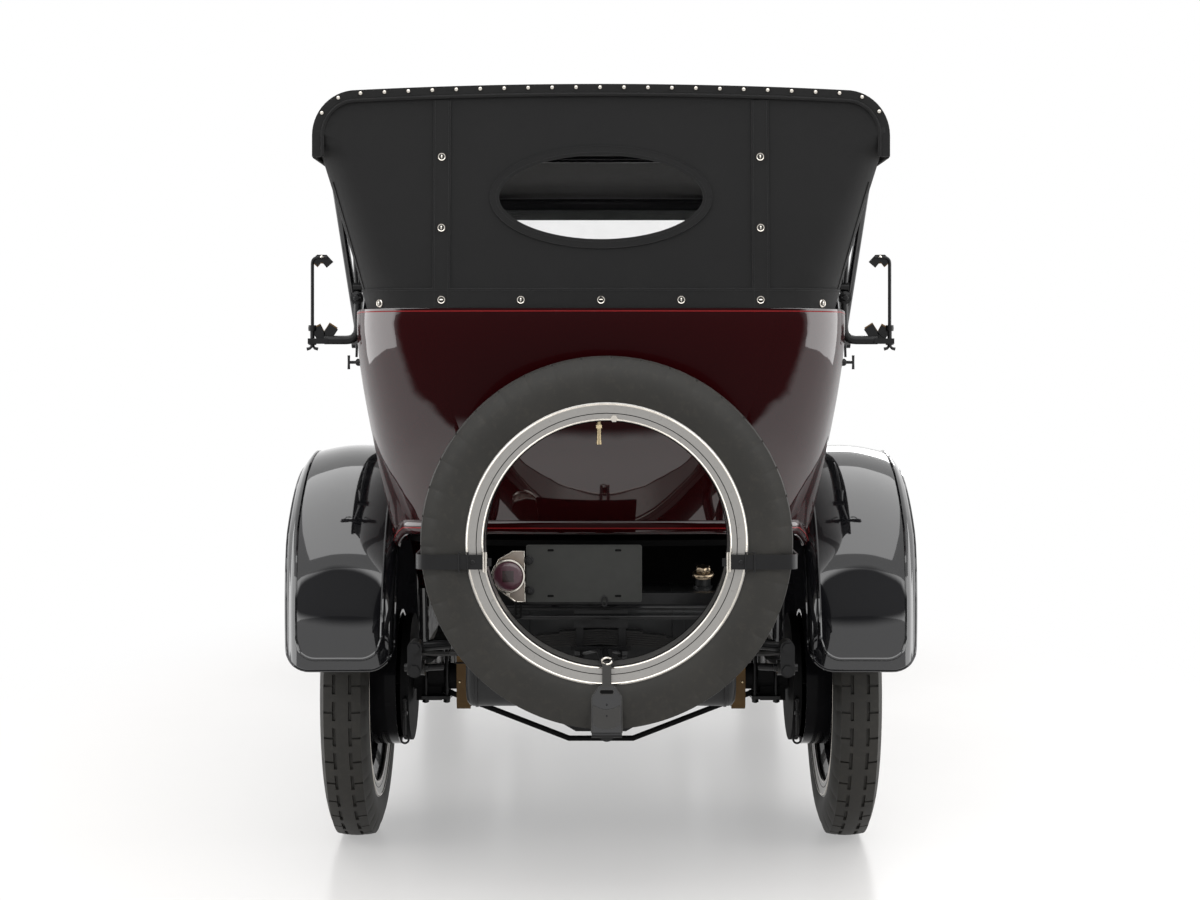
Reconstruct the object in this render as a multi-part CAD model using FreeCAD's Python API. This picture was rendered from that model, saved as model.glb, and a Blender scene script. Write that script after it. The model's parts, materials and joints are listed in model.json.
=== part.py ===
import FreeCAD, Part
import math
import os

# Lengths are in millimetres. The car is drawn with the rear axle at y = 0 and
# the road at z = 0, facing +Y, and is moved to the middle of its own length
# when it is saved.

# Stance
wheelbase = 3175.0
track_half = 711.0
hub_height = 460.0
saved_shift_y = -1343.0

# Fits
working_gap = 6.0
panel_gap = 5.0
bearing_clearance = 0.3
seat_clearance = 0.2
pin_clearance = 0.5

# Tyres and wheels
tyre_radius = 460.0
tyre_half_width = 68.0
tyre_tread_half = 42.0
tyre_bulge_radius = 392.0
tyre_bead_half = 54.0
rim_radius = 342.0
rim_half_width = 60.0
felloe_inner_radius = 268.0
felloe_half_width = 34.0
spoke_count = 12
spoke_width_hub = 46.0
spoke_width_rim = 32.0
spoke_half_thickness = 20.0
hub_plate_radius = 92.0
hub_plate_half = 26.0
hub_barrel_radius = 46.0
hub_cap_radius = 40.0
hub_cap_out = 92.0
hub_barrel_in = 52.0
spindle_radius = 24.0
spindle_end_out = 70.0
spoke_root_depth = 12.0

# Rear axle and brakes
axle_tube_radius = 38.0
axle_shaft_radius = 26.0
axle_tube_half = 552.0
diff_radius = 162.0
diff_half = 74.0
diff_cone_half = 300.0
drum_radius = 197.0
drum_inner_x = 590.0
drum_outer_x = 664.0
drum_wall = 9.0
back_plate_x = 566.0
back_plate_thick = 12.0
back_plate_radius = 186.0
truss_rod_radius = 8.0
truss_low_z = 275.0
truss_low_half = 95.0
truss_high_z = 430.0
truss_bracket_inner = 470.0
truss_bracket_outer = 545.0
truss_bracket_half_y = 26.0
truss_bracket_low_z = 392.0

# Frame
rail_width = 45.0
rail_plate = 6.0
rail_stations = [
    # y, outer x, bottom z, top z
    (-750.0, 425.0, 742.0, 800.0),
    (-480.0, 425.0, 748.0, 832.0),
    (-240.0, 425.0, 756.0, 858.0),
    (50.0, 425.0, 752.0, 858.0),
    (130.0, 425.0, 690.0, 800.0),
    (230.0, 425.0, 592.0, 690.0),
    (340.0, 425.0, 558.0, 665.0),
    (1900.0, 425.0, 558.0, 665.0),
    (2450.0, 385.0, 552.0, 655.0),
    (3150.0, 382.0, 548.0, 640.0),
    (3400.0, 382.0, 556.0, 622.0),
    (3620.0, 382.0, 556.0, 598.0),
]
rear_member_y = -742.0
rear_member_depth_y = 40.0
spring_perch_half = 70.0
mid_member_y = (400.0, 1250.0)
mid_member_height = 40.0
mid_member_depth_y = 60.0
engine_arm_y = (2330.0, 2860.0)
engine_arm_depth_y = 46.0
engine_arm_height = 34.0
front_member_y = 3190.0
front_member_height = 56.0
front_member_depth_y = 70.0
crank_bore_radius = 17.0
crank_boss_radius = 23.0
crank_boss_run = 60.0
crank_height = 586.0
body_outrigger_y = (700.0, 1700.0)
body_outrigger_half_y = 30.0
body_outrigger_low_z = 640.0
body_outrigger_end_x = 560.0

# Springs
spring_width = 46.0
side_spring_x = 485.0
side_spring_rear_eye = (-690.0, 590.0)
side_spring_front_eye = (610.0, 590.0)
spring_eye_radius = 20.0
leaf_tip_thick = 9.0
leaf_step_thick = 8.0
side_spring_seat_z = 500.0
side_spring_leaf_halves = (560.0, 450.0, 340.0, 230.0, 120.0)
front_spring_x = 362.0
front_spring_width = 44.0
front_spring_eye_y = (2690.0, 3596.0)
front_spring_seat_z = 440.0
front_spring_leaf_halves = (400.0, 320.0, 240.0, 160.0, 90.0)
spring_bow_points = 8
cross_spring_y = -712.0
cross_spring_eye = (485.0, 648.0)
cross_spring_low_z = 655.0
cross_spring_leaf_halves = (400.0, 320.0, 240.0, 160.0, 80.0)
shackle_thick = 10.0
shackle_half_width = 19.0
shackle_bolt_radius = 9.0
shackle_bolt_over = 14.0
shackle_link_half = 10.0
axle_pad_half_y = 60.0
axle_pad_over = 8.0

# Rebound straps
strap_x = 405.0
strap_width = 40.0
strap_thick = 8.0
strap_low_z = 366.0
strap_top_z = 748.0
strap_half_gap = 46.0

# Front axle and steering
kingpin_x = 600.0
kingpin_radius = 13.0
axle_beam_depth_y = 52.0
axle_beam_outline = [
    # x, z along the top then back along the underside of one half
    (0.0, 432.0), (420.0, 432.0), (520.0, 472.0), (600.0, 490.0),
    (600.0, 430.0), (535.0, 412.0), (435.0, 372.0), (0.0, 372.0),
]
kingpin_boss_radius = 29.0
kingpin_boss_low_z = 424.0
kingpin_boss_top_z = 496.0
knuckle_arm_thick = 20.0
knuckle_arm_half_y = 27.0
knuckle_web_x = 636.0
knuckle_web_thick = 20.0
steer_arm_run = 158.0
steer_arm_width = 30.0
tie_rod_radius = 12.0
tie_end_radius = 22.0
tie_end_height = 26.0
tie_pin_radius = 8.0
tie_rod_z = 388.0
steer_limit = 30.0

# Engine room and drive line
engine_half_x = 150.0
engine_y = (2240.0, 2990.0)
engine_z = (470.0, 1010.0)
gearbox_half_x = 115.0
gearbox_y = (1880.0, 2240.0)
gearbox_z = (470.0, 672.0)
shaft_front_y = 1880.0
shaft_front_z = 560.0
shaft_radius = 28.0
exhaust_x = 255.0
exhaust_z = 500.0
exhaust_pipe_radius = 24.0
exhaust_pipe_y = (230.0, 2300.0)
exhaust_box_radius = 68.0
exhaust_box_y = (480.0, 1050.0)
exhaust_hanger_half = 9.0

# Fuel tank
tank_half_x = 362.0
tank_y = (-610.0, -290.0)
tank_z = (464.0, 772.0)
tank_corner = 70.0
filler_x = 273.0
filler_y = -590.0
filler_neck_radius = 30.0
filler_cap_radius = 38.0
filler_neck_top_z = 818.0
filler_cap_top_z = 846.0
filler_neck_low_z = 700.0
filler_neck_y = -560.0
tank_ear_y = (-500.0, -440.0)
tank_ear_height = 13.0
tank_ear_root = 12.0

# Radiator
radiator_y = (3130.0, 3238.0)
radiator_half_x = 312.0
radiator_side_z = 1150.0
radiator_top_z = 1340.0
radiator_rim = 34.0
radiator_head_drop = 150.0
core_front_inset = 22.0
core_back_inset = 12.0
radiator_cap_radius = 34.0
radiator_cap_height = 46.0

# Body
body_wall = 35.0
body_front_y = 1620.0
body_door_y = 860.0
body_levels = [
    # z, half width at the doors, half width at the dash,
    # half width before the rear corner, rearmost y, corner radius
    (690.0, 588.0, 520.0, 540.0, -560.0, 300.0),
    (850.0, 604.0, 534.0, 566.0, -640.0, 300.0),
    (1000.0, 618.0, 546.0, 590.0, -700.0, 290.0),
    (1150.0, 631.0, 556.0, 612.0, -765.0, 270.0),
    (1300.0, 644.0, 565.0, 634.0, -800.0, 240.0),
    (1447.0, 652.0, 572.0, 648.0, -815.0, 210.0),
    (1540.0, 652.0, 574.0, 648.0, -805.0, 200.0),
]
body_rear_bow = 22.0
body_inner_over = 40.0
belt_line = [
    (2300.0, 1447.0), (-120.0, 1447.0), (-400.0, 1478.0), (-600.0, 1522.0), (-690.0, 1530.0),
    (-1000.0, 1530.0),
]
belt_cut_over = 160.0
rear_under_line = [
    (260.0, 600.0), (260.0, 690.0), (180.0, 880.0), (-420.0, 900.0), (-560.0, 955.0),
    (-1000.0, 985.0),
]
under_cut_low_z = 500.0
cowl_sections = [
    # y, half width low, half width at the shoulder, low z, shoulder z, top z
    (1620.0, 522.0, 572.0, 690.0, 1400.0, 1470.0),
    (1820.0, 446.0, 486.0, 690.0, 1310.0, 1424.0),
    (2010.0, 330.0, 350.0, 690.0, 1150.0, 1340.0),
]
cowl_wall = 22.0
cowl_shoulder_share = 0.72
firewall_thick = 16.0
dash_panel_y = 1604.0
dash_panel_thick = 16.0
dash_panel_low_z = 1230.0
dash_panel_top_z = 1440.0
dash_panel_half_x = 528.0

# Doors
front_door_y = (1080.0, 1560.0)
rear_door_y = (330.0, 860.0)
door_low_z = 722.0
door_top_z = 1500.0
door_outer_run = 68.0
door_outer_reach = max(level[1] for level in body_levels) + door_outer_run
door_inner_reach = 430.0
door_latch_bevel = 7.0
door_arc_radius = 724.0
hinge_outset = 12.0
hinge_pin_radius = 7.0
hinge_knuckle_z = (820.0, 1330.0)
hinge_knuckle_height = 50.0
hinge_eye_radius = 12.0
hinge_leaf = 30.0
hinge_lug_height = 13.0
hinge_play = 1.0
handle_z = 1260.0
handle_inset = 70.0
handle_radius = 7.0
handle_out = 34.0
handle_length = 96.0

# Floor and seats
floor_z = 690.0
floor_thick = 18.0
floor_front_y = 1700.0
toe_front_y = 1985.0
toe_front_z = 900.0
heel_y = 262.0
pan_z = 904.0
pan_thick = 16.0
pan_rear_y = -760.0
front_cushion_y = (960.0, 1480.0)
front_cushion_z = (900.0, 1030.0)
front_box_y = (1030.0, 1440.0)
front_back_y = (900.0, 1012.0)
front_back_lean = 70.0
front_back_top_z = 1400.0
front_seat_half_x = 486.0
front_box_half_x = 440.0
front_back_half_x = 540.0
rear_cushion_y = (-420.0, 70.0)
rear_cushion_top_z = 1062.0
rear_cushion_half_x = 515.0
rear_back_low_y = -420.0
rear_back_top_y = -590.0
rear_back_thick = 150.0
rear_back_top_z = 1490.0
rear_back_half_x = 505.0

# Windshield
screen_y = 1668.0
screen_half_x = 548.0
screen_low_z = 1478.0
screen_top_z = 1990.0
screen_bar = 26.0
screen_depth_y = 22.0
screen_split_z = 1745.0
glass_thick = 6.0
post_low_z = 1330.0
post_half_y = 16.0
post_inner_x = 548.0
post_outer_x = 572.0

# Top
top_half_x = 745.0
top_corner = 100.0
top_cloth = 9.0
top_crown = 26.0
top_stations = [
    # y, height of the edge, valance bottom z, half width
    (-748.0, 2084.0, 1925.0, 745.0),
    (-100.0, 2106.0, 1925.0, 745.0),
    (900.0, 2092.0, 1932.0, 738.0),
    (1640.0, 2034.0, 1915.0, 700.0),
    (1760.0, 1992.0, 1905.0, 672.0),
]
header_half_x = 560.0
header_depth_y = 34.0
curtain_low_z = 1530.3
curtain_low_half = 612.0
curtain_mid_half = 731.0
curtain_low_y = -806.0
curtain_top_y = -761.0
curtain_low_corner = 150.0
curtain_mid_corner = 92.0
curtain_low_wrap = 240.0
curtain_mid_wrap = 150.0
window_centre_z = 1818.0
window_half_x = 263.0
window_half_z = 109.0
window_thick = 4.0
bow_pivot = (673.0, -352.0, 1452.0)
bow_ys = (-640.0, -40.0, 820.0)
bow_half_x = 720.0
bow_radius = 11.0
bow_corner_drop = 150.0
bow_corner_in = 90.0
bow_pivot_radius = 22.0
bow_seat_out = 1.8
rest_joint = (669.0, -500.0, 1590.0)
rest_tube_radius = 12.0
rest_low_z = 1458.0
rest_rod_x = 783.0
rest_rod_radius = 6.5
rest_rod_top_z = 1675.0
rest_foot_z = 1432.0
rest_hook_in = 26.0

# Fenders and running boards
fender_plate = 5.0
rear_fender_inner = 560.0
rear_fender_outer = 871.0
rear_fender_tip_outer = 848.0
rear_fender_rise = 685.0
rear_fender_reach = 604.0
rear_fender_steps = 22
rear_fender_start_angle = 9.0
rear_fender_end_angle = 182.0
fender_crown = 30.0
fender_edge_drop = 26.0
fender_cross_share = (0.0, 0.07, 0.32, 0.62, 0.9, 1.0)
fender_height_share = (-0.55, 0.35, 0.95, 0.95, 0.25, -0.9)
front_fender_inner = 505.0
front_fender_outer = 871.0
front_fender_rise = 640.0
front_fender_reach = 610.0
front_fender_steps = 16
front_fender_start_angle = 8.0
front_fender_end_angle = 128.0
fender_iron_radius = 12.0
fender_iron_places = [
    # x, z from the rail up to the fender
    (366.0, 700.0), (420.0, 900.0), (520.0, 1048.0),
]
front_fender_tail = [
    # run behind the front axle, z, inner x of the sweep down to the running board
    (615.0, 700.0, 600.0), (775.0, 560.0, 604.0), (890.0, 470.0, 606.0), (945.0, 438.0, 606.0),
]
board_gap = 4.0
board_y = (606.0, wheelbase - front_fender_tail[-1][0] - board_gap)
board_x = (600.0, 868.0)
board_z = (418.0, 440.0)
apron_thick = 5.0
apron_low_x = 602.0
apron_top_x = 568.0
apron_top_z = 688.0
board_bracket_y = (760.0, 2080.0)
board_bracket_width = 40.0
board_bracket_inner_x = 425.0
board_bracket_thick = 14.0

# Lamps
headlamp_x = 360.0
headlamp_y = 3402.0
headlamp_z = 985.0
headlamp_profile = [
    # radius, distance ahead of the lamp centre
    (0.0, -150.0), (52.0, -142.0), (98.0, -92.0), (122.0, -18.0), (128.0, 18.0), (128.0, 40.0), (0.0, 58.0),
]
lamp_post_radius = 11.0
lamp_bar_z = 842.0
tail_lamp_x = -240.0
tail_lamp_z = 848.0
tail_lamp_y = -858.0
tail_lamp_radius = 43.0
tail_lamp_depth = 66.0
tail_bracket_half = 58.0
tail_bracket_x = -214.0
tail_bracket_sides = 6
tail_bracket_thick = 4.0

# Number plate
plate_x = (-192.0, 105.0)
plate_z = (777.0, 924.0)
plate_y = -820.0
plate_thick = 3.0
plate_bolt_radius = 4.0
plate_bolt_inset_x = 24.0
plate_bolt_inset_z = 14.0
plate_arm_xs = (-120.0, 30.0)
plate_arm_half = 9.0
plate_arm_top_z = 792.0

# Spare wheel
spare_x = 14.0
spare_y = -1000.0
spare_z = 948.0
carrier_arm_x = 345.0
carrier_arm_radius = 16.0
carrier_bar_y = -905.0
carrier_bar_half = 13.0
carrier_clamp_z = 905.0
carrier_clamp_half_z = 14.0
carrier_clamp_thick = 9.0
carrier_clamp_gap = 0.3
carrier_clamp_in = 190.0
carrier_foot_half_x = 37.0
carrier_foot_top_z = 602.0
carrier_strap_half_x = 11.0
carrier_strap_top_z = 660.0
valve_radius = 6.0
valve_length = 62.0

# Driver's controls
steer_wheel_x = -298.0
steer_wheel_y = 1418.0
steer_wheel_z = 1290.0
steer_wheel_radius = 215.0
steer_rim_half = 12.0
steer_rim_sides = 40
column_radius = 21.0
column_foot_y = 2140.0
column_foot_z = 684.0
steer_box_half_y = 44.0
steer_box_z = (600.0, 692.0)
steer_box_inner_x = 258.0
steer_hub_radius = 34.0
steer_hub_height = 44.0
steer_spoke_half = 9.0
steer_spoke_count = 4
lever_radius = 8.0
gear_lever_foot = (0.0, 1560.0, 709.0)
gear_lever_knee = (-20.0, 1540.0, 900.0)
gear_lever_top = (-30.0, 1470.0, 1110.0)
brake_lever_foot = (85.0, 1620.0, 711.0)
brake_lever_top = (85.0, 1500.0, 1060.0)
pedal_xs = (-250.0, -340.0, -420.0)
pedal_y = 1715.0
pedal_z = 830.0
pedal_foot_z = 740.0
pedal_half = 26.0
pedal_thick = 8.0

# Bonnet
bonnet_y = (2020.0, 3124.0)
bonnet_plate = 5.0
bonnet_top_z = 1330.0
bonnet_low_z = 700.0
bonnet_rear_half = 350.0
bonnet_front_half = 312.0
bonnet_shoulder_z = 1150.0
bonnet_hinge_radius = 5.0
bonnet_side_lean = 17.0

# Angles and proportions
quarter_turn = 90.0
half_turn = 180.0
full_turn = 360.0
diagonal_share = math.sqrt(0.5)

origin = FreeCAD.Vector(0, 0, 0)
x_axis = FreeCAD.Vector(1, 0, 0)
y_axis = FreeCAD.Vector(0, 1, 0)
z_axis = FreeCAD.Vector(0, 0, 1)


# Shapes used everywhere
def point(x, y, z):
    return FreeCAD.Vector(x, y, z)


def block(x0, x1, y0, y1, z0, z1):
    return Part.makeBox(x1 - x0, y1 - y0, z1 - z0, point(x0, y0, z0))


def rod(start, end, radius):
    run = end - start
    return Part.makeCylinder(radius, run.Length, start, run)


def closed_wire(points):
    return Part.makePolygon(points + [points[0]])


def prism(points, run):
    return Part.Face(closed_wire(points)).extrude(run)


def side_prism(outline, x0, x1):
    return prism([point(x0, y, z) for y, z in outline], point(x1 - x0, 0, 0))


def end_prism(outline, y0, y1):
    return prism([point(x, y0, z) for x, z in outline], point(0, y1 - y0, 0))


def plan_prism(outline, z0, z1):
    return prism([point(x, y, z0) for x, y in outline], point(0, 0, z1 - z0))


def mirrored(shape):
    return shape.mirror(origin, x_axis)


def pair(shape):
    return [shape, mirrored(shape)]


def joined(shapes):
    return shapes[0].multiFuse(shapes[1:]).removeSplitter()


def turned(profile, axis):
    corners = [point(radius, 0, along) for radius, along in profile]
    shape = Part.Face(closed_wire(corners)).revolve(origin, z_axis, full_turn)
    if axis == "x":
        shape.rotate(origin, y_axis, quarter_turn)
    if axis == "y":
        shape.rotate(origin, x_axis, -quarter_turn)
    return shape


def placed(shape, x, y, z):
    moved = shape.copy()
    moved.translate(point(x, y, z))
    return moved


def bent_rod(points, radius):
    path = Part.makePolygon(points)
    first = points[1] - points[0]
    ring = Part.Wire(Part.makeCircle(radius, points[0], first))
    return path.makePipeShell([ring], True, False, 1)


def saved(name, shapes):
    whole = shapes[0] if len(shapes) == 1 else Part.makeCompound(shapes)
    whole = whole.copy()
    whole.translate(point(0, saved_shift_y, 0))
    whole.exportStep("parts/" + name + ".step")


# Wheels
def tyre_ring():
    profile = [
        (rim_radius + seat_clearance, -tyre_bead_half),
        (rim_radius + seat_clearance, tyre_bead_half),
        (tyre_bulge_radius, tyre_half_width),
        (tyre_radius, tyre_tread_half),
        (tyre_radius, -tyre_tread_half),
        (tyre_bulge_radius, -tyre_half_width),
    ]
    return turned(profile, "x")


def rim_ring():
    profile = [
        (felloe_inner_radius, -felloe_half_width),
        (felloe_inner_radius, felloe_half_width),
        (rim_radius, rim_half_width),
        (rim_radius, -rim_half_width),
    ]
    return turned(profile, "x")


def wheel_spokes():
    spokes = []
    outline = [
        (-spoke_width_hub / 2, hub_barrel_radius),
        (spoke_width_hub / 2, hub_barrel_radius),
        (spoke_width_rim / 2, felloe_inner_radius + spoke_root_depth),
        (-spoke_width_rim / 2, felloe_inner_radius + spoke_root_depth),
    ]
    spoke = side_prism(outline, -spoke_half_thickness, spoke_half_thickness)
    for number in range(spoke_count):
        turned_spoke = spoke.copy()
        turned_spoke.rotate(origin, x_axis, number * full_turn / spoke_count)
        spokes.append(turned_spoke)
    return spokes


def wheel_hub():
    bore = spindle_radius + bearing_clearance
    profile = [
        (bore, -hub_barrel_in),
        (hub_barrel_radius, -hub_barrel_in),
        (hub_plate_radius, -hub_plate_half),
        (hub_plate_radius, hub_plate_half),
        (hub_cap_radius, hub_plate_half + hub_plate_half / 2),
        (hub_cap_radius, hub_cap_out),
        (0, hub_cap_out),
        (0, spindle_end_out + bearing_clearance),
        (bore, spindle_end_out + bearing_clearance),
    ]
    return turned(profile, "x")


def wheel():
    return joined([rim_ring(), wheel_hub()] + wheel_spokes())


def brake_drum():
    bore = spindle_radius + bearing_clearance
    inner = drum_inner_x - track_half
    outer = drum_outer_x - track_half
    profile = [
        (drum_radius, inner),
        (drum_radius, outer),
        (bore, outer),
        (bore, outer - drum_wall),
        (drum_radius - drum_wall, outer - drum_wall),
        (drum_radius - drum_wall, inner),
    ]
    return turned(profile, "x")


# Rear axle
def rear_axle():
    spindle_end = track_half + spindle_end_out
    profile = [
        (0, -spindle_end),
        (spindle_radius, -spindle_end),
        (spindle_radius, -axle_tube_half),
        (axle_tube_radius, -axle_tube_half),
        (axle_tube_radius, -diff_cone_half),
        (diff_radius, -diff_half),
        (diff_radius, diff_half),
        (axle_tube_radius, diff_cone_half),
        (axle_tube_radius, axle_tube_half),
        (spindle_radius, axle_tube_half),
        (spindle_radius, spindle_end),
        (0, spindle_end),
    ]
    housing = placed(turned(profile, "x"), 0, 0, hub_height)
    shapes = [housing]
    plate_out = back_plate_x + back_plate_thick
    plate = rod(
        point(back_plate_x - back_plate_thick, 0, hub_height), point(plate_out, 0, hub_height),
        back_plate_radius,
    )
    shapes += pair(plate)
    bracket = block(
        truss_bracket_inner, truss_bracket_outer, -truss_bracket_half_y, truss_bracket_half_y,
        truss_bracket_low_z, hub_height,
    )
    shapes += pair(bracket)
    pad_half = spring_width / 2
    pad = block(
        side_spring_x - pad_half, side_spring_x + pad_half, -axle_pad_half_y, axle_pad_half_y,
        hub_height, side_spring_seat_z,
    )
    shapes += pair(pad)
    truss = bent_rod([
        point(-truss_bracket_inner - truss_bracket_half_y, 0, truss_high_z),
        point(-truss_low_half, 0, truss_low_z),
        point(truss_low_half, 0, truss_low_z),
        point(truss_bracket_inner + truss_bracket_half_y, 0, truss_high_z),
    ], truss_rod_radius)
    shapes.append(truss)
    return joined(shapes)


# Frame
def rail_section(y, outer_x, low_z, top_z):
    inner_x = outer_x - rail_width
    web_x = outer_x - rail_plate
    return closed_wire([
        point(outer_x, y, low_z),
        point(outer_x, y, top_z),
        point(inner_x, y, top_z),
        point(inner_x, y, top_z - rail_plate),
        point(web_x, y, top_z - rail_plate),
        point(web_x, y, low_z + rail_plate),
        point(inner_x, y, low_z + rail_plate),
        point(inner_x, y, low_z),
    ])


def frame_rail():
    sections = [rail_section(*station) for station in rail_stations]
    return Part.makeLoft(sections, True, True)


def rail_at(y):
    # Outer x, bottom z and top z of the rail at one place along the car.
    for first, second in zip(rail_stations, rail_stations[1:]):
        if first[0] <= y <= second[0]:
            share = (y - first[0]) / (second[0] - first[0])
            return [first[k] + (second[k] - first[k]) * share for k in (1, 2, 3)]
    return list(rail_stations[0][1:]) if y < rail_stations[0][0] else list(rail_stations[-1][1:])


def member(y0, y1, height):
    # A cross member between the two rails, seated on their lower flanges.
    spots = [rail_at(y0), rail_at(y1)]
    reach = min(spot[0] for spot in spots) - rail_plate - seat_clearance
    low = max(spot[1] for spot in spots) + rail_plate + seat_clearance
    return block(-reach, reach, y0, y1, low, low + height)


def rear_member_span():
    half = rear_member_depth_y / 2
    return rear_member_y - half, rear_member_y + half


def rear_member_zs():
    spot = rail_at(rear_member_y + rear_member_depth_y / 2)
    top = rail_stations[0][3] - rail_plate - seat_clearance
    return spot[1] + rail_plate + seat_clearance, top


def cross_spring_top():
    steps = len(cross_spring_leaf_halves)
    return cross_spring_low_z + leaf_tip_thick + leaf_step_thick * steps


def rear_cross_member():
    y0, y1 = rear_member_span()
    low, top = rear_member_zs()
    beam = member(y0, y1, top - low)
    perch = block(
        -spring_perch_half, spring_perch_half, y0, cross_spring_y + spring_width / 2,
        cross_spring_top() + seat_clearance, low,
    )
    shapes = [beam, perch]
    for x in plate_arm_xs:
        shapes.append(block(
            x - plate_arm_half, x + plate_arm_half, plate_y + plate_thick + seat_clearance, y0,
            plate_z[0], plate_arm_top_z,
        ))
    return joined(shapes)


def middle_members():
    return [member(y, y + mid_member_depth_y, mid_member_height) for y in mid_member_y]


def engine_arms():
    shapes = []
    for y in engine_arm_y:
        bar = member(y, y + engine_arm_depth_y, engine_arm_height)
        room = block(
            -engine_half_x - seat_clearance, engine_half_x + seat_clearance, y,
            y + engine_arm_depth_y, 0, engine_z[1],
        )
        shapes.append(bar.cut(room))
    return shapes


def front_member_top():
    half = front_member_depth_y / 2
    low = max(rail_at(front_member_y - half)[1], rail_at(front_member_y + half)[1])
    return low + rail_plate + seat_clearance + front_member_height


def front_member():
    depth = front_member_depth_y
    rear = front_member_y - depth / 2
    front = front_member_y + depth / 2
    beam = member(rear, front, front_member_height)
    boss = rod(
        point(0, rear, crank_height), point(0, front + crank_boss_run, crank_height),
        crank_boss_radius,
    )
    bore = rod(
        point(0, rear - depth, crank_height), point(0, front + crank_boss_run + depth, crank_height),
        crank_bore_radius,
    )
    return joined([beam, boss]).cut(bore)


def body_outriggers():
    shapes = []
    for y in body_outrigger_y:
        arm = block(
            rail_stations[0][1], body_outrigger_end_x, y - body_outrigger_half_y, y + body_outrigger_half_y,
            body_outrigger_low_z, floor_z - seat_clearance,
        )
        shapes += pair(arm)
    return shapes


# Springs
def leaf_outline(rear, front, seat_z, halves, middle):
    # The main leaf bows from eye to eye and the shorter leaves lie over it in steps.
    low = []
    for number in range(spring_bow_points + 1):
        share = number / spring_bow_points
        along = rear[0] + (front[0] - rear[0]) * share
        if along < middle:
            reach = (along - middle) / (rear[0] - middle)
            end_z = rear[1]
        else:
            reach = (along - middle) / (front[0] - middle)
            end_z = front[1]
        low.append((along, seat_z + (end_z - seat_z) * reach * reach))
    top = [(along, z + leaf_tip_thick) for along, z in low]
    return low, top


def height_on(line, along):
    for first, second in zip(line, line[1:]):
        if first[0] <= along <= second[0]:
            share = (along - first[0]) / (second[0] - first[0])
            return first[1] + (second[1] - first[1]) * share
    return line[-1][1]


def leaf_pack(rear, front, seat_z, halves, middle):
    # Outline of the pack seen from the side, stepped down at each leaf's tip.
    low, top = leaf_outline(rear, front, seat_z, halves, middle)
    outline = list(top)
    steps = sorted(halves, reverse=True)
    under = []
    level = 0
    for half in steps:
        under.append((middle - half, level))
        level += leaf_step_thick
        under.append((middle - half, level))
    outline_low = [(along, z) for along, z in low if along < middle - steps[0]]
    for along, depth in under[:-1]:
        outline_low.append((along, height_on(low, along) - depth))
    outline_low.append((middle - steps[-1], seat_z - level))
    outline_low.append((middle + steps[-1], seat_z - level))
    for along, depth in reversed(under[:-1]):
        mirror_along = middle + middle - along
        outline_low.append((mirror_along, height_on(low, mirror_along) - depth))
    outline_low += [(along, z) for along, z in low if along > middle + steps[0]]
    return outline_low + list(reversed(outline))


def side_leaf_spring(x, width, rear, front, seat_z, halves, middle):
    pack = side_prism(leaf_pack(rear, front, seat_z, halves, middle), x - width / 2, x + width / 2)
    shapes = [pack]
    for y, z in (rear, front):
        shapes.append(rod(
            point(x - width / 2, y, z), point(x + width / 2, y, z), spring_eye_radius,
        ))
    return joined(shapes)


def rear_side_springs():
    depth = leaf_step_thick * len(side_spring_leaf_halves)
    spring = side_leaf_spring(
        side_spring_x, spring_width, side_spring_rear_eye, side_spring_front_eye,
        side_spring_seat_z + depth, side_spring_leaf_halves, 0,
    )
    hanger_x0 = rail_stations[0][1]
    hanger = rod(
        point(hanger_x0, side_spring_front_eye[0], side_spring_front_eye[1]),
        point(side_spring_x + spring_width / 2 + shackle_bolt_over, side_spring_front_eye[0], side_spring_front_eye[1]),
        shackle_bolt_radius,
    )
    return pair(joined([spring, hanger]))


def front_springs():
    depth = leaf_step_thick * len(front_spring_leaf_halves)
    eyes = [(y, rail_at(y)[1] - spring_eye_radius - seat_clearance) for y in front_spring_eye_y]
    spring = side_leaf_spring(
        front_spring_x, front_spring_width, eyes[0], eyes[1],
        front_spring_seat_z + depth, front_spring_leaf_halves, wheelbase,
    )
    return pair(spring)


def rear_cross_spring():
    eye_x, eye_z = cross_spring_eye
    low_z = cross_spring_low_z
    outline = leaf_pack(
        (-eye_x, low_z + low_z - eye_z), (eye_x, low_z + low_z - eye_z), low_z,
        cross_spring_leaf_halves, 0,
    )
    flipped = [(x, low_z + low_z + leaf_tip_thick - z) for x, z in outline]
    half = spring_width / 2
    y0 = cross_spring_y - half
    y1 = cross_spring_y + half
    shapes = [end_prism(flipped, y0, y1)]
    link_low = side_spring_rear_eye[1] + spring_eye_radius + seat_clearance
    for side in (-1, 1):
        x = side * eye_x
        shapes.append(rod(point(x, y0 - shackle_bolt_over, eye_z), point(x, y1, eye_z), spring_eye_radius))
        shapes.append(block(
            x - shackle_link_half, x + shackle_link_half, cross_spring_y - shackle_link_half,
            cross_spring_y + shackle_link_half, link_low, eye_z,
        ))
        shapes.append(block(
            x - shackle_half_width, x + shackle_half_width, y0 - shackle_thick, y0,
            side_spring_rear_eye[1] - shackle_half_width, eye_z + shackle_half_width,
        ))
        shapes.append(rod(
            point(x, y0 - shackle_bolt_over, side_spring_rear_eye[1]),
            point(x, y0, side_spring_rear_eye[1]),
            shackle_bolt_radius,
        ))
    return joined(shapes)


def rebound_strap():
    half = strap_width / 2
    outer = strap_half_gap + strap_thick
    ring = side_prism([
        (-outer, strap_top_z), (-outer, strap_low_z), (outer, strap_low_z), (outer, strap_top_z),
        (strap_half_gap, strap_top_z), (strap_half_gap, strap_low_z + strap_thick),
        (-strap_half_gap, strap_low_z + strap_thick), (-strap_half_gap, strap_top_z),
    ], strap_x - half, strap_x + half)
    return ring


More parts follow.
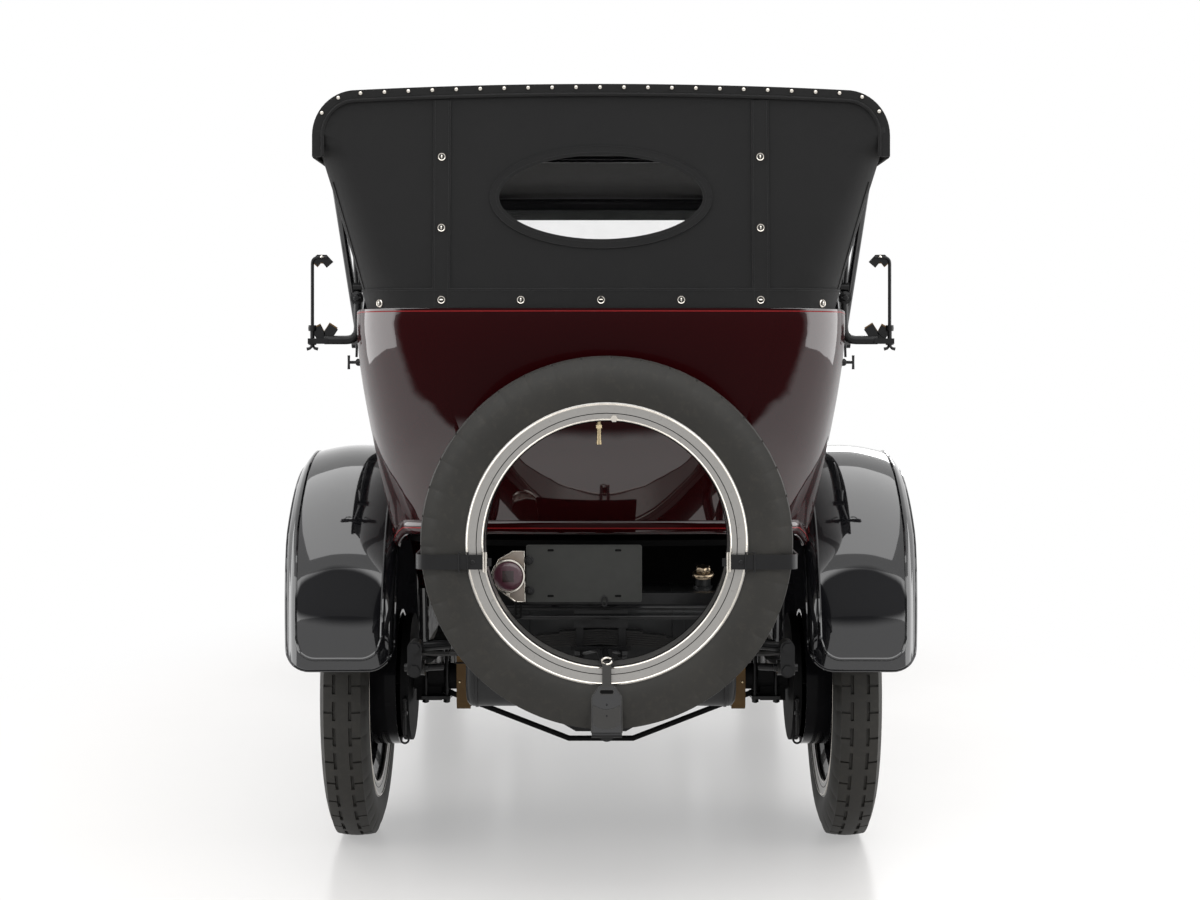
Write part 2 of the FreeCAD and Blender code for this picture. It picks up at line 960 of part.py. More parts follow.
# Front axle and steering
def front_axle():
    right = list(axle_beam_outline)
    outline = right + [(-x, z) for x, z in reversed(right[4:-1])]
    outline = outline + [(-x, z) for x, z in reversed(right[1:4])]
    half = axle_beam_depth_y / 2
    beam = end_prism(outline, wheelbase - half, wheelbase + half)
    shapes = [beam]
    for side in (-1, 1):
        x = side * kingpin_x
        shapes.append(rod(
            point(x, wheelbase, kingpin_boss_low_z), point(x, wheelbase, kingpin_boss_top_z),
            kingpin_boss_radius,
        ))
    pad_half = front_spring_width / 2
    pad_low = axle_beam_outline[0][1]
    pad = block(
        front_spring_x - pad_half, front_spring_x + pad_half,
        wheelbase - axle_pad_half_y, wheelbase + axle_pad_half_y,
        pad_low - axle_pad_over, front_spring_seat_z,
    )
    shapes += pair(pad)
    whole = joined(shapes)
    bore_over = knuckle_arm_thick
    for side in (-1, 1):
        bore = rod(
            point(side * kingpin_x, wheelbase, kingpin_boss_low_z - bore_over),
            point(side * kingpin_x, wheelbase, kingpin_boss_top_z + bore_over),
            kingpin_radius + bearing_clearance,
        )
        whole = whole.cut(bore)
    return whole


def knuckle():
    # Right-hand knuckle, drawn round its own kingpin.
    low = kingpin_boss_low_z - working_gap
    top = kingpin_boss_top_z + working_gap
    web_end = knuckle_web_x + knuckle_web_thick
    shapes = []
    for z0 in (low - knuckle_arm_thick, top):
        shapes.append(rod(
            point(kingpin_x, wheelbase, z0), point(kingpin_x, wheelbase, z0 + knuckle_arm_thick),
            knuckle_arm_half_y,
        ))
        shapes.append(block(
            kingpin_x, web_end, wheelbase - knuckle_arm_half_y, wheelbase + knuckle_arm_half_y,
            z0, z0 + knuckle_arm_thick,
        ))
    shapes.append(block(
        knuckle_web_x, web_end, wheelbase - knuckle_arm_half_y, wheelbase + knuckle_arm_half_y,
        low - knuckle_arm_thick, top + knuckle_arm_thick,
    ))
    shapes.append(rod(
        point(kingpin_x, wheelbase, low - knuckle_arm_thick),
        point(kingpin_x, wheelbase, top + knuckle_arm_thick),
        kingpin_radius,
    ))
    shapes.append(rod(
        point(knuckle_web_x, wheelbase, hub_height),
        point(track_half + spindle_end_out, wheelbase, hub_height),
        spindle_radius,
    ))
    arm_top = low
    arm_low = low - knuckle_arm_thick
    shapes.append(block(
        kingpin_x - steer_arm_width / 2, kingpin_x + steer_arm_width / 2,
        wheelbase - steer_arm_run, wheelbase, arm_low, arm_top,
    ))
    shapes.append(rod(
        point(kingpin_x, wheelbase - steer_arm_run, tie_rod_z - tie_end_height),
        point(kingpin_x, wheelbase - steer_arm_run, arm_top),
        tie_pin_radius,
    ))
    return joined(shapes)


def tie_rod():
    y = wheelbase - steer_arm_run
    z0 = tie_rod_z - tie_end_height / 2
    z1 = tie_rod_z + tie_end_height / 2 - working_gap
    middle = (z0 + z1) / 2
    shapes = [rod(point(-kingpin_x, y, middle), point(kingpin_x, y, middle), tie_rod_radius)]
    for side in (-1, 1):
        shapes.append(rod(point(side * kingpin_x, y, z0), point(side * kingpin_x, y, z1), tie_end_radius))
    whole = joined(shapes)
    for side in (-1, 1):
        whole = whole.cut(rod(
            point(side * kingpin_x, y, z0 - tie_end_height),
            point(side * kingpin_x, y, z1 + tie_end_height),
            tie_pin_radius + pin_clearance,
        ))
    return whole


def steering_direction():
    run = point(0, steer_wheel_y - column_foot_y, steer_wheel_z - column_foot_z)
    return run.normalize()


def steering_wheel():
    sides = steer_rim_sides
    outer = []
    inner = []
    for number in range(sides):
        angle = math.radians(number * full_turn / sides)
        for ring, radius in ((outer, steer_wheel_radius), (inner, steer_wheel_radius - steer_rim_half - steer_rim_half)):
            ring.append(point(radius * math.cos(angle), radius * math.sin(angle), -steer_rim_half))
    band = prism(outer, point(0, 0, steer_rim_half + steer_rim_half))
    hole = prism(inner, point(0, 0, steer_rim_half + steer_rim_half))
    shapes = [band.cut(hole)]
    hub = Part.makeCylinder(steer_hub_radius, steer_hub_height, point(0, 0, -steer_hub_height / 2))
    shapes.append(hub)
    reach = steer_wheel_radius - steer_rim_half
    for number in range(steer_spoke_count):
        spoke = block(
            0, reach, -steer_spoke_half, steer_spoke_half, -steer_spoke_half / 2,
            steer_spoke_half / 2,
        )
        spoke.rotate(origin, z_axis, number * full_turn / steer_spoke_count + quarter_turn / 2)
        shapes.append(spoke)
    whole = joined(shapes)
    bore = Part.makeCylinder(
        column_radius / 2 + bearing_clearance, steer_hub_height / 2, point(0, 0, -steer_hub_height / 2),
    )
    whole = whole.cut(bore)
    turn = FreeCAD.Rotation(z_axis, steering_direction())
    whole.Placement = FreeCAD.Placement(point(steer_wheel_x, steer_wheel_y, steer_wheel_z), turn)
    return whole


def column_hole():
    foot = point(steer_wheel_x, column_foot_y, column_foot_z)
    hub = point(steer_wheel_x, steer_wheel_y, steer_wheel_z)
    return rod(foot, hub, column_radius + seat_clearance)


def driver_controls():
    along = steering_direction()
    foot = point(steer_wheel_x, column_foot_y, column_foot_z)
    hub = point(steer_wheel_x, steer_wheel_y, steer_wheel_z)
    column_top = hub - along * (steer_hub_height / 2 + working_gap)
    column = rod(foot, column_top, column_radius)
    box_y0 = column_foot_y - steer_box_half_y
    box_y1 = column_foot_y + steer_box_half_y
    beside = rail_at(box_y1)[0] - rail_width - seat_clearance
    box = block(-beside, -steer_box_inner_x, box_y0, box_y1, steer_box_z[0], steer_box_z[1])
    spindle = rod(column_top, hub - along * working_gap, column_radius / 2)
    shapes = [joined([column, spindle, box])]
    gear = bent_rod(
        [point(*gear_lever_foot), point(*gear_lever_knee), point(*gear_lever_top)], lever_radius,
    )
    shapes.append(gear)
    shapes.append(rod(point(*brake_lever_foot), point(*brake_lever_top), lever_radius))
    for x in pedal_xs:
        pad = block(
            x - pedal_half, x + pedal_half, pedal_y, pedal_y + pedal_thick, pedal_z - pedal_half,
            pedal_z + pedal_half,
        )
        foot = point(x, pedal_y + pedal_half, pedal_foot_z)
        stalk = rod(point(x, pedal_y + pedal_thick, pedal_z), foot, lever_radius)
        shapes.append(joined([pad, stalk]))
    return shapes


# Engine room
def engine_block():
    return block(-engine_half_x, engine_half_x, engine_y[0], engine_y[1], engine_z[0], engine_z[1])


def drive_line():
    box = block(-gearbox_half_x, gearbox_half_x, gearbox_y[0], gearbox_y[1], gearbox_z[0], gearbox_z[1])
    rear = point(0, diff_radius + shaft_radius / 4, hub_height)
    shaft = rod(point(0, shaft_front_y, shaft_front_z), rear, shaft_radius)
    return joined([box, shaft])


def exhaust():
    pipe = rod(
        point(exhaust_x, exhaust_pipe_y[0], exhaust_z),
        point(exhaust_x, exhaust_pipe_y[1], exhaust_z), exhaust_pipe_radius,
    )
    box = rod(
        point(exhaust_x, exhaust_box_y[0], exhaust_z),
        point(exhaust_x, exhaust_box_y[1], exhaust_z), exhaust_box_radius,
    )
    shapes = [pipe, box]
    for y in mid_member_y:
        middle = y + mid_member_depth_y / 2
        top = rail_at(y)[1] + rail_plate
        shapes.append(block(
            exhaust_x - exhaust_hanger_half, exhaust_x + exhaust_hanger_half,
            middle - exhaust_hanger_half, middle + exhaust_hanger_half, exhaust_z, top,
        ))
    return joined(shapes)


def fuel_tank():
    y0, y1 = tank_y
    z0, z1 = tank_z
    body = block(-tank_half_x, tank_half_x, y0, y1, z0, z1)
    long_edges = [edge for edge in body.Edges if abs(edge.tangentAt(edge.FirstParameter).x) > diagonal_share]
    body = body.makeFillet(tank_corner, long_edges)
    neck_start = point(filler_x, filler_neck_y, filler_neck_low_z)
    neck_end = point(filler_x, filler_y, filler_neck_top_z)
    neck = rod(neck_start, neck_end, filler_neck_radius)
    run = neck_end - neck_start
    run.normalize()
    cap = rod(neck_end, neck_end + run * (filler_cap_top_z - filler_neck_top_z), filler_cap_radius)
    shapes = [body, neck, cap]
    spot = rail_at(tank_ear_y[1])
    low = spot[1] + rail_plate + seat_clearance
    reach = spot[0] - rail_plate - seat_clearance
    shapes += pair(block(
        tank_half_x - tank_ear_root, reach, tank_ear_y[0], tank_ear_y[1], low, low + tank_ear_height,
    ))
    return joined(shapes)


# Radiator
def radiator_outline(inset):
    half = radiator_half_x - inset
    low_z = front_member_top() + seat_clearance + inset
    low = point(-half, 0, low_z)
    shoulder = point(-half, 0, radiator_side_z)
    crown = point(0, 0, radiator_top_z - inset)
    mid_x = half * cowl_shoulder_share
    mid_z = radiator_side_z + (radiator_top_z - inset - radiator_side_z) * diagonal_share
    left_mid = point(-mid_x, 0, mid_z)
    edges = [
        Part.makeLine(low, shoulder),
        arch_edge(shoulder, left_mid, crown, point(-left_mid.x, 0, mid_z), point(half, 0, radiator_side_z)),
        Part.makeLine(point(half, 0, radiator_side_z), point(half, 0, low_z)),
        Part.makeLine(point(half, 0, low_z), low),
    ]
    return Part.Wire(edges)


def arch_edge(*points):
    curve = Part.BSplineCurve()
    curve.interpolate(list(points))
    return curve.toShape()


def radiator_solid(inset, y0, y1):
    face = Part.Face(radiator_outline(inset))
    solid = face.extrude(point(0, y1 - y0, 0))
    return placed(solid, 0, y0, 0)


def radiator_surround():
    y0, y1 = radiator_y
    outer = radiator_solid(0, y0, y1)
    opening = radiator_solid(radiator_rim, y0 - radiator_rim, y1 + radiator_rim)
    head_z = radiator_top_z - radiator_head_drop
    cutter = opening.common(block(
        -radiator_half_x, radiator_half_x, y0 - radiator_rim, y1 + radiator_rim, 0, head_z,
    ))
    cap = rod(
        point(0, (y0 + y1) / 2, radiator_top_z - radiator_rim),
        point(0, (y0 + y1) / 2, radiator_top_z + radiator_cap_height),
        radiator_cap_radius,
    )
    return joined([outer.cut(cutter), cap])


def radiator_core():
    y0 = radiator_y[0] + core_back_inset
    y1 = radiator_y[1] - core_front_inset
    head_z = radiator_top_z - radiator_head_drop
    core = radiator_solid(radiator_rim, y0, y1)
    return core.common(block(-radiator_half_x, radiator_half_x, y0, y1, 0, head_z))


# Body
def plan_wire(level, inset, z):
    height, door_half, dash_half, rear_half, rear_y, corner = level
    front_y = body_front_y
    if inset > 0:
        front_y = body_front_y + body_inner_over
    door_half = door_half - inset
    dash_half = dash_half - inset
    rear_half = rear_half - inset
    rear_y = rear_y + inset
    radius = corner - inset
    centre_y = rear_y + radius
    centre_x = rear_half - radius
    reach = radius * diagonal_share
    edges = []
    right = [
        point(dash_half, front_y, z), point(door_half, body_door_y, z), point(rear_half, centre_y, z),
        point(centre_x + reach, centre_y - reach, z), point(centre_x, rear_y, z),
    ]
    left = [point(-corner_point.x, corner_point.y, z) for corner_point in right]
    edges.append(Part.makeLine(right[0], right[1]))
    edges.append(Part.makeLine(right[1], right[2]))
    edges.append(Part.Arc(right[2], right[3], right[4]).toShape())
    edges.append(Part.Arc(right[4], point(0, rear_y - body_rear_bow, z), left[4]).toShape())
    edges.append(Part.Arc(left[4], left[3], left[2]).toShape())
    edges.append(Part.makeLine(left[2], left[1]))
    edges.append(Part.makeLine(left[1], left[0]))
    edges.append(Part.makeLine(left[0], right[0]))
    return Part.Wire(edges)


def body_solid(inset):
    wires = []
    last = len(body_levels) - 1
    for number, level in enumerate(body_levels):
        z = level[0]
        if inset > 0 and number == 0:
            z = z - inset
        if inset > 0 and number == last:
            z = z + inset
        wires.append(plan_wire(level, inset, z))
    return Part.makeLoft(wires, True, False)


def body_walls():
    walls = body_solid(0).cut(body_solid(body_wall))
    cut_top = body_levels[-1][0] + belt_cut_over
    above = list(belt_line) + [(belt_line[-1][0], cut_top), (belt_line[0][0], cut_top)]
    walls = walls.cut(side_prism(above, -door_outer_reach, door_outer_reach))
    below = list(rear_under_line)
    below += [(rear_under_line[-1][0], under_cut_low_z), (rear_under_line[0][0], under_cut_low_z)]
    return walls.cut(side_prism(below, -door_outer_reach, door_outer_reach))


def door_box(span, gap):
    y0 = span[0] + gap
    y1 = span[1] - gap
    bevel = door_latch_bevel if gap > 0 else 0
    whole = plan_prism([
        (door_inner_reach, y0 + bevel + bevel), (door_outer_reach, y0), (door_outer_reach, y1),
        (door_inner_reach, y1),
    ], door_low_z + gap, door_top_z)
    arc = rod(
        point(door_inner_reach, 0, hub_height), point(door_outer_reach, 0, hub_height),
        door_arc_radius + gap,
    )
    return whole.cut(arc)


def skin_half(y, level):
    # Half width of the outer skin ahead of the widest place, at one level.
    share = (y - body_door_y) / (body_front_y - body_door_y)
    return level[1] + (level[2] - level[1]) * max(share, 0)


def hinge_place(span):
    y = span[1] - panel_gap / 2
    widest = max(skin_half(y, level) for level in body_levels)
    return widest + hinge_outset, y


def hinge_root(y, z):
    # Half width of the skin at a hinge's height, a wall's half thickness in.
    for first, second in zip(body_levels, body_levels[1:]):
        if first[0] <= z <= second[0]:
            share = (z - first[0]) / (second[0] - first[0])
            low = skin_half(y, first)
            return low + (skin_half(y, second) - low) * share - body_wall / 2
    return skin_half(y, body_levels[-1])


def door_hinge(span):
    # Leaves on the door, each with an eye round its pin.
    x, y = hinge_place(span)
    shapes = []
    for z in hinge_knuckle_z:
        z1 = z + hinge_knuckle_height
        root = hinge_root(y, z)
        shapes.append(block(root, x, y - hinge_leaf, y - hinge_pin_radius, z, z1))
        shapes.append(rod(point(x, y, z), point(x, y, z1), hinge_eye_radius))
    return shapes


def door_pins(span, radius):
    x, y = hinge_place(span)
    over = hinge_lug_height
    return [
        rod(point(x, y, z - over), point(x, y, z + hinge_knuckle_height + over), radius)
        for z in hinge_knuckle_z
    ]


def pillar_hinge(span):
    # Lugs on the pillar above and below each eye, and the pins through them.
    x, y = hinge_place(span)
    shapes = door_pins(span, hinge_pin_radius)
    for z in hinge_knuckle_z:
        root = hinge_root(y, z)
        for low in (z - hinge_lug_height, z + hinge_knuckle_height + hinge_play):
            high = low + hinge_lug_height - hinge_play
            shapes.append(block(root, x, y + panel_gap, y + hinge_leaf, low, high))
            shapes.append(block(x - hinge_eye_radius, x + hinge_eye_radius, y, y + hinge_leaf, low, high))
    return shapes


def door_handle(span):
    y = span[0] + handle_inset
    root = skin_half(y, body_levels[4]) - body_wall / 2
    out = skin_half(y, body_levels[4]) + handle_out
    return bent_rod([
        point(root, y, handle_z), point(out, y, handle_z), point(out, y + handle_length, handle_z),
    ], handle_radius)


def door(walls, span):
    panel = walls.common(door_box(span, panel_gap))
    whole = panel.multiFuse(door_hinge(span) + [door_handle(span)])
    for pin in door_pins(span, hinge_pin_radius + bearing_clearance):
        whole = whole.cut(pin)
    return whole


def cowl_wire(section, inset):
    y, low_half, shoulder_half, low_z, shoulder_z, top_z = section
    low_half = low_half - inset
    shoulder_half = shoulder_half - inset
    top = top_z - inset
    mid_z = shoulder_z + (top - shoulder_z) * diagonal_share
    mid_x = shoulder_half * cowl_shoulder_share
    edges = [
        Part.makeLine(point(-low_half, y, low_z), point(-shoulder_half, y, shoulder_z)),
        arch_edge(
            point(-shoulder_half, y, shoulder_z), point(-mid_x, y, mid_z), point(0, y, top),
            point(mid_x, y, mid_z), point(shoulder_half, y, shoulder_z),
        ),
        Part.makeLine(point(shoulder_half, y, shoulder_z), point(low_half, y, low_z)),
        Part.makeLine(point(low_half, y, low_z), point(-low_half, y, low_z)),
    ]
    return Part.Wire(edges)


def cowl():
    outer = Part.makeLoft([cowl_wire(section, 0) for section in cowl_sections], True, True)
    inner = Part.makeLoft([cowl_wire(section, cowl_wall) for section in cowl_sections], True, True)
    last = cowl_sections[-1]
    room = inner.cut(block(
        -door_outer_reach, door_outer_reach, last[0] - firewall_thick, last[0] + firewall_thick,
        last[3], last[5],
    ))
    return outer.cut(room)


def dash_panel():
    y0 = dash_panel_y
    y1 = dash_panel_y + dash_panel_thick
    return block(-dash_panel_half_x, dash_panel_half_x, y0, y1, dash_panel_low_z, dash_panel_top_z)


def floor_boards():
    z1 = floor_z + floor_thick
    flat = block(-door_outer_reach, door_outer_reach, heel_y, floor_front_y, floor_z, z1)
    toe = side_prism([
        (floor_front_y, floor_z), (floor_front_y, z1),
        (toe_front_y, toe_front_z), (toe_front_y, toe_front_z - floor_thick),
    ], -door_outer_reach, door_outer_reach)
    heel = block(-door_outer_reach, door_outer_reach, heel_y, heel_y + floor_thick, z1, pan_z)
    pan = block(
        -door_outer_reach, door_outer_reach, pan_rear_y, heel_y + floor_thick, pan_z, pan_z + pan_thick,
    )
    rear_part = joined([flat, heel, pan]).common(body_solid(body_wall))
    wires = [cowl_wire(section, cowl_wall) for section in cowl_sections]
    room = Part.makeLoft(wires, True, True)
    front_part = joined([toe, block(
        -door_outer_reach, door_outer_reach, body_front_y, floor_front_y, floor_z, z1,
    )]).common(room)
    cut_rear = rear_part.common(block(
        -door_outer_reach, door_outer_reach, pan_rear_y, body_front_y, 0,
        body_levels[-1][0] + belt_cut_over,
    ))
    return joined([cut_rear, front_part]).cut(column_hole())


def front_seat():
    half = front_seat_half_x
    box_half = front_box_half_x
    base = block(
        -box_half, box_half, front_box_y[0], front_box_y[1], floor_z + floor_thick,
        front_cushion_z[0],
    )
    cushion = block(
        -half, half, front_cushion_y[0], front_cushion_y[1], front_cushion_z[0],
        front_cushion_z[1],
    )
    back = side_prism([
        (front_back_y[0], front_cushion_z[0]), (front_back_y[1], front_cushion_z[0]),
        (front_back_y[1] - front_back_lean / 2, front_back_top_z),
        (front_back_y[0] - front_back_lean, front_back_top_z),
    ], -front_back_half_x, front_back_half_x)
    return joined([base, cushion, back])


def rear_seat():
    half = rear_cushion_half_x
    low = pan_z + pan_thick
    cushion = block(-half, half, rear_cushion_y[0], rear_cushion_y[1], low, rear_cushion_top_z)
    back = side_prism([
        (rear_back_low_y, low), (rear_back_low_y + rear_back_thick / 2, rear_cushion_top_z),
        (rear_back_top_y + rear_back_thick, rear_back_top_z), (rear_back_top_y, rear_back_top_z),
    ], -rear_back_half_x, rear_back_half_x)
    return joined([cushion, back])


# Windshield
def windshield_frame():
    half = screen_half_x
    bar = screen_bar
    depth = screen_depth_y
    y0 = screen_y
    outer = block(-half, half, y0, y0 + depth, screen_low_z, screen_top_z)
    lower = block(-half + bar, half - bar, y0, y0 + depth, screen_low_z + bar, screen_split_z)
    upper = block(-half + bar, half - bar, y0, y0 + depth, screen_split_z + bar, screen_top_z - bar)
    frame = outer.cut(lower).cut(upper)
    post = block(
        post_inner_x, post_outer_x, y0 - post_half_y, y0 + depth + post_half_y, screen_low_z, screen_top_z,
    )
    foot = block(
        post_inner_x, post_outer_x, y0 - post_half_y, y0 + depth + post_half_y, post_low_z, screen_low_z,
    )
    outer_cowl = Part.makeLoft([cowl_wire(section, 0) for section in cowl_sections], True, True)
    foot = foot.cut(outer_cowl)
    return joined([frame] + pair(post) + pair(foot))


def windshield_glass():
    half = screen_half_x - screen_bar
    y0 = screen_y + (screen_depth_y - glass_thick) / 2
    y1 = y0 + glass_thick
    lower = block(-half, half, y0, y1, screen_low_z + screen_bar, screen_split_z)
    upper = block(-half, half, y0, y1, screen_split_z + screen_bar, screen_top_z - screen_bar)
    return [lower, upper]


# Top
def top_wire(station, inset, low_over):
    y, edge_z, low_z, half = station
    half = half - inset
    corner = top_corner - inset
    edge = edge_z - inset
    reach = corner * diagonal_share
    low = low_z - low_over
    right = [
        point(half, y, low), point(half, y, edge - corner),
        point(half - corner + reach, y, edge - corner + reach),
        point(half - corner, y, edge),
    ]
    left = [point(-place.x, y, place.z) for place in right]
    crown = point(0, y, edge + top_crown)
    edges = [
        Part.makeLine(right[0], right[1]),
        Part.Arc(right[1], right[2], right[3]).toShape(),
        Part.Arc(right[3], crown, left[3]).toShape(),
        Part.Arc(left[3], left[2], left[1]).toShape(),
        Part.makeLine(left[1], left[0]),
        Part.makeLine(left[0], right[0]),
    ]
    return Part.Wire(edges)


def top_cover():
    outer = Part.makeLoft([top_wire(station, 0, 0) for station in top_stations], True, True)
    inner = Part.makeLoft([top_wire(station, top_cloth, top_cloth) for station in top_stations], True, True)
    return outer.cut(inner)


def curtain_y(z):
    # The curtain leans: its foot lies further back than its head.
    share = (z - curtain_low_z) / (top_stations[0][1] - curtain_low_z)
    return curtain_low_y + (curtain_top_y - curtain_low_y) * share


def curtain_wire(z, half, corner, wrap, inset):
    half = half - inset
    rear_y = curtain_y(z)
    rear = rear_y + inset
    radius = corner - inset
    reach = radius * diagonal_share
    centre_x = half - radius
    centre_y = rear + radius
    front = rear_y + wrap
    right = [
        point(half, front, z), point(half, centre_y, z), point(centre_x + reach, centre_y - reach, z),
        point(centre_x, rear, z),
    ]
    left = [point(-place.x, place.y, z) for place in right]
    edges = [
        Part.makeLine(right[0], right[1]),
        Part.Arc(right[1], right[2], right[3]).toShape(),
        Part.makeLine(right[3], left[3]),
        Part.Arc(left[3], left[2], left[1]).toShape(),
        Part.makeLine(left[1], left[0]),
        Part.makeLine(left[0], right[0]),
    ]
    return Part.Wire(edges)


def curtain_quarters():
    # The lower part, which turns round the corners of the body.
    mid_z = top_stations[0][2]
    solids = []
    for inset in (0, top_cloth):
        over = inset + inset if inset > 0 else 0
        low = curtain_wire(
            curtain_low_z, curtain_low_half, curtain_low_corner, curtain_low_wrap + over, inset,
        )
        mid = curtain_wire(mid_z, curtain_mid_half, curtain_mid_corner, curtain_mid_wrap + over, inset)
        solids.append(Part.makeLoft([low, mid], True, True))
    return solids[0].cut(solids[1])


def leaning_slab(z0, z1, near, far):
    return side_prism([
        (curtain_y(z0) + near, z0), (curtain_y(z1) + near, z1),
        (curtain_y(z1) + far, z1), (curtain_y(z0) + far, z0),
    ], -top_half_x, top_half_x)


def curtain_head():
    # The upper part is flat and closes the end of the roof, in the roof's own outline.
    station = top_stations[0]
    face = Part.Face(top_wire(station, 0, 0))
    outline = placed(face, 0, -top_half_x, 0).extrude(point(0, top_half_x + top_half_x, 0))
    slab = leaning_slab(station[2], station[1] + top_corner, 0, top_cloth)
    return slab.common(outline)


def window_cutter():
    ellipse = Part.Ellipse(point(0, 0, 0), window_half_x, window_half_z)
    face = Part.Face(Part.Wire(ellipse.toShape()))
    face.rotate(origin, x_axis, quarter_turn)
    face.translate(point(0, curtain_low_y - window_half_z, window_centre_z))
    return face.extrude(point(0, window_half_z + window_half_z + window_half_z, 0))


def rear_curtain():
    return joined([curtain_quarters(), curtain_head()]).cut(window_cutter())


def rear_window():
    near = (top_cloth - window_thick) / 2
    low = window_centre_z - window_half_z
    high = window_centre_z + window_half_z
    return leaning_slab(low, high, near, near + window_thick).common(window_cutter())


def roof_edge(y):
    for first, second in zip(top_stations, top_stations[1:]):
        if first[0] <= y <= second[0]:
            share = (y - first[0]) / (second[0] - first[0])
            return first[1] + (second[1] - first[1]) * share
    return top_stations[-1][1]


def top_bow(y):
    z = roof_edge(y) - top_cloth - bow_radius - seat_clearance
    pivot_x, pivot_y, pivot_z = bow_pivot
    half = bow_half_x
    start = point(pivot_x, pivot_y, pivot_z)
    knee = point(half, y + (pivot_y - y) * bow_corner_drop / (z - pivot_z), z - bow_corner_drop)
    crown = point(half - bow_corner_in, y, z)
    path = [
        start, knee, crown, point(-crown.x, y, z), point(-knee.x, knee.y, knee.z),
        point(-pivot_x, pivot_y, pivot_z),
    ]
    return bent_rod(path, bow_radius)


def top_bows():
    pivot_x, pivot_y, pivot_z = bow_pivot
    shapes = [top_bow(y) for y in bow_ys]
    for side in (-1, 1):
        shapes.append(rod(
            point(side * (body_levels[-1][3] + bow_seat_out), pivot_y, pivot_z),
            point(side * (pivot_x + bow_pivot_radius), pivot_y, pivot_z),
            bow_pivot_radius,
        ))
    return joined(shapes)


def header():
    # The roof's front rail, between the windshield and the cloth.
    y0 = screen_y + screen_depth_y / 2 - header_depth_y / 2
    top = roof_edge(y0 + header_depth_y) - top_cloth - seat_clearance
    return block(-header_half_x, header_half_x, y0, y0 + header_depth_y, screen_top_z + seat_clearance, top)


def top_rest():
    x, y, z = rest_joint
    joint = point(x, y, z)
    foot = point(x, y, rest_low_z)
    elbow = point(rest_rod_x, y, rest_low_z)
    low_tube = bent_rod([joint, foot, elbow], rest_tube_radius)
    upright = rod(
        point(rest_rod_x, y, rest_low_z - rest_tube_radius - rest_tube_radius),
        point(rest_rod_x, y, rest_rod_top_z),
        rest_rod_radius,
    )
    hook = rod(
        point(rest_rod_x, y, rest_rod_top_z - rest_rod_radius),
        point(rest_rod_x - rest_hook_in, y, rest_rod_top_z - rest_rod_radius), rest_rod_radius,
    )
    knob = rod(
        point(x - rest_tube_radius, y, z), point(x + rest_hook_in, y, z),
        rest_tube_radius + rest_rod_radius,
    )
    foot_arm = bent_rod([
        foot, point(x, y, rest_foot_z), point(body_levels[-1][1] - rest_rod_radius / 2, y, rest_foot_z),
    ], rest_tube_radius)
    return joined([low_tube, upright, hook, knob, foot_arm]).cut(body_solid(0))


# Fenders
def fender_station(centre_y, centre_z, angle, reach, rise, inner, outer):
    # One section of the fender: plate seen end on, square to the sweep.
    cosine = math.cos(math.radians(angle))
    sine = math.sin(math.radians(angle))
    slope = math.hypot(cosine / reach, sine / rise)
    out_y = cosine / reach / slope
    out_z = sine / rise / slope
    base_y = centre_y + reach * cosine
    base_z = centre_z + rise * sine
    return fender_wire(base_y, base_z, out_y, out_z, inner, outer)


def fender_wire(base_y, base_z, out_y, out_z, inner, outer):
    top = []
    under = []
    for across, height in zip(fender_cross_share, fender_height_share):
        x = inner + (outer - inner) * across
        rise = (height - 1) * fender_crown
        top.append(point(x, base_y + out_y * rise, base_z + out_z * rise))
        low = rise - fender_plate
        under.append(point(x, base_y + out_y * low, base_z + out_z * low))
    return closed_wire(top + list(reversed(under)))


def rear_fender():
    wires = []
    for number in range(rear_fender_steps + 1):
        share = number / rear_fender_steps
        angle = rear_fender_start_angle + (rear_fender_end_angle - rear_fender_start_angle) * share
        sweep = half_turn - angle
        outer = rear_fender_outer
        if angle < quarter_turn / 2:
            lean = (quarter_turn / 2 - angle) / (quarter_turn / 2 - rear_fender_start_angle)
            outer = rear_fender_outer - (rear_fender_outer - rear_fender_tip_outer) * lean
        wires.append(fender_station(
            0, hub_height, sweep, rear_fender_reach, rear_fender_rise, rear_fender_inner, outer,
        ))
    strip = Part.makeLoft(wires, True, True)
    return strip.cut(body_solid(0))


def front_fender():
    wires = []
    for number in range(front_fender_steps + 1):
        share = number / front_fender_steps
        angle = front_fender_start_angle + (front_fender_end_angle - front_fender_start_angle) * share
        wires.append(fender_station(
            wheelbase, hub_height, angle, front_fender_reach, front_fender_rise,
            front_fender_inner, front_fender_outer,
        ))
    places = [(wheelbase - run, z) for run, z, inner in front_fender_tail]
    for number, (y, z) in enumerate(places):
        inner = front_fender_tail[number][2]
        ahead = places[max(number - 1, 0)]
        behind = places[min(number + 1, len(places) - 1)]
        run_y = behind[0] - ahead[0]
        run_z = behind[1] - ahead[1]
        length = math.hypot(run_y, run_z)
        wires.append(fender_wire(y, z, run_z / length, -run_y / length, inner, front_fender_outer))
    strip = Part.makeLoft(wires, True, True)
    foot_z = rail_at(wheelbase - fender_iron_radius)[2] + seat_clearance
    places = [(fender_iron_places[0][0], foot_z)] + fender_iron_places
    iron = bent_rod([point(x, wheelbase, z) for x, z in places], fender_iron_radius)
    return joined([strip, iron])


def running_board():
    board = block(board_x[0], board_x[1], board_y[0], board_y[1], board_z[0], board_z[1])
    apron = end_prism([
        (apron_low_x, board_z[1]), (apron_top_x, apron_top_z),
        (apron_top_x - apron_thick, apron_top_z), (apron_low_x - apron_thick, board_z[1]),
    ], board_y[0] + board_z[1] / 4, board_y[1])
    return joined([board, apron])


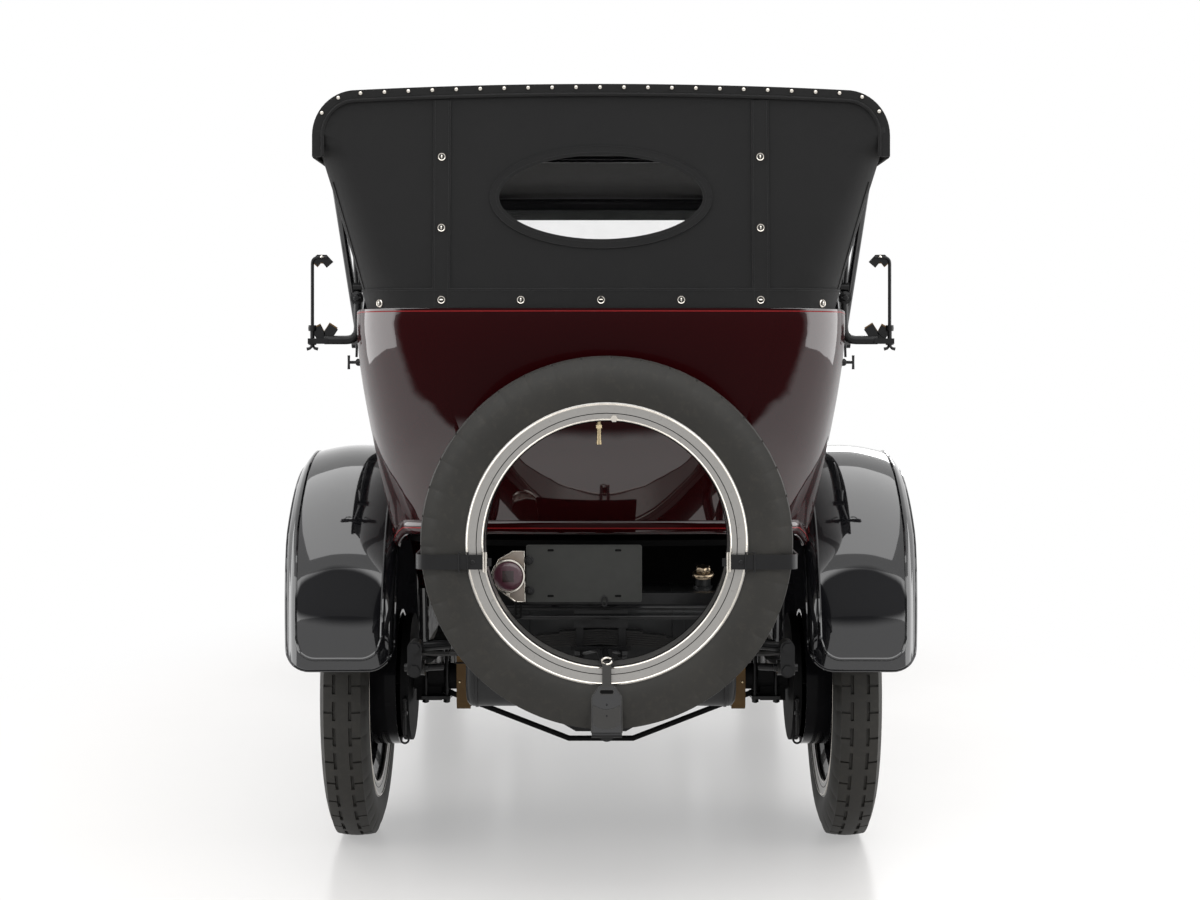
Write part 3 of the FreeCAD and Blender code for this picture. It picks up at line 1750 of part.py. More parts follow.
def board_brackets():
    shapes = []
    for y in board_bracket_y:
        outline = [
            (board_bracket_inner_x, rail_stations[6][2]),
            (board_bracket_inner_x, rail_stations[6][2] + rail_width),
            (board_x[0], board_z[0]), (board_x[1] - rail_width, board_z[0]),
            (board_x[1] - rail_width, board_z[0] - board_bracket_thick),
            (board_x[0], board_z[0] - board_bracket_thick),
        ]
        shapes.append(end_prism(outline, y, y + board_bracket_width))
    return shapes


# Lamps and plate
def headlamps():
    shapes = []
    bowl = placed(turned(headlamp_profile, "y"), headlamp_x, headlamp_y, headlamp_z)
    post_y = headlamp_y - headlamp_profile[2][0] / 2
    foot_z = rail_at(post_y - lamp_post_radius)[2] + seat_clearance
    post = rod(point(headlamp_x, post_y, foot_z), point(headlamp_x, post_y, headlamp_z), lamp_post_radius)
    lamps = pair(joined([bowl, post]))
    bar = rod(
        point(-headlamp_x, post_y, lamp_bar_z), point(headlamp_x, post_y, lamp_bar_z),
        lamp_post_radius,
    )
    return joined(lamps + [bar])


def tail_lamp():
    body = rod(
        point(tail_lamp_x, tail_lamp_y, tail_lamp_z),
        point(tail_lamp_x, tail_lamp_y + tail_lamp_depth, tail_lamp_z),
        tail_lamp_radius,
    )
    corners = []
    for number in range(tail_bracket_sides):
        angle = math.radians((number + 1 / 2) * full_turn / tail_bracket_sides)
        corners.append((
            tail_bracket_x + tail_bracket_half * math.cos(angle),
            tail_lamp_z + tail_bracket_half * math.sin(angle),
        ))
    back = plate_y - seat_clearance
    bracket = end_prism(corners, back - tail_bracket_thick, back)
    return joined([body, bracket])


def number_plate():
    plate = block(plate_x[0], plate_x[1], plate_y, plate_y + plate_thick, plate_z[0], plate_z[1])
    for x in (plate_x[0] + plate_bolt_inset_x, plate_x[1] - plate_bolt_inset_x):
        for z in (plate_z[0] + plate_bolt_inset_z, plate_z[1] - plate_bolt_inset_z):
            plate = plate.cut(rod(
                point(x, plate_y - plate_thick, z),
                point(x, plate_y + plate_thick + plate_thick, z), plate_bolt_radius,
            ))
    return plate


# Spare wheel
def spare(shape):
    facing = shape.copy()
    facing.rotate(origin, z_axis, quarter_turn)
    return placed(facing, spare_x, spare_y, spare_z)


def spare_rim():
    profile = [
        (rim_radius - rail_width + rail_plate, -felloe_half_width),
        (rim_radius - rail_width + rail_plate, felloe_half_width),
        (rim_radius, rim_half_width),
        (rim_radius, -rim_half_width),
    ]
    return turned(profile, "x")


def spare_carrier():
    half = carrier_bar_half
    bar_front = carrier_bar_y + half + half
    reach = tyre_radius + carrier_clamp_gap
    side_out = reach + carrier_clamp_thick
    face_y = spare_y - tyre_half_width - carrier_clamp_gap
    out_y = face_y - carrier_clamp_thick
    low_z = spare_z - side_out
    y0, y1 = rear_member_span()
    rear_top = rear_member_zs()[1]
    shapes = [block(
        spare_x - side_out, spare_x + side_out, carrier_bar_y, bar_front,
        carrier_clamp_z - half, carrier_clamp_z + half,
    )]
    for side in (-1, 1):
        shapes.append(bent_rod([
            point(side * carrier_arm_x, rear_member_y, rear_top + carrier_arm_radius + seat_clearance),
            point(side * carrier_arm_x, carrier_bar_y + half, rear_top + carrier_arm_radius + seat_clearance),
            point(side * carrier_arm_x, carrier_bar_y + half, carrier_clamp_z),
        ], carrier_arm_radius))
        near = spare_x + side * reach
        far = spare_x + side * side_out
        inner = spare_x + side * (side_out - carrier_clamp_in)
        z0 = carrier_clamp_z - carrier_clamp_half_z
        z1 = carrier_clamp_z + carrier_clamp_half_z
        shapes.append(block(min(near, far), max(near, far), out_y, bar_front, z0, z1))
        shapes.append(block(min(inner, far), max(inner, far), out_y, face_y, z0, z1))
    foot = carrier_foot_half_x
    shapes.append(block(
        spare_x - foot / 2, spare_x + foot / 2, carrier_bar_y, bar_front, low_z, carrier_clamp_z,
    ))
    shapes.append(block(
        spare_x - foot, spare_x + foot, out_y, bar_front, low_z, low_z + carrier_clamp_thick,
    ))
    shapes.append(block(spare_x - foot, spare_x + foot, out_y, face_y, low_z, carrier_foot_top_z))
    strap = carrier_strap_half_x
    shapes.append(block(spare_x - strap, spare_x + strap, out_y, face_y, carrier_foot_top_z, carrier_strap_top_z))
    return joined(shapes)


# Bonnet
def bonnet_wire(y, half, inset):
    wide = half - inset
    top = bonnet_top_z - inset
    mid_z = bonnet_shoulder_z + (top - bonnet_shoulder_z) * diagonal_share
    mid_x = wide * cowl_shoulder_share
    low = bonnet_low_z
    shoulder = bonnet_shoulder_z
    edges = [
        Part.makeLine(point(wide, y, low), point(wide, y, shoulder)),
        arch_edge(
            point(wide, y, shoulder), point(mid_x, y, mid_z), point(0, y, top),
            point(-mid_x, y, mid_z), point(-wide, y, shoulder),
        ),
        Part.makeLine(point(-wide, y, shoulder), point(-wide, y, low)),
        Part.makeLine(point(-wide, y, low), point(wide, y, low)),
    ]
    return Part.Wire(edges)


def bonnet_skin():
    y0, y1 = bonnet_y
    solids = []
    for inset in (0, bonnet_plate):
        rear = bonnet_wire(y0, bonnet_rear_half, inset)
        front = bonnet_wire(y1, bonnet_front_half, inset)
        solids.append(Part.makeLoft([rear, front], True, True))
    return solids[0].cut(solids[1])


def centre_hinge(radius, over):
    z = bonnet_top_z - bonnet_plate / 2
    return rod(point(0, bonnet_y[0] - over, z), point(0, bonnet_y[1] + over, z), radius)


def shoulder_hinge(radius, over):
    rear = point(bonnet_rear_half - bonnet_plate / 2, bonnet_y[0], bonnet_shoulder_z)
    front = point(bonnet_front_half - bonnet_plate / 2, bonnet_y[1], bonnet_shoulder_z)
    run = (front - rear) * (over / (bonnet_y[1] - bonnet_y[0]))
    return rod(rear - run, front + run, radius)


def bonnet_top(skin):
    y0, y1 = bonnet_y
    keep = block(0, door_outer_reach, y0, y1, bonnet_shoulder_z, bonnet_top_z + bonnet_plate)
    upper = skin.common(keep).cut(centre_hinge(bonnet_hinge_radius + pin_clearance, panel_gap))
    return upper.fuse(shoulder_hinge(bonnet_hinge_radius - bearing_clearance, 0))


def bonnet_side(skin):
    # The hinge tapers with the bonnet, so the folded panel swings back a little: its rear edge
    # leans to match.
    y0, y1 = bonnet_y
    high = bonnet_shoulder_z - bonnet_hinge_radius / 2
    outline = [(y0, high), (y0 + bonnet_side_lean, bonnet_low_z), (y1, bonnet_low_z), (y1, high)]
    keep = side_prism(outline, 0, door_outer_reach)
    return skin.common(keep).cut(shoulder_hinge(bonnet_hinge_radius + pin_clearance, panel_gap))


def bonnet_rod():
    rear_gap = bonnet_y[0] - cowl_sections[-1][0] - seat_clearance
    front_gap = radiator_y[0] - bonnet_y[1] - seat_clearance
    z = bonnet_top_z - bonnet_plate / 2
    return rod(
        point(0, bonnet_y[0] - rear_gap, z), point(0, bonnet_y[1] + front_gap, z),
        bonnet_hinge_radius,
    )


def build():
    os.makedirs("parts", exist_ok=True)
    corners = {
        "front_left": (-track_half, wheelbase, 1),
        "front_right": (track_half, wheelbase, 0),
        "rear_left": (-track_half, 0, 1),
        "rear_right": (track_half, 0, 0),
    }
    tyre = tyre_ring()
    plain_wheel = wheel()
    braked_wheel = joined([wheel(), brake_drum()])
    for name, (x, y, flip) in corners.items():
        chosen = plain_wheel if y > 0 else braked_wheel
        if flip:
            chosen = mirrored(chosen)
        saved("wheel_" + name, [placed(chosen, x, y, hub_height)])
        saved("tyre_" + name, [placed(tyre, x, y, hub_height)])
    saved("rear_axle", [rear_axle()])
    saved("frame_rails", pair(frame_rail()))
    members = [rear_cross_member(), front_member()] + middle_members() + engine_arms()
    brackets = []
    for bracket in board_brackets():
        brackets += pair(bracket)
    saved("frame_cross_members", members + body_outriggers() + brackets)
    saved("rear_side_springs", rear_side_springs())
    saved("front_springs", front_springs())
    saved("rear_cross_spring", [rear_cross_spring()])
    saved("rebound_straps", pair(rebound_strap()))
    saved("front_axle", [front_axle()])
    right_knuckle = knuckle()
    saved("knuckle_right", [right_knuckle])
    saved("knuckle_left", [mirrored(right_knuckle)])
    saved("tie_rod", [tie_rod()])
    saved("steering_wheel", [steering_wheel()])
    saved("driver_controls", driver_controls())
    saved("engine_block", [engine_block()])
    saved("drive_line", [drive_line()])
    saved("exhaust", [exhaust()])
    saved("fuel_tank", [fuel_tank()])
    saved("radiator_surround", [radiator_surround()])
    saved("radiator_core", [radiator_core()])
    walls = body_walls()
    for name, span in (("front", front_door_y), ("rear", rear_door_y)):
        panel = door(walls, span)
        saved("door_" + name + "_right", [panel])
        saved("door_" + name + "_left", [mirrored(panel)])
    for span in (front_door_y, rear_door_y):
        opening = door_box(span, 0)
        walls = walls.cut(opening).cut(mirrored(opening))
    hinges = []
    for span in (front_door_y, rear_door_y):
        for piece in pillar_hinge(span):
            hinges += pair(piece)
    saved("body_tub", [walls.multiFuse([cowl(), dash_panel()] + hinges).cut(column_hole())])
    saved("floor_boards", [floor_boards()])
    saved("front_seat", [front_seat()])
    saved("rear_seat", [rear_seat()])
    saved("windshield_frame", [windshield_frame()])
    saved("windshield_glass", windshield_glass())
    saved("top_cover", [top_cover()])
    saved("rear_curtain", [rear_curtain()])
    saved("rear_window", [rear_window()])
    saved("top_bows", [top_bows(), header()])
    saved("top_rests", pair(top_rest()))
    back_fender = rear_fender()
    saved("fender_rear_right", [back_fender])
    saved("fender_rear_left", [mirrored(back_fender)])
    forward_fender = front_fender()
    saved("fender_front_right", [forward_fender])
    saved("fender_front_left", [mirrored(forward_fender)])
    boards = pair(running_board())
    saved("running_boards", boards)
    saved("headlamps", [headlamps()])
    saved("tail_lamp", [tail_lamp()])
    saved("number_plate", [number_plate()])
    saved("spare_tyre", [spare(tyre)])
    saved("spare_rim", [spare(spare_rim())])
    saved("spare_carrier", [spare_carrier()])
    skin = bonnet_skin()
    saved("bonnet_rod", [bonnet_rod()])
    for name, panel in (("bonnet_top", bonnet_top(skin)), ("bonnet_side", bonnet_side(skin))):
        saved(name + "_right", [panel])
        saved(name + "_left", [mirrored(panel)])


build()
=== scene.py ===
"""Looks of a 1920s open touring car with its top raised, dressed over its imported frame."""

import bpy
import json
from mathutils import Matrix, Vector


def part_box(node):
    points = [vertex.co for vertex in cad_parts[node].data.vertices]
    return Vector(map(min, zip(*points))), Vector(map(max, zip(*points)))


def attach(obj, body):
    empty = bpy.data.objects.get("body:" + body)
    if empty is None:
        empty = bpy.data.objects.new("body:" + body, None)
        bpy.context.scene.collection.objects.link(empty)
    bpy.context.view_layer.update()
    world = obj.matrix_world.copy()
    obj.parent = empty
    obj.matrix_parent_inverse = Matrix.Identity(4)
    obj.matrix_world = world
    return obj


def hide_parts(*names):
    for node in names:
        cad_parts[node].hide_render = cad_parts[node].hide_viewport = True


bl_info = {
    "name": "Touring car looks",
    "version": (1, 0, 0),
    "blender": (4, 5, 0),
    "location": "3D View > Sidebar > Touring car",
    "description": "Finishes, tyres, cloth and trim of an open touring car",
    "category": "Add Mesh",
}

import json
from math import cos, exp, hypot, pi, radians, sin, sqrt

import bmesh
import bpy
from mathutils import Vector

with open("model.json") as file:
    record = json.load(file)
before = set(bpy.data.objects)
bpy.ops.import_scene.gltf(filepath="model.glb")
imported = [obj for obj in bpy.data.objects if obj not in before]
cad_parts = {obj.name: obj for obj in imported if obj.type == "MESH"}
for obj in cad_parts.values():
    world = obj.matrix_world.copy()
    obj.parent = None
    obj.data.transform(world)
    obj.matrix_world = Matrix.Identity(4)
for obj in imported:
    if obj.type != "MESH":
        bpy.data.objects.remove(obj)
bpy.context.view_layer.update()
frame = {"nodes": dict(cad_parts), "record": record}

TURN = 2 * pi
SIDES = ((-1, "left"), (1, "right"))


def middle(node):
    low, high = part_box(node)
    return (low + high) / 2


REAR_AXLE_Y = middle("wheel_rear_left").y
FRONT_AXLE_Y = middle("wheel_front_left").y


def place(x, y, z):
    """A point given from the rear axle, as the part's drawing gives it."""
    return Vector((x, REAR_AXLE_Y + y, z))


LAMP = place(-0.236, -0.8232, 0.848)
BLACK = "chassis_black"
UP = Vector((0, 0, 1))
BACK = Vector((0, -1, 0))
AHEAD = Vector((0, 1, 0))
ACROSS = Vector((1, 0, 0))


def mm(*numbers):
    """Pairs of numbers given in millimetres, as pairs in metres."""
    return [(a / 1000, b / 1000) for a, b in zip(numbers[::2], numbers[1::2])]


def spread(start, end, count):
    """Evenly spaced values from start to end, with count steps between them."""
    return [start + (end - start) * k / count for k in range(count + 1)]


def angles(count):
    """Angles of a full turn in count steps, without the last."""
    return [TURN * k / count for k in range(count)]


# Sizes and colours that a user may change


def length(name, default, description):
    return bpy.props.FloatProperty(
        name=name, default=default, description=description, unit="LENGTH", min=0, precision=4
    )


def colour(name, default, description):
    return bpy.props.FloatVectorProperty(
        name=name, default=default, description=description, subtype="COLOR", size=3, min=0, max=1
    )


class CarPaints(bpy.types.PropertyGroup):
    body: colour("Body", (0.0165, 0.0008, 0.0013), "Maroon coach paint")
    pinstripe: colour("Pinstripe", (0.19, 0.012, 0.013), "Thin line along the panels")
    black: colour("Black enamel", (0.0055, 0.0055, 0.0065), "Fenders and wheels")
    chassis: colour("Chassis black", (0.0062, 0.0062, 0.0066), "Frame, axles and irons")
    silver: colour("Rim silver", (0.33, 0.32, 0.305), "Painted rims")
    rubber: colour("Rubber", (0.0205, 0.0195, 0.0170), "Tyres")
    cloth: colour("Top cloth", (0.0108, 0.0108, 0.0108), "Rubbered cotton of the top")
    lining: colour("Top lining", (0.0075, 0.0075, 0.0075), "Inside of the top")
    leather: colour("Leather", (0.016, 0.013, 0.012), "Cushions, squabs and door cards")
    strap: colour("Strap leather", (0.115, 0.066, 0.023), "Rebound straps")
    nickel: colour("Nickel", (0.66, 0.62, 0.56), "Bright trim")
    brass: colour("Brass", (0.40, 0.32, 0.20), "Valves and fittings")
    copper: colour("Copper", (0.34, 0.27, 0.19), "Filler cap")
    lens: colour("Tail lens", (0.070, 0.022, 0.034), "Red glass of the tail lamp")
    glass: colour("Glass", (0.55, 0.58, 0.57), "Window and windshield")
    wood: colour("Wood", (0.21, 0.10, 0.045), "Steering wheel rim")
    steel: colour("Spring steel", (0.017, 0.0165, 0.016), "Leaf springs")
    engine: colour("Engine grey", (0.13, 0.135, 0.13), "Engine and gearbox")
    tank: colour("Tank grey", (0.017, 0.0175, 0.018), "Fuel tank")
    plate: colour("Plate grey", (0.052, 0.053, 0.050), "Bare number plate")
    dial: colour("Dial", (0.62, 0.60, 0.52), "Faces of the gauges")
    floor: colour("Floor", (0.80, 0.775, 0.745), "Studio floor")


class CarSizes(bpy.types.PropertyGroup):
    tread_pitch: length("Tread pitch", 0.075, "Run of one tread block and its groove")
    tread_rib: length("Tread rib", 0.036, "Width of the unbroken rib in the middle")
    tread_slit: length("Tread slit", 0.008, "Width of the dashes beside the rib")
    tread_depth: length("Tread depth", 0.007, "Depth of the grooves")
    stripe: length("Stripe", 0.003, "Width of a pinstripe")
    band: length("Sewn band", 0.045, "Width of the bands on the curtain")
    hem: length("Hem", 0.052, "Height of the curtain's hem")
    stitch: length("Stitch", 0.006, "Pitch of a row of stitches")
    nail_pitch: length("Nail pitch", 0.062, "Pitch of the binding's nails")
    fastener: length("Fastener", 0.022, "Width of a turn fastener")
    bead: length("Fender bead", 0.010, "Width of the bead along a fender")
    rib_pitch: length("Mat rib", 0.022, "Pitch of the ribs on the running boards")
    pleat: length("Pleat", 0.085, "Width of a seat pleat")


def paints():
    return bpy.context.scene.car_paints


def sizes():
    return bpy.context.scene.car_sizes


# Shader maths


class Wire:
    """One socket of a shader tree. Expressions on it add the nodes they need."""

    def __init__(self, finish, socket):
        self.finish = finish
        self.socket = socket

    def join(self, operation, first, second=0.0):
        if self.socket.type == "VECTOR":
            return self.finish.node("VectorMath", {"operation": operation}, {0: first, 1: second})
        return self.finish.node("Math", {"operation": operation}, {0: first, 1: second})

    def __add__(self, other):
        return self.join("ADD", self, other)

    def __sub__(self, other):
        return self.join("SUBTRACT", self, other)

    def __rsub__(self, other):
        return self.join("SUBTRACT", other, self)

    def __mul__(self, other):
        return self.join("MULTIPLY", self, other)

    def __lt__(self, other):
        return self.join("LESS_THAN", self, other)

    def __abs__(self):
        return self.join("ABSOLUTE", self)

    def sine(self):
        return self.join("SINE", self)

    def most(self, other):
        return self.join("MAXIMUM", self, other)


class Finish:
    """A material that is being built round one Principled shader."""

    def __init__(self, name):
        self.material = bpy.data.materials.new(name)
        self.material.use_nodes = True
        self.tree = self.material.node_tree
        self.tree.nodes.clear()
        self.shader = self.tree.nodes.new("ShaderNodeBsdfPrincipled")
        self.output = self.tree.nodes.new("ShaderNodeOutputMaterial")
        self.tree.links.new(self.shader.outputs[0], self.output.inputs["Surface"])
        self.bumps = None

    def feed(self, socket, value):
        if isinstance(value, Wire):
            self.tree.links.new(value.socket, socket)
        elif isinstance(value, (int, float)) or socket.type in ("VECTOR", "SHADER"):
            socket.default_value = value
        else:
            socket.default_value = (*value[:3], 1.0)

    def node(self, kind, settings=None, inputs=None, output=0):
        """Any node: its settings first, then its sockets."""
        made = self.tree.nodes.new("ShaderNode" + kind)
        for name, value in (settings or {}).items():
            setattr(made, name, value)
        for name, value in (inputs or {}).items():
            self.feed(made.inputs[name], value)
        return Wire(self, made.outputs[output])

    def where(self, scale=(1, 1, 1)):
        """The place on the object in metres, stretched by a scale."""
        spot = self.node("TexCoord", output=3)
        return spot if scale == (1, 1, 1) else spot * scale

    def letter(self, vector, letter):
        return self.node("SeparateXYZ", inputs={0: vector}, output="XYZ".index(letter))

    def axis(self, letter):
        return self.letter(self.where(), letter)

    def facing(self, letter):
        return self.letter(self.node("NewGeometry", output=1), letter)

    def noise(self, scale, detail=3.0, stretch=(1, 1, 1), roughness=0.5):
        inputs = {"Vector": self.where(stretch), "Scale": scale, "Detail": detail, "Roughness": roughness}
        return self.node("TexNoise", inputs=inputs)

    def cells(self, scale, stretch=(1, 1, 1)):
        """How far a spot is from the nearest wall between cells."""
        inputs = {"Vector": self.where(stretch), "Scale": scale}
        return self.node("TexVoronoi", {"feature": "DISTANCE_TO_EDGE"}, inputs)

    def band(self, value, low, high):
        """0 below low, 1 above high, smooth between."""
        settings = {"interpolation_type": "SMOOTHSTEP"}
        return self.node("MapRange", settings, {"Value": value, "From Min": low, "From Max": high})

    def mix(self, factor, first, second):
        return self.node("Mix", {"data_type": "RGBA"}, {"Factor": factor, 6: first, 7: second}, 2)

    def bump(self, height, depth, strength=1.0):
        inputs = {"Height": height, "Distance": depth, "Strength": strength}
        if self.bumps:
            inputs["Normal"] = self.bumps
        self.bumps = self.node("Bump", inputs=inputs)

    def set(self, **values):
        """Sockets of the shader, named with underscores for spaces."""
        for name, value in values.items():
            self.feed(self.shader.inputs[name.replace("_", " ")], value)
        if self.bumps:
            self.feed(self.shader.inputs["Normal"], self.bumps)
        return self.material


def shade(tone, factor):
    return tuple(min(1.0, channel * factor) for channel in tone)


# Finishes


def coach_paint(name, tone, roughness=0.22, coat_ior=1.30, calm=0.30, width=0.16, least=0.13, under=-2.0):
    made = Finish(name)
    drift = made.noise(2.2, 2.0)
    base = made.mix(drift, shade(tone, 0.85), shade(tone, 1.2))
    dust = made.band(made.facing("Z"), 0.55, 1.0) * made.band(made.noise(34.0, 5.0), 0.45, 0.75) * 0.035
    made.bump(made.noise(300.0, 1.0), 0.0002, 0.05)
    # Painted reflection: the coat's strength follows the way each face points. It is thin on faces towards
    # the back, weaker on faces straight to the side, and full on faces turned away from the back and on faces
    # that point lower than under.
    turned = made.band(1.0 - abs(made.facing("Y")), calm, calm + width)
    painted_sheen_by_facing = turned.most(1.0 - made.band(made.facing("Z"), under - 0.02, under + 0.02))
    painted_sheen_by_facing = painted_sheen_by_facing * (1.0 - made.band(abs(made.facing("X")), 0.88, 0.97) * 0.6)
    return made.set(
        Base_Color=made.mix(dust, base, (0.30, 0.28, 0.25)),
        Roughness=made.noise(9.0, 3.0) * 0.1 + (roughness - 0.05),
        Specular_IOR_Level=0.03,
        Coat_Weight=painted_sheen_by_facing * (1 - least) + least,
        Coat_Roughness=0.035,
        Coat_IOR=coat_ior,
    )


def chassis_paint(name, tone, roughness=0.38):
    made = Finish(name)
    grime = made.band(made.noise(26.0, 5.0), 0.5, 0.72)
    top = made.band(made.facing("Z"), 0.3, 0.95)
    base = made.mix(grime * (top * 0.06 + 0.015), tone, (0.10, 0.09, 0.075))
    made.bump(made.noise(160.0, 2.0), 0.0006, 0.2)
    return made.set(
        Base_Color=base,
        Roughness=grime * 0.15 + roughness,
        Specular_IOR_Level=0.15,
        Coat_Weight=0.5 - grime * 0.25,
        Coat_Roughness=0.16,
        Coat_IOR=1.28,
    )


def matt_paint(name, tone):
    made = Finish(name)
    dust = made.noise(40.0, 4.0)
    made.bump(dust, 0.0004, 0.15)
    return made.set(
        Base_Color=made.mix(dust, shade(tone, 0.9), shade(tone, 1.12)), Roughness=dust * 0.1 + 0.6,
        Specular_IOR_Level=0.1,
    )


def bright_metal(name, tone, roughness=0.14):
    made = Finish(name)
    stain = made.noise(60.0, 4.0)
    made.bump(made.noise(420.0, 2.0), 0.0002, 0.12)
    base = made.mix(stain, shade(tone, 0.8), shade(tone, 1.1))
    return made.set(Base_Color=base, Metallic=1.0, Roughness=stain * 0.14 + (roughness - 0.05))


def rim_paint(name, tone):
    made = Finish(name)
    grain = made.noise(900.0, 1.0)
    scuff = made.band(made.noise(70.0, 6.0, (1, 1, 1), 0.7), 0.58, 0.66)
    base = made.mix(grain, shade(tone, 0.85), shade(tone, 1.15))
    made.bump(made.noise(46.0, 4.0) + grain * 0.1, 0.0006, 0.35)
    base = made.mix(scuff * 0.35, base, (0.18, 0.17, 0.16))
    return made.set(Base_Color=base, Metallic=0.8, Roughness=scuff * 0.2 + 0.3)


def rubber(name, tone):
    made = Finish(name)
    bloom = made.band(made.noise(7.0, 4.0), 0.35, 0.75)
    dirt = made.band(made.noise(60.0, 5.0, (1, 1, 1), 0.65), 0.5, 0.7)
    base = made.mix(bloom, shade(tone, 0.85), shade(tone, 1.15))
    made.bump(made.noise(500.0, 3.0), 0.0004, 0.2)
    return made.set(
        Base_Color=made.mix(dirt * 0.08, base, (0.10, 0.085, 0.065)),
        Roughness=bloom * 0.08 + 0.56,
        Specular_IOR_Level=0.3,
    )


def woven(name, tone, pitch=0.0016, sheen=0.08):
    made = Finish(name)
    across = (made.axis("X") * (TURN / pitch)).sine()
    along = ((made.axis("Z") + made.axis("Y")) * (TURN / pitch)).sine()
    fibre = made.noise(240.0, 4.0)
    fade = made.noise(3.2, 4.0)
    base = made.mix(fade * 0.7 + fibre * 0.3, shade(tone, 0.72), shade(tone, 1.45))
    made.bump(across * along, 0.0004, 0.5)
    made.bump(made.noise(9.0, 3.0), 0.006, 0.18)
    return made.set(
        Base_Color=base, Roughness=fade * 0.1 + 0.74, Sheen_Weight=sheen, Specular_IOR_Level=0.15
    )


def hide(name, tone, roughness=0.42):
    made = Finish(name)
    grain = made.cells(420.0)
    crease = made.noise(22.0, 5.0)
    worn = made.band(made.noise(8.0, 3.0), 0.5, 0.72)
    base = made.mix(worn * 0.5, tone, shade(tone, 1.9))
    made.bump(grain, 0.0006, 0.35)
    made.bump(crease, 0.003, 0.2)
    return made.set(Base_Color=base, Roughness=crease * 0.16 + roughness, Specular_IOR_Level=0.28)


def clear_glass(name, tone, cover, gloss=0.5):
    made = Finish(name)
    smear = made.noise(18.0, 4.0)
    return made.set(
        Base_Color=tone,
        Roughness=smear * 0.04,
        Alpha=smear * 0.05 + cover,
        Specular_IOR_Level=gloss,
    )


def red_glass(name, tone):
    """Ribbed glass with a darker square in its middle."""
    made = Finish(name)
    made.bump((made.axis("X") * 2400.0).sine(), 0.0003, 0.3)
    window = (abs(made.axis("X") - LAMP[0]) < 0.0145) * (abs(made.axis("Z") - LAMP[2]) < 0.0145)
    base = made.mix(window, tone, (0.016, 0.002, 0.003))
    return made.set(Base_Color=base, Roughness=0.12, Coat_Weight=0.35)


def grained_wood(name, tone):
    made = Finish(name)
    grain = made.noise(30.0, 5.0, (1, 6, 1))
    made.bump(grain, 0.0008, 0.3)
    return made.set(
        Base_Color=made.mix(grain, shade(tone, 0.55), shade(tone, 1.3)), Roughness=0.3, Coat_Weight=0.7
    )


def honeycomb(name, tone):
    made = Finish(name)
    edge = made.cells(120.0, (1, 0.001, 1))
    wall = 1.0 - made.band(edge, 0.05, 0.16)
    made.bump(wall, 0.006, 0.9)
    return made.set(
        # Painted shade: the middle of each cell is near black for the shade down the core's holes, and only
        # the walls take the brass tone.
        Base_Color=made.mix(wall, (0.003, 0.003, 0.003), tone), Metallic=wall * 0.8, Roughness=0.42
    )


def ribbed_mat(name, tone):
    made = Finish(name)
    wave = ((made.axis("X") * (TURN / sizes().rib_pitch)).sine() + 1.0) * 0.5
    dirt = made.band(made.noise(30.0, 5.0), 0.45, 0.7)
    top = made.band(made.facing("Z"), 0.6, 0.9)
    made.bump(wave * top, 0.003, 0.8)
    return made.set(
        Base_Color=made.mix(dirt * 0.3, tone, (0.06, 0.055, 0.048)), Roughness=dirt * 0.2 + 0.55
    )


FINISHES = {
    # the look, its maker, the material's name, a paint or a colour, and what differs from the maker's own
    "tyre": (rubber, "rubber", "rubber"),
    "wheel_black": (coach_paint, "wheel_enamel", "black", 0.26),
    "rim_silver": (rim_paint, "rim_paint", "silver"),
    "chassis_black": (chassis_paint, "chassis_paint", "chassis"),
    "spring_steel": (chassis_paint, "oiled_steel", "steel", 0.42),
    "axle_black": (chassis_paint, "axle_paint", "chassis", 0.32),
    "body_maroon": (coach_paint, "body_paint", "body", 0.22, 1.66, 0.06, 0.06, 0.03, -0.24),
    "fender_black": (coach_paint, "fender_enamel", "black", 0.16, 1.68, 0.125, 0.015, 0.04, 0.30),
    "top_cloth": (woven, "top_cloth", "cloth"),
    "leather_black": (hide, "seat_leather", "leather"),
    "leather_brown": (hide, "strap_leather", "strap", 0.55),
    "glass": (clear_glass, "clear_glass", "glass", 0.03),
    "nickel": (bright_metal, "nickel_plate", "nickel"),
    "brass": (bright_metal, "brass", "brass", 0.22),
    "copper": (bright_metal, "copper", "copper", 0.3),
    "wood": (grained_wood, "grained_wood", "wood"),
    "plate_grey": (matt_paint, "plate_paint", "plate"),
    "engine_grey": (chassis_paint, "engine_paint", "engine", 0.5),
    "tank_grey": (chassis_paint, "tank_paint", "tank", 0.4),
    "core_brass": (honeycomb, "honeycomb", (0.22, 0.16, 0.085)),
    "board_black": (ribbed_mat, "ribbed_mat", (0.012, 0.012, 0.012)),
    "stitch": (woven, "stitch_thread", (0.03, 0.03, 0.03)),
    "rear_glass": (clear_glass, "rear_glass", (0.01, 0.01, 0.01), 0.01, 0.02),
    "lining": (woven, "top_lining", "lining", 0.002, 0.1),
    "red_glass": (red_glass, "red_glass", "lens"),
    "pinstripe": (coach_paint, "pinstripe_paint", "pinstripe", 0.3),
    "dial": (coach_paint, "dial_face", "dial", 0.4),
    "aged_nickel": (bright_metal, "aged_nickel", (0.27, 0.235, 0.205), 0.3),
    # Near-black matt, for real black parts such as the lamp's lead, the gauges' marks and needles and the
    # pedal pads, and for painted shade in the rims' grooves, the slots and the louvres' mouths.
    "dark": (matt_paint, "dark_recess", (0.0012, 0.0012, 0.0012)),
    "axle_matt": (matt_paint, "axle_paint", "chassis"),
    "lamp_glass": (clear_glass, "lamp_glass", "glass", 0.25),
    "clamp_grey": (chassis_paint, "clamp_paint", (0.045, 0.044, 0.042), 0.4),
}
made_finishes = {}


def finish(look):
    if look not in made_finishes:
        maker, name, tone, *extra = FINISHES[look]
        tone = getattr(paints(), tone) if isinstance(tone, str) else tone
        made_finishes[look] = maker(name, tone, *extra)
    return made_finishes[look]


# The stage

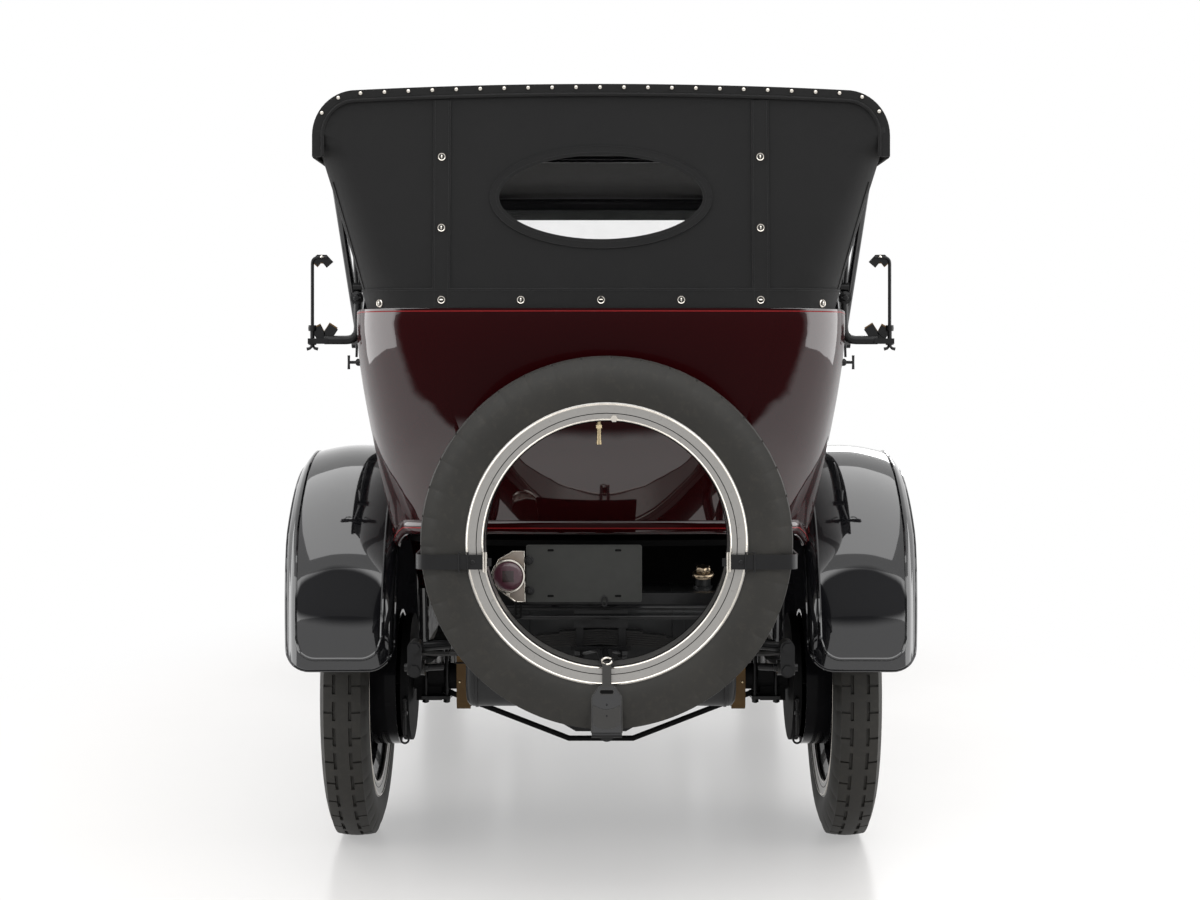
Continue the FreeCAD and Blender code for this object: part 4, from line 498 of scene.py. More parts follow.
CAMERA_BEHIND_AXLE = 6.0
CAMERA_HEIGHT = 1.40
LENS = 60.66
FRAME_WIDTH_PX = 1200
CENTRE_LINE_PX = 601
HORIZON_PX = 359
FRAME_MIDDLE_PX = (600, 450)
FLOOR_SIZE = 40.0
LAMPS = (
    # name, place, what it aims at, size, power
    ("key_lamp", (0, -6.4, 4.9), (0, 0, 0.9), (15.0, 2.6), 250),
    ("front_lamp", (2.5, 7.0, 4.5), (0, 0, 0.9), (4.0, 2.5), 150),
    ("left_side_lamp", (-5.6, -2.2, 1.8), (0, -2.2, 0.9), (6.6, 3.2), 175),
    ("right_side_lamp", (5.6, -2.2, 1.8), (0, -2.2, 0.9), (6.6, 3.2), 175),
    ("top_lamp", (0, -1.2, 6.5), (0, -1.2, 0), (9.0, 7.5), 430),
)


def floor_finish():
    """A pale floor that fades into the white surroundings for the camera, glass and mirrors."""
    made = Finish("studio_floor")
    tone = paints().floor
    base = made.mix(made.noise(0.8, 2.0), shade(tone, 0.97), shade(tone, 1.02))
    look = made.set(Base_Color=base, Roughness=made.noise(2.0, 2.0) * 0.06 + 0.20, Specular_IOR_Level=0.5)
    spot = made.node("VectorMath", {"operation": "LENGTH"}, {0: made.where((1 / 2.6, 1 / 5.0, 0))}, 1)
    edge = made.band(spot, 0.62, 1.05)
    camera, glossy, through = [made.node("LightPath", output=k) for k in (0, 3, 6)]
    seen = (edge * 0.62 + 0.38) * camera.most(glossy).most(through)
    white = made.node("Emission", inputs={"Color": (1, 1, 1), "Strength": 1.0})
    mixed = made.node("MixShader", inputs={0: seen, 1: Wire(made, made.shader.outputs[0]), 2: white})
    made.tree.links.new(mixed.socket, made.output.inputs["Surface"])
    return look


def surround(scene):
    """White for the camera, glass and mirrors, and a softer sky for all other light."""
    scene.world = bpy.data.worlds.new("studio")
    scene.world.use_nodes = True
    tree = scene.world.node_tree
    tree.nodes.clear()

    def node(kind, *sources, **values):
        made = tree.nodes.new("ShaderNode" + kind)
        for socket, source in zip(made.inputs, sources):
            tree.links.new(source, socket)
        for name, value in values.items():
            made.inputs[name].default_value = value
        return made

    rays = node("LightPath").outputs
    seen = node("Math", rays["Is Camera Ray"], rays["Is Transmission Ray"])
    either = node("Math", seen.outputs[0], rays["Is Glossy Ray"])
    seen.operation = either.operation = "MAXIMUM"
    soft = node("Background", Color=(0.92, 0.94, 1.0, 1), Strength=0.42)
    white = node("Background", Color=(1, 1, 1, 1), Strength=1.0)
    mixed = node("MixShader", either.outputs[0], soft.outputs[0], white.outputs[0])
    node("OutputWorld", mixed.outputs[0])


def studio_lamp(name, spot, aim, size, power):
    light = bpy.data.lights.new(name, "AREA")
    light.shape = "RECTANGLE"
    light.size, light.size_y = size
    light.energy = power
    lamp = bpy.data.objects.new(name, light)
    lamp.location = spot
    lamp.rotation_euler = (Vector(aim) - Vector(spot)).to_track_quat("-Z", "Y").to_euler()
    bpy.context.scene.collection.objects.link(lamp)


def studio_camera(scene):
    camera = bpy.data.cameras.new("camera")
    camera.lens = LENS
    camera.shift_x = (FRAME_MIDDLE_PX[0] - CENTRE_LINE_PX) / FRAME_WIDTH_PX
    camera.shift_y = (HORIZON_PX - FRAME_MIDDLE_PX[1]) / FRAME_WIDTH_PX
    viewer = bpy.data.objects.new("camera", camera)
    viewer.location = (0, REAR_AXLE_Y - CAMERA_BEHIND_AXLE, CAMERA_HEIGHT)
    viewer.rotation_euler = (pi / 2, 0, 0)
    scene.collection.objects.link(viewer)
    scene.camera = viewer


class CAR_OT_stage(bpy.types.Operator):
    """Floor, soft lamps, white surroundings and the camera behind the car"""

    bl_idname = "car.stage"
    bl_label = "Stage"

    def execute(self, context):
        scene = context.scene
        scene.view_settings.view_transform = "Standard"
        floor = bpy.data.meshes.new("studio_floor")
        half = FLOOR_SIZE / 2
        corners = [(-half, -half, 0), (half, -half, 0), (half, half, 0), (-half, half, 0)]
        floor.from_pydata(corners, [], [(0, 1, 2, 3)])
        floor_object = bpy.data.objects.new("studio_floor", floor)
        scene.collection.objects.link(floor_object)
        floor.materials.append(floor_finish())
        surround(scene)
        for values in LAMPS:
            studio_lamp(*values)
        studio_camera(scene)
        return {"FINISHED"}


PLAIN_FINISH = {"floor_boards": "dark", "rear_axle": "axle_matt"}


class CAR_OT_finishes(bpy.types.Operator):
    """Puts each finish on the pieces of the frame that keep their own shape"""

    bl_idname = "car.finishes"
    bl_label = "Finishes"

    def execute(self, context):
        for row in frame["record"]["subparts"]:
            node = frame["nodes"][row["node"]]
            node.data.materials.clear()
            node.data.materials.append(finish(PLAIN_FINISH.get(row["node"], row["material_slot"])))
        return {"FINISHED"}


# Shapes


def across(axis):
    """Two directions square to an axis and to each other."""
    axis = Vector(axis).normalized()
    helper = Vector((0, 0, 1)) if abs(axis.z) < 0.9 else Vector((1, 0, 0))
    first = axis.cross(helper).normalized()
    return first, axis.cross(first)


def curve_through(points, steps):
    """A smooth run of points through the given ones."""
    points = [Vector(p) for p in points]
    run = []
    padded = [points[0]] + points + [points[-1]]
    for before, start, end, after in zip(padded, padded[1:], padded[2:], padded[3:]):
        for t in spread(0, 1, steps)[:-1]:
            pull = (end - before) * t + (2 * before - 5 * start + 4 * end - after) * t * t
            run.append(start + 0.5 * (pull + (3 * start - before - 3 * end + after) * t * t * t))
    return run + [points[-1]]


def turned_corner(first, corner, last, steps):
    """Points of a smooth turn from first to last that leans towards the corner."""
    return [first * (1 - t) ** 2 + corner * 2 * t * (1 - t) + last * t * t for t in spread(0, 1, steps)]


def directions(path, closed=False):
    """The way that a path runs at each of its points."""
    count = len(path)
    for i in range(count):
        ahead = path[(i + 1) % count if closed else min(i + 1, count - 1)]
        behind = path[i - 1 if closed else max(i - 1, 0)]
        yield (ahead - behind).normalized()


def bent(points, radius, steps=6):
    """A path with its corners rounded."""
    points = [Vector(p) for p in points]
    run = [points[0]]
    for before, corner, after in zip(points, points[1:], points[2:]):
        back, ahead = before - corner, after - corner
        reach = min(radius, back.length * 0.45, ahead.length * 0.45)
        first, last = (corner + way.normalized() * reach for way in (back, ahead))
        run += turned_corner(first, corner, last, steps)
    return run + [points[-1]]


def ring_points(centre, axis, radius, steps):
    first, second = across(axis)
    return [Vector(centre) + (first * cos(a) + second * sin(a)) * radius for a in angles(steps)]


class Shape:
    """The faces of one piece, each with the finish it takes."""

    def __init__(self):
        self.mesh = bmesh.new()
        self.looks = []

    def net(self, rows, look, closed=False, looped=False):
        """Faces between rows of points: closed joins each row's ends, looped the last row to the first."""
        if look not in self.looks:
            self.looks.append(look)
        slot = self.looks.index(look)
        made = [[self.mesh.verts.new(point) for point in row] for row in rows]
        pairs = list(zip(made, made[1:])) + ([(made[-1], made[0])] if looped else [])
        for first, second in pairs:
            count = len(first)
            for i in range(count if closed else count - 1):
                j = (i + 1) % count
                self.mesh.faces.new((first[i], first[j], second[j], second[i])).material_index = slot
        return made

    def solid(self, rows, look):
        """A closed form through rings of points, with both ends capped."""
        made = self.net(rows, look, closed=True)
        for ring in (made[0], made[-1]):
            self.mesh.faces.new(ring).material_index = self.looks.index(look)

    def lathe(self, profile, centre, axis, look, steps=48, looped=False):
        """A round form: profile is radius and run along the axis."""
        centre, axis = Vector(centre), Vector(axis).normalized()
        rows = [ring_points(centre + axis * run, axis, max(radius, 1e-5), steps) for radius, run in profile]
        self.net(rows, look, closed=True, looped=looped)

    def skin(self, rows, look, closed):
        if closed:
            self.net(rows, look, closed=True, looped=True)
        else:
            self.solid(rows, look)

    def tube(self, path, radius, look, steps=10, closed=False):
        """A round bar along a path. Its radius may depend on the share of the run."""
        path = [Vector(p) for p in path]
        side = None
        rows = []
        for i, (point, along) in enumerate(zip(path, directions(path, closed))):
            side = across(along)[0] if side is None else (side - along * side.dot(along)).normalized()
            up = along.cross(side)
            thick = radius(i / (len(path) - 1)) if callable(radius) else radius
            rows.append([point + (side * cos(a) + up * sin(a)) * thick for a in angles(steps)])
        self.skin(rows, look, closed)

    def sweep(self, path, section, look, up=UP, closed=False):
        """A section of (side, up) places carried along a path."""
        path = [Vector(p) for p in path]
        rows = []
        for i, (point, along) in enumerate(zip(path, directions(path, closed))):
            side = along.cross(Vector(up(i) if callable(up) else up)).normalized()
            rise = side.cross(along)
            rows.append([point + side * a + rise * b for a, b in section])
        self.skin(rows, look, closed)

    def block(self, low, high, look):
        (x0, y0, z0), (x1, y1, z1) = low, high
        ring = ((x0, y0), (x1, y0), (x1, y1), (x0, y1))
        self.solid([[(x, y, z) for x, y in ring] for z in (z0, z1)], look)

    def plate(self, outline, thickness, look):
        """A flat outline given a thickness as a vector."""
        outline = [Vector(p) for p in outline]
        self.solid([outline, [p + Vector(thickness) for p in outline]], look)

    def button(self, centre, axis, radius, height, look, steps=16, dome=0.5):
        """A round head with a domed top."""
        rise = height * (1 - dome)
        profile = ((radius, 0), (radius, rise), (radius * 0.72, rise + height * dome * 0.75), (0, height))
        self.lathe(profile, centre, axis, look, steps)

    def nut(self, centre, axis, radius, height, look):
        ends = [Vector(centre) + Vector(axis).normalized() * rise for rise in (0, height)]
        self.solid([ring_points(end, axis, radius, 6) for end in ends], look)

    def lobed_cap(self, profile, centre, axis, look, lobes, depth, steps):
        """A screwed cap. Its widest rings, as wide as four fifths of the widest, have lobes."""
        first, second = across(axis)
        widest = max(radius for radius, _ in profile)
        rows = []
        for radius, run in profile:
            deep = depth if radius > widest * 0.8 else 0
            rings = [(a, radius * (1 + deep * cos(lobes * a))) for a in angles(steps)]
            rows.append([
                centre + axis * run + (first * cos(a) + second * sin(a)) * reach for a, reach in rings
            ])
        self.net(rows, look, closed=True)

    def build(self, name, body, replaces=(), angle=35, bevel=0, thick=0):
        """The piece itself, on its body, with its finishes."""
        bmesh.ops.remove_doubles(self.mesh, verts=self.mesh.verts[:], dist=2e-5)
        bmesh.ops.dissolve_degenerate(self.mesh, edges=self.mesh.edges[:], dist=1e-5)
        bmesh.ops.recalc_face_normals(self.mesh, faces=self.mesh.faces[:])
        data = bpy.data.meshes.new(name)
        self.mesh.to_mesh(data)
        self.mesh.free()
        for look in self.looks:
            data.materials.append(finish(look))
        data.shade_smooth()
        data.set_sharp_from_angle(angle=radians(angle))
        piece = bpy.data.objects.new(name, data)
        bpy.context.scene.collection.objects.link(piece)
        if thick:
            skin = piece.modifiers.new("thickness", "SOLIDIFY")
            skin.thickness = thick
            skin.offset = -1
        if bevel:
            edge = piece.modifiers.new("edges", "BEVEL")
            edge.width = bevel
            edge.segments = 2
            edge.limit_method = "ANGLE"
            edge.harden_normals = True
        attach(piece, body)
        if replaces:
            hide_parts(*replaces)
        return piece


# Tyres and rims

WHEELS = [(end, name) for end in ("front", "rear") for _, name in SIDES]
TYRE_SIDE_SHARES = (
    # radius and half width, as shares of the tyre's own
    (0.742, 0.80), (0.762, 0.87), (0.80, 0.965), (0.852, 1.0), (0.90, 0.965), (0.94, 0.88), (0.967, 0.79),
)
TREAD_HALF_SHARE = 0.74
TREAD_ROUND_SHARE = 0.012
GROOVE_WALL = 0.0006
DASH_SHARE = 0.72
CROSS_SHARES = (0.36, 0.43)


def tyre(name, node, body, axis):
    low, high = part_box(node)
    centre = (low + high) / 2
    radius = (high.z - low.z) / 2
    half = (high - low).dot(axis) / 2
    shape = Shape()
    first, second = across(axis)
    pitches = round(TURN * radius / sizes().tread_pitch)
    shares = (0.0, 0.02, CROSS_SHARES[0], CROSS_SHARES[0] + 0.015, CROSS_SHARES[1], CROSS_SHARES[1] + 0.015,
              DASH_SHARE - 0.02, DASH_SHARE, 0.86)
    columns = [(k, share) for k in range(pitches) for share in shares]
    side = [(r * radius, w * half) for r, w in TYRE_SIDE_SHARES]
    rows = [(r, -w) for r, w in side] + tread_rows(radius, half) + [(r, w) for r, w in reversed(side)]
    net = []
    for r, w in rows:
        ring = []
        for k, share in columns:
            turn = TURN * (k + share) / pitches
            cut = groove(w, share, half) if abs(w) <= TREAD_HALF_SHARE * half + GROOVE_WALL else 0
            nick = 0.0012 if 0.93 * radius < r < 0.97 * radius and share in shares[3:5] else 0
            reach = r - cut * sizes().tread_depth - nick
            ring.append(centre + axis * w + (first * cos(turn) + second * sin(turn)) * reach)
        net.append(ring)
    made = shape.net(net, "tyre", closed=True)
    shape.net([[v.co.copy() for v in ring] for ring in (made[-1], made[0])], "tyre", closed=True)
    shape.build(name, body, (node,), angle=30)


def tread_rows(radius, half):
    edge = TREAD_HALF_SHARE * half
    rib = sizes().tread_rib / 2
    slit = rib + sizes().tread_slit
    wall = GROOVE_WALL
    marks = [0, rib - wall, rib + wall, slit - wall, slit + wall, (slit + edge) / 2, edge - wall, edge + wall]
    marks = sorted(set([-m for m in marks] + marks))
    return [(radius * (1 - TREAD_ROUND_SHARE * (w / edge) ** 2), w) for w in marks]


def groove(w, share, half):
    out = abs(w)
    rib = sizes().tread_rib / 2
    slit = rib + sizes().tread_slit
    if rib < out < slit and 0.0 < share < DASH_SHARE:
        return 1
    cross = CROSS_SHARES[0] < share <= CROSS_SHARES[1]
    return 0.8 if cross and rib < out < TREAD_HALF_SHARE * half else 0


class CAR_OT_tyres(bpy.types.Operator):
    """Tyres with a rib, dashes and shoulder blocks cut into the tread"""

    bl_idname = "car.tyres"
    bl_label = "Tyres"

    def execute(self, context):
        for end, name in WHEELS:
            tyre(f"{end}_{name}_tyre", f"tyre_{end}_{name}", f"road_wheel_{end}_{name}", Vector((1, 0, 0)))
        tyre("spare_tyre_rubber", "spare_tyre", "chassis", Vector((0, 1, 0)))
        return {"FINISHED"}


RIM_SHARES = (
    # radius from the rim's own, and half width, as shares: a channel with rolled lips
    (0.895, 0.86), (0.905, 0.94), (0.925, 0.97), (0.975, 0.985), (0.998, 1.02), (1.018, 1.03), (1.03, 0.99),
    (1.022, 0.945), (1.0, 0.92),
)
RIM_SHADE_AND_HIGHLIGHT_LINES = (
    # radius and half width, as shares of the rim's own, thickness, look: the dark lines are painted shade at
    # the tyre's edge, in the groove and at the inner edge, and the nickel lines are painted highlights along
    # the rolled lips
    (1.032, 0.93, 0.0022, "dark"), (0.948, 0.972, 0.0011, "dark"), (0.893, 0.84, 0.0016, "dark"),
    (1.014, 1.03, 0.0024, "nickel"), (0.903, 0.93, 0.0020, "nickel"),
)
RIM_LUGS = 6


def hoop(shape, centre, axis, radius, half):
    right = [(r * radius, w * half) for r, w in RIM_SHARES]
    left = [(r, -w) for r, w in reversed(right)]
    shape.lathe(right + left, centre, axis, "rim_silver", 96, looped=True)
    # Thin dark rings are painted shade and thin nickel rings are painted highlights along the rim.
    for share, width, size, look in RIM_SHADE_AND_HIGHLIGHT_LINES:
        for side in (-1, 1):
            path = ring_points(centre + axis * (side * width * half), axis, share * radius, 96)
            shape.tube(path, size, look, 6, closed=True)


def wheel_rim(name, outer):
    low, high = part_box("tyre_" + name)
    centre = (low + high) / 2
    axis = ACROSS * outer
    radius = (high.z - low.z) / 2 * TYRE_SIDE_SHARES[0][0]
    half = (high.x - low.x) / 2 * 0.88
    shape = Shape()
    hoop(shape, centre, axis, radius, half)
    felloe = radius * 0.86
    face = centre + axis * (half - 0.004)
    for k in range(RIM_LUGS):
        turn = TURN * (k + 0.5) / RIM_LUGS
        out = Vector((0, cos(turn), sin(turn)))
        aside = Vector((0, -out.z, out.y))
        lug = [face + out * (felloe + r) + aside * s for r, s in mm(-16, -13, -16, 13, 34, 17, 34, -17)]
        shape.plate(lug, axis * 0.006, "rim_silver")
        shape.nut(face + out * (felloe - 0.002) + axis * 0.006, axis, 0.011, 0.010, "nickel")
    valve = centre + axis * half * 0.2 - UP * radius * 0.9
    shape.tube([valve, valve + UP * 0.06], 0.004, "brass", 8)
    hub_low, hub_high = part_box("wheel_" + name)
    end = hub_high.x if outer > 0 else -hub_low.x
    cap = Vector((end * outer, centre.y, centre.z)) - axis * 0.055
    shape.lathe(mm(52, 0, 52, 30, 46, 45, 30, 54, 0, 57), cap, axis, "nickel", 32)
    shape.solid([ring_points(cap + axis * h, axis, 0.057, 6) for h in (0.004, 0.020)], "nickel")
    shape.build("rim_" + name, "road_wheel_" + name)


def spare_rim():
    low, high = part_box("spare_rim")
    centre = (low + high) / 2
    radius = (high.z - low.z) / 2
    half = (high.y - low.y) / 2
    shape = Shape()
    hoop(shape, centre, BACK, radius * 0.985, half * 0.95)
    shape.build("spare_rim_silver", "chassis", ("spare_rim",))
    stem = Shape()
    top = centre + Vector((-0.019, -0.02, radius * 0.9))
    for start, end, size, steps in (
        (0, 0.062, 0.0058, 12), (0.018, 0.026, 0.008, 6), (0.058, 0.066, 0.0068, 12)
    ):
        stem.tube([top - UP * start, top - UP * end], size, "brass", steps)
    stem.nut(centre + Vector((0.018, -half * 0.8, radius * 0.895)), BACK, 0.009, 0.010, "nickel")
    stem.build("spare_valve", "chassis")


class CAR_OT_rims(bpy.types.Operator):
    """Silver rims with rolled lips, their lugs, hub caps and valves, and the spare's rim"""

    bl_idname = "car.rims"
    bl_label = "Rims"

    def execute(self, context):
        for end, name in WHEELS:
            outer = -1 if name == "left" else 1
            wheel_rim(f"{end}_{name}", outer)
        spare_rim()
        return {"FINISHED"}


# Fenders

REAR_FENDER = {"reach": 0.604, "rise": 0.685, "inner": 0.560, "outer": 0.871, "tip_outer": 0.848}
FRONT_FENDER = {"reach": 0.610, "rise": 0.640, "inner": 0.505, "outer": 0.871, "tip_outer": 0.871}
FENDER_CROSS_SHARES = (
    (0.0, -0.55), (0.05, 0.35), (0.30, 0.93), (0.60, 0.97), (0.88, 0.40), (0.96, -0.25), (1.0, -1.0)
)
FENDER_CROWN = 0.030
FENDER_PLATE = 0.004
FENDER_TIP_ROUND = 0.067
BEAD_INSET = 0.030
FENDER_BOARD_STEP = 0.101


def fender_lift(share):
    """Height of a fender's cross-section over its width, from the crown's own height."""
    for (a, low), (b, high) in zip(FENDER_SECTION, FENDER_SECTION[1:]):
        if share <= b:
            return low + (high - low) * (share - a) / (b - a)
    return FENDER_SECTION[-1][1]


FENDER_SECTION = [(p.x, p.y) for p in curve_through([(a, b, 0) for a, b in FENDER_CROSS_SHARES], 6)]


class Sweep:
    """A fender's run in side view, with a point for any share of its run and width."""

    def __init__(self, side, spots, inners, outers):
        self.side = side
        self.spots = spots
        self.inners = inners
        self.outers = outers
        self.runs = [0.0]
        for a, b in zip(spots, spots[1:]):
            self.runs.append(self.runs[-1] + (b - a).length)
        self.length = self.runs[-1]

    def at(self, run, share, lift=0.0):
        run = min(max(run, 0.0), self.length)
        k = max(i for i, r in enumerate(self.runs) if r <= run + 1e-9)
        k = min(k, len(self.spots) - 2)
        t = (run - self.runs[k]) / (self.runs[k + 1] - self.runs[k])
        spot = self.spots[k].lerp(self.spots[k + 1], t)
        along = (self.spots[min(k + 2, len(self.spots) - 1)] - self.spots[max(k - 1, 0)]).normalized()
        out = Vector((0, -along.z, along.y))
        inner = self.inners[k] + (self.inners[k + 1] - self.inners[k]) * t
        outer = self.outers[k] + (self.outers[k + 1] - self.outers[k]) * t
        height = (fender_lift(share) - 1) * FENDER_CROWN + lift
        x = inner + (outer - inner) * share
        return Vector((x * self.side, spot.y + out.y * height, spot.z + out.z * height))

    def width(self, run):
        return abs(self.at(run, 1.0).x - self.at(run, 0.0).x)


def fender_arch(form, centre_y, start, end, steps):
    hub = middle("wheel_rear_left").z
    turns = [radians(turn) for turn in spread(start, end, steps)]
    reach, rise = form["reach"], form["rise"]
    return [Vector((0, centre_y + reach * cos(a), hub + rise * sin(a))) for a in turns]


def rear_sweep(side):
    form = REAR_FENDER
    spots = fender_arch(form, REAR_AXLE_Y, 171, -2, 48)
    leans = [max(0.0, (45 - angle) / 36) for angle in spread(9, 182, len(spots) - 1)]
    outers = [form["outer"] - (form["outer"] - form["tip_outer"]) * lean for lean in leans]
    return Sweep(side, spots, [form["inner"]] * len(spots), outers)


def front_sweep(side):
    form = FRONT_FENDER
    spots = fender_arch(form, FRONT_AXLE_Y, 8, 122, 30)
    tail = [place(0, y, z) for y, z in mm(2560, 700, 2400, 560, 2285, 472, 2200, 445)]
    run = curve_through([spots[-1]] + tail, 7)[1:]
    steps = [FENDER_BOARD_STEP * (i + 1) / len(run) for i in range(len(run))]
    inners = [form["inner"]] * len(spots) + [form["inner"] + step for step in steps]
    return Sweep(side, spots + run, inners, [form["outer"]] * len(inners))


def corner_cut(edge, radius):
    """How far a rounded corner takes back the tip, at one distance from the side."""
    return radius - sqrt(max(radius ** 2 - (radius - edge) ** 2, 0.0)) if edge < radius else 0.0


def tip_cut(sweep, share):
    return corner_cut(min(share, 1 - share) * sweep.width(0.0), FENDER_TIP_ROUND)


def fender(name, sweep, node, steps):
    shape = Shape()
    look = "fender_black"
    shares = [a for a, _ in FENDER_SECTION]
    columns = []
    for share in shares:
        runs = spread(tip_cut(sweep, share), sweep.length, steps)
        top = [sweep.at(run, share) for run in runs]
        columns.append(top + [sweep.at(run, share, -FENDER_PLATE) for run in reversed(runs)])
    shape.solid(columns, look)
    half = -FENDER_PLATE / 2
    edge = [sweep.at(tip_cut(sweep, share), share, half) for share in shares]
    runs = spread(FENDER_TIP_ROUND, sweep.length, steps)
    inner, outer = [[sweep.at(run, share, half) for run in runs] for share in (0.0, 1.0)]
    shape.tube(inner[::-1] + edge + outer, 0.0042, look, 8)
    shape.tube(fender_bead(sweep, steps), sizes().bead / 2, look, 8)
    shape.build(name, "chassis", (node,), angle=40)


def fender_bead(sweep, steps):
    """The raised line along both sides of a fender, and round its tip."""
    width = sweep.width(0.0)
    share = BEAD_INSET / width
    arc = []
    for s in spread(share, 1 - share, 24):
        cut = corner_cut((min(s, 1 - s) - share) * width, FENDER_TIP_ROUND - BEAD_INSET * 0.4)
        arc.append(sweep.at(BEAD_INSET + cut, s))
    runs = spread(BEAD_INSET + FENDER_TIP_ROUND, sweep.length - 0.01, steps)
    inner, outer = [[sweep.at(run, at) for run in runs] for at in (share, 1 - share)]
    return inner[::-1] + arc + outer


def fender_iron(side, name):
    shape = Shape()
    spots = mm(366, 620, 366, 700, 420, 900, 520, 1045, 700, 1072)
    shape.tube(bent([(side * x, FRONT_AXLE_Y, z) for x, z in spots], 0.06), 0.012, BLACK, 12)
    shape.build("fender_iron_" + name, "chassis")


class CAR_OT_fenders(bpy.types.Operator):
    """Fenders with a raised bead that turns back at the tip, and rolled edges"""

    bl_idname = "car.fenders"
    bl_label = "Fenders"

    def execute(self, context):
        for side, name in SIDES:
            fender(f"rear_fender_{name}", rear_sweep(side), f"fender_rear_{name}", 40)
            fender(f"front_fender_{name}", front_sweep(side), f"fender_front_{name}", 60)
            fender_iron(side, name)
        return {"FINISHED"}


# The top

ROOF_STATIONS = (
    # run from the rear axle, height of the edge, valance bottom, half width
    (-0.748, 2.093, 1.925, 0.745), (-0.100, 2.114, 1.925, 0.745), (0.900, 2.100, 1.932, 0.738),
    (1.640, 2.040, 1.915, 0.700), (1.760, 1.998, 1.905, 0.672),
)
ROOF_BOWS = (-0.748, -0.040, 0.820, 1.670)
ROOF_SAG = 0.009
ROOF_CORNER = (0.112, 0.115)
ROOF_CROWN = 0.016
CLOTH = 0.003
HEADER_RUN = 1.712


def roof_station(run):
    """Edge height, valance bottom and half width of the roof at a run from the rear axle."""
    for first, second in zip(ROOF_STATIONS, ROOF_STATIONS[1:]):
        if run <= second[0]:
            t = (run - first[0]) / (second[0] - first[0])
            return [a + (b - a) * t for a, b in zip(first[1:], second[1:])]
    return list(ROOF_STATIONS[-1][1:])


def roof_outline(run, steps=10, inset=0.0, low=None):
    """Places (x, z) round the roof's section from the right valance over to the left."""
    edge, bottom, half = roof_station(run)
    sag = 0.0
    for first, second in zip(ROOF_BOWS, ROOF_BOWS[1:]):
        if first <= run <= second:
            sag = ROOF_SAG * sin(pi * (run - first) / (second - first)) ** 2
    half -= inset
    edge -= inset
    side, drop = ROOF_CORNER
    reach = half - side
    right = [(half, bottom if low is None else low), (half, edge - drop)]
    for turn in spread(0, pi / 2, steps)[1:]:
        right.append((reach + side * cos(turn), edge - drop + drop * sin(turn)))
    for share in spread(1, 0, steps)[1:]:
        right.append((reach * share, edge + (ROOF_CROWN - sag * 1.4) * (1 - share ** 2)))
    return right + [(-x, z) for x, z in reversed(right[:-1])]


def roof_trim(rows, first, last):
    shape = Shape()
    count = len(rows[0])
    for column in (0, count - 1):
        shape.tube([row[column] for row in rows], 0.0045, "top_cloth", 8)
    for column in (9, count - 10):
        path = [row[column] + UP * 0.0015 for row in rows]
        shape.sweep(path, mm(-11, -1, -11, 1.5, 11, 1.5, 11, -1), "top_cloth")
        for spot in path[:-1:2]:
            shape.button(spot + UP * 0.001, UP, 0.0045, 0.003, "nickel", 10)
    shape.tube(rows[-1], 0.0055, "top_cloth", 8)
    for spot in rows[-1][2:-2:2]:
        shape.button(spot + AHEAD * 0.006, AHEAD, 0.0045, 0.003, "nickel", 10)
    lining = Shape()
    runs = spread(first + 0.03, last - 0.03, 20)
    lining.net([[place(x, run, z) for x, z in roof_outline(run, 8, 0.0065)] for run in runs], "lining")
    sheet = lining.build("roof_lining", "chassis", angle=50)
    board = mm(-628, 1930, 628, 1930, 634, 1985, 560, 2010, -560, 2010, -634, 1985)
    shape.plate([place(x, HEADER_RUN, z) for x, z in board], AHEAD * 0.014, "dark")
    shape.build("roof_trim", "chassis", angle=40)


class CAR_OT_top(bpy.types.Operator):
    """The top: roof cloth over its bows, valances, seams and lining"""

    bl_idname = "car.top"
    bl_label = "Top"

    def execute(self, context):
        shape = Shape()
        first, last = ROOF_STATIONS[0][0], ROOF_STATIONS[-1][0]
        rows = [[place(x, run, z) for x, z in roof_outline(run)] for run in spread(first, last, 64)]
        shape.net(rows, "top_cloth")
        cover = shape.build("roof_cloth", "chassis", ("top_cover",), angle=50, thick=CLOTH)
        roof_trim(rows, first, last)
        return {"FINISHED"}


# The rear curtain

CURTAIN_LOW = {"z": 1.5303, "half": 0.612, "corner": 0.150, "wrap": 0.240}
CURTAIN_HIGH = {"z": 1.925, "half": 0.731, "corner": 0.092, "wrap": 0.150}
CURTAIN_FLAT_Z = 1.985
CURTAIN_FOOT_Y = -0.806
CURTAIN_HEAD_Y = -0.761
WINDOW = {"z": 1.818, "half_x": 0.263, "half_z": 0.109}
WINDOW_SEAM = 0.024
CURTAIN_BAND_X = 0.411
FASTENER_ROWS = (1.552, 1.738, 1.922)
HEM_FASTENERS = (0.0, -0.206, 0.206, -0.410, 0.410)
CORNER_FASTENER = 0.580


def curtain_plan(z):
    """Half width, corner radius and wrap of the curtain at a height."""
    low, high = CURTAIN_LOW, CURTAIN_HIGH
    if z <= high["z"]:
        t = (z - low["z"]) / (high["z"] - low["z"])
        return [low[k] + (high[k] - low[k]) * t for k in ("half", "corner", "wrap")]
    t = min((z - high["z"]) / (CURTAIN_FLAT_Z - high["z"]), 1.0)
    flat = {"half": 0.741, "corner": 0.004, "wrap": 0.004}
    return [high[k] + (flat[k] - high[k]) * t for k in ("half", "corner", "wrap")]


def curtain_reach(z):
    half, corner, wrap = curtain_plan(z)
    return half - corner + corner * pi / 2 + wrap - corner


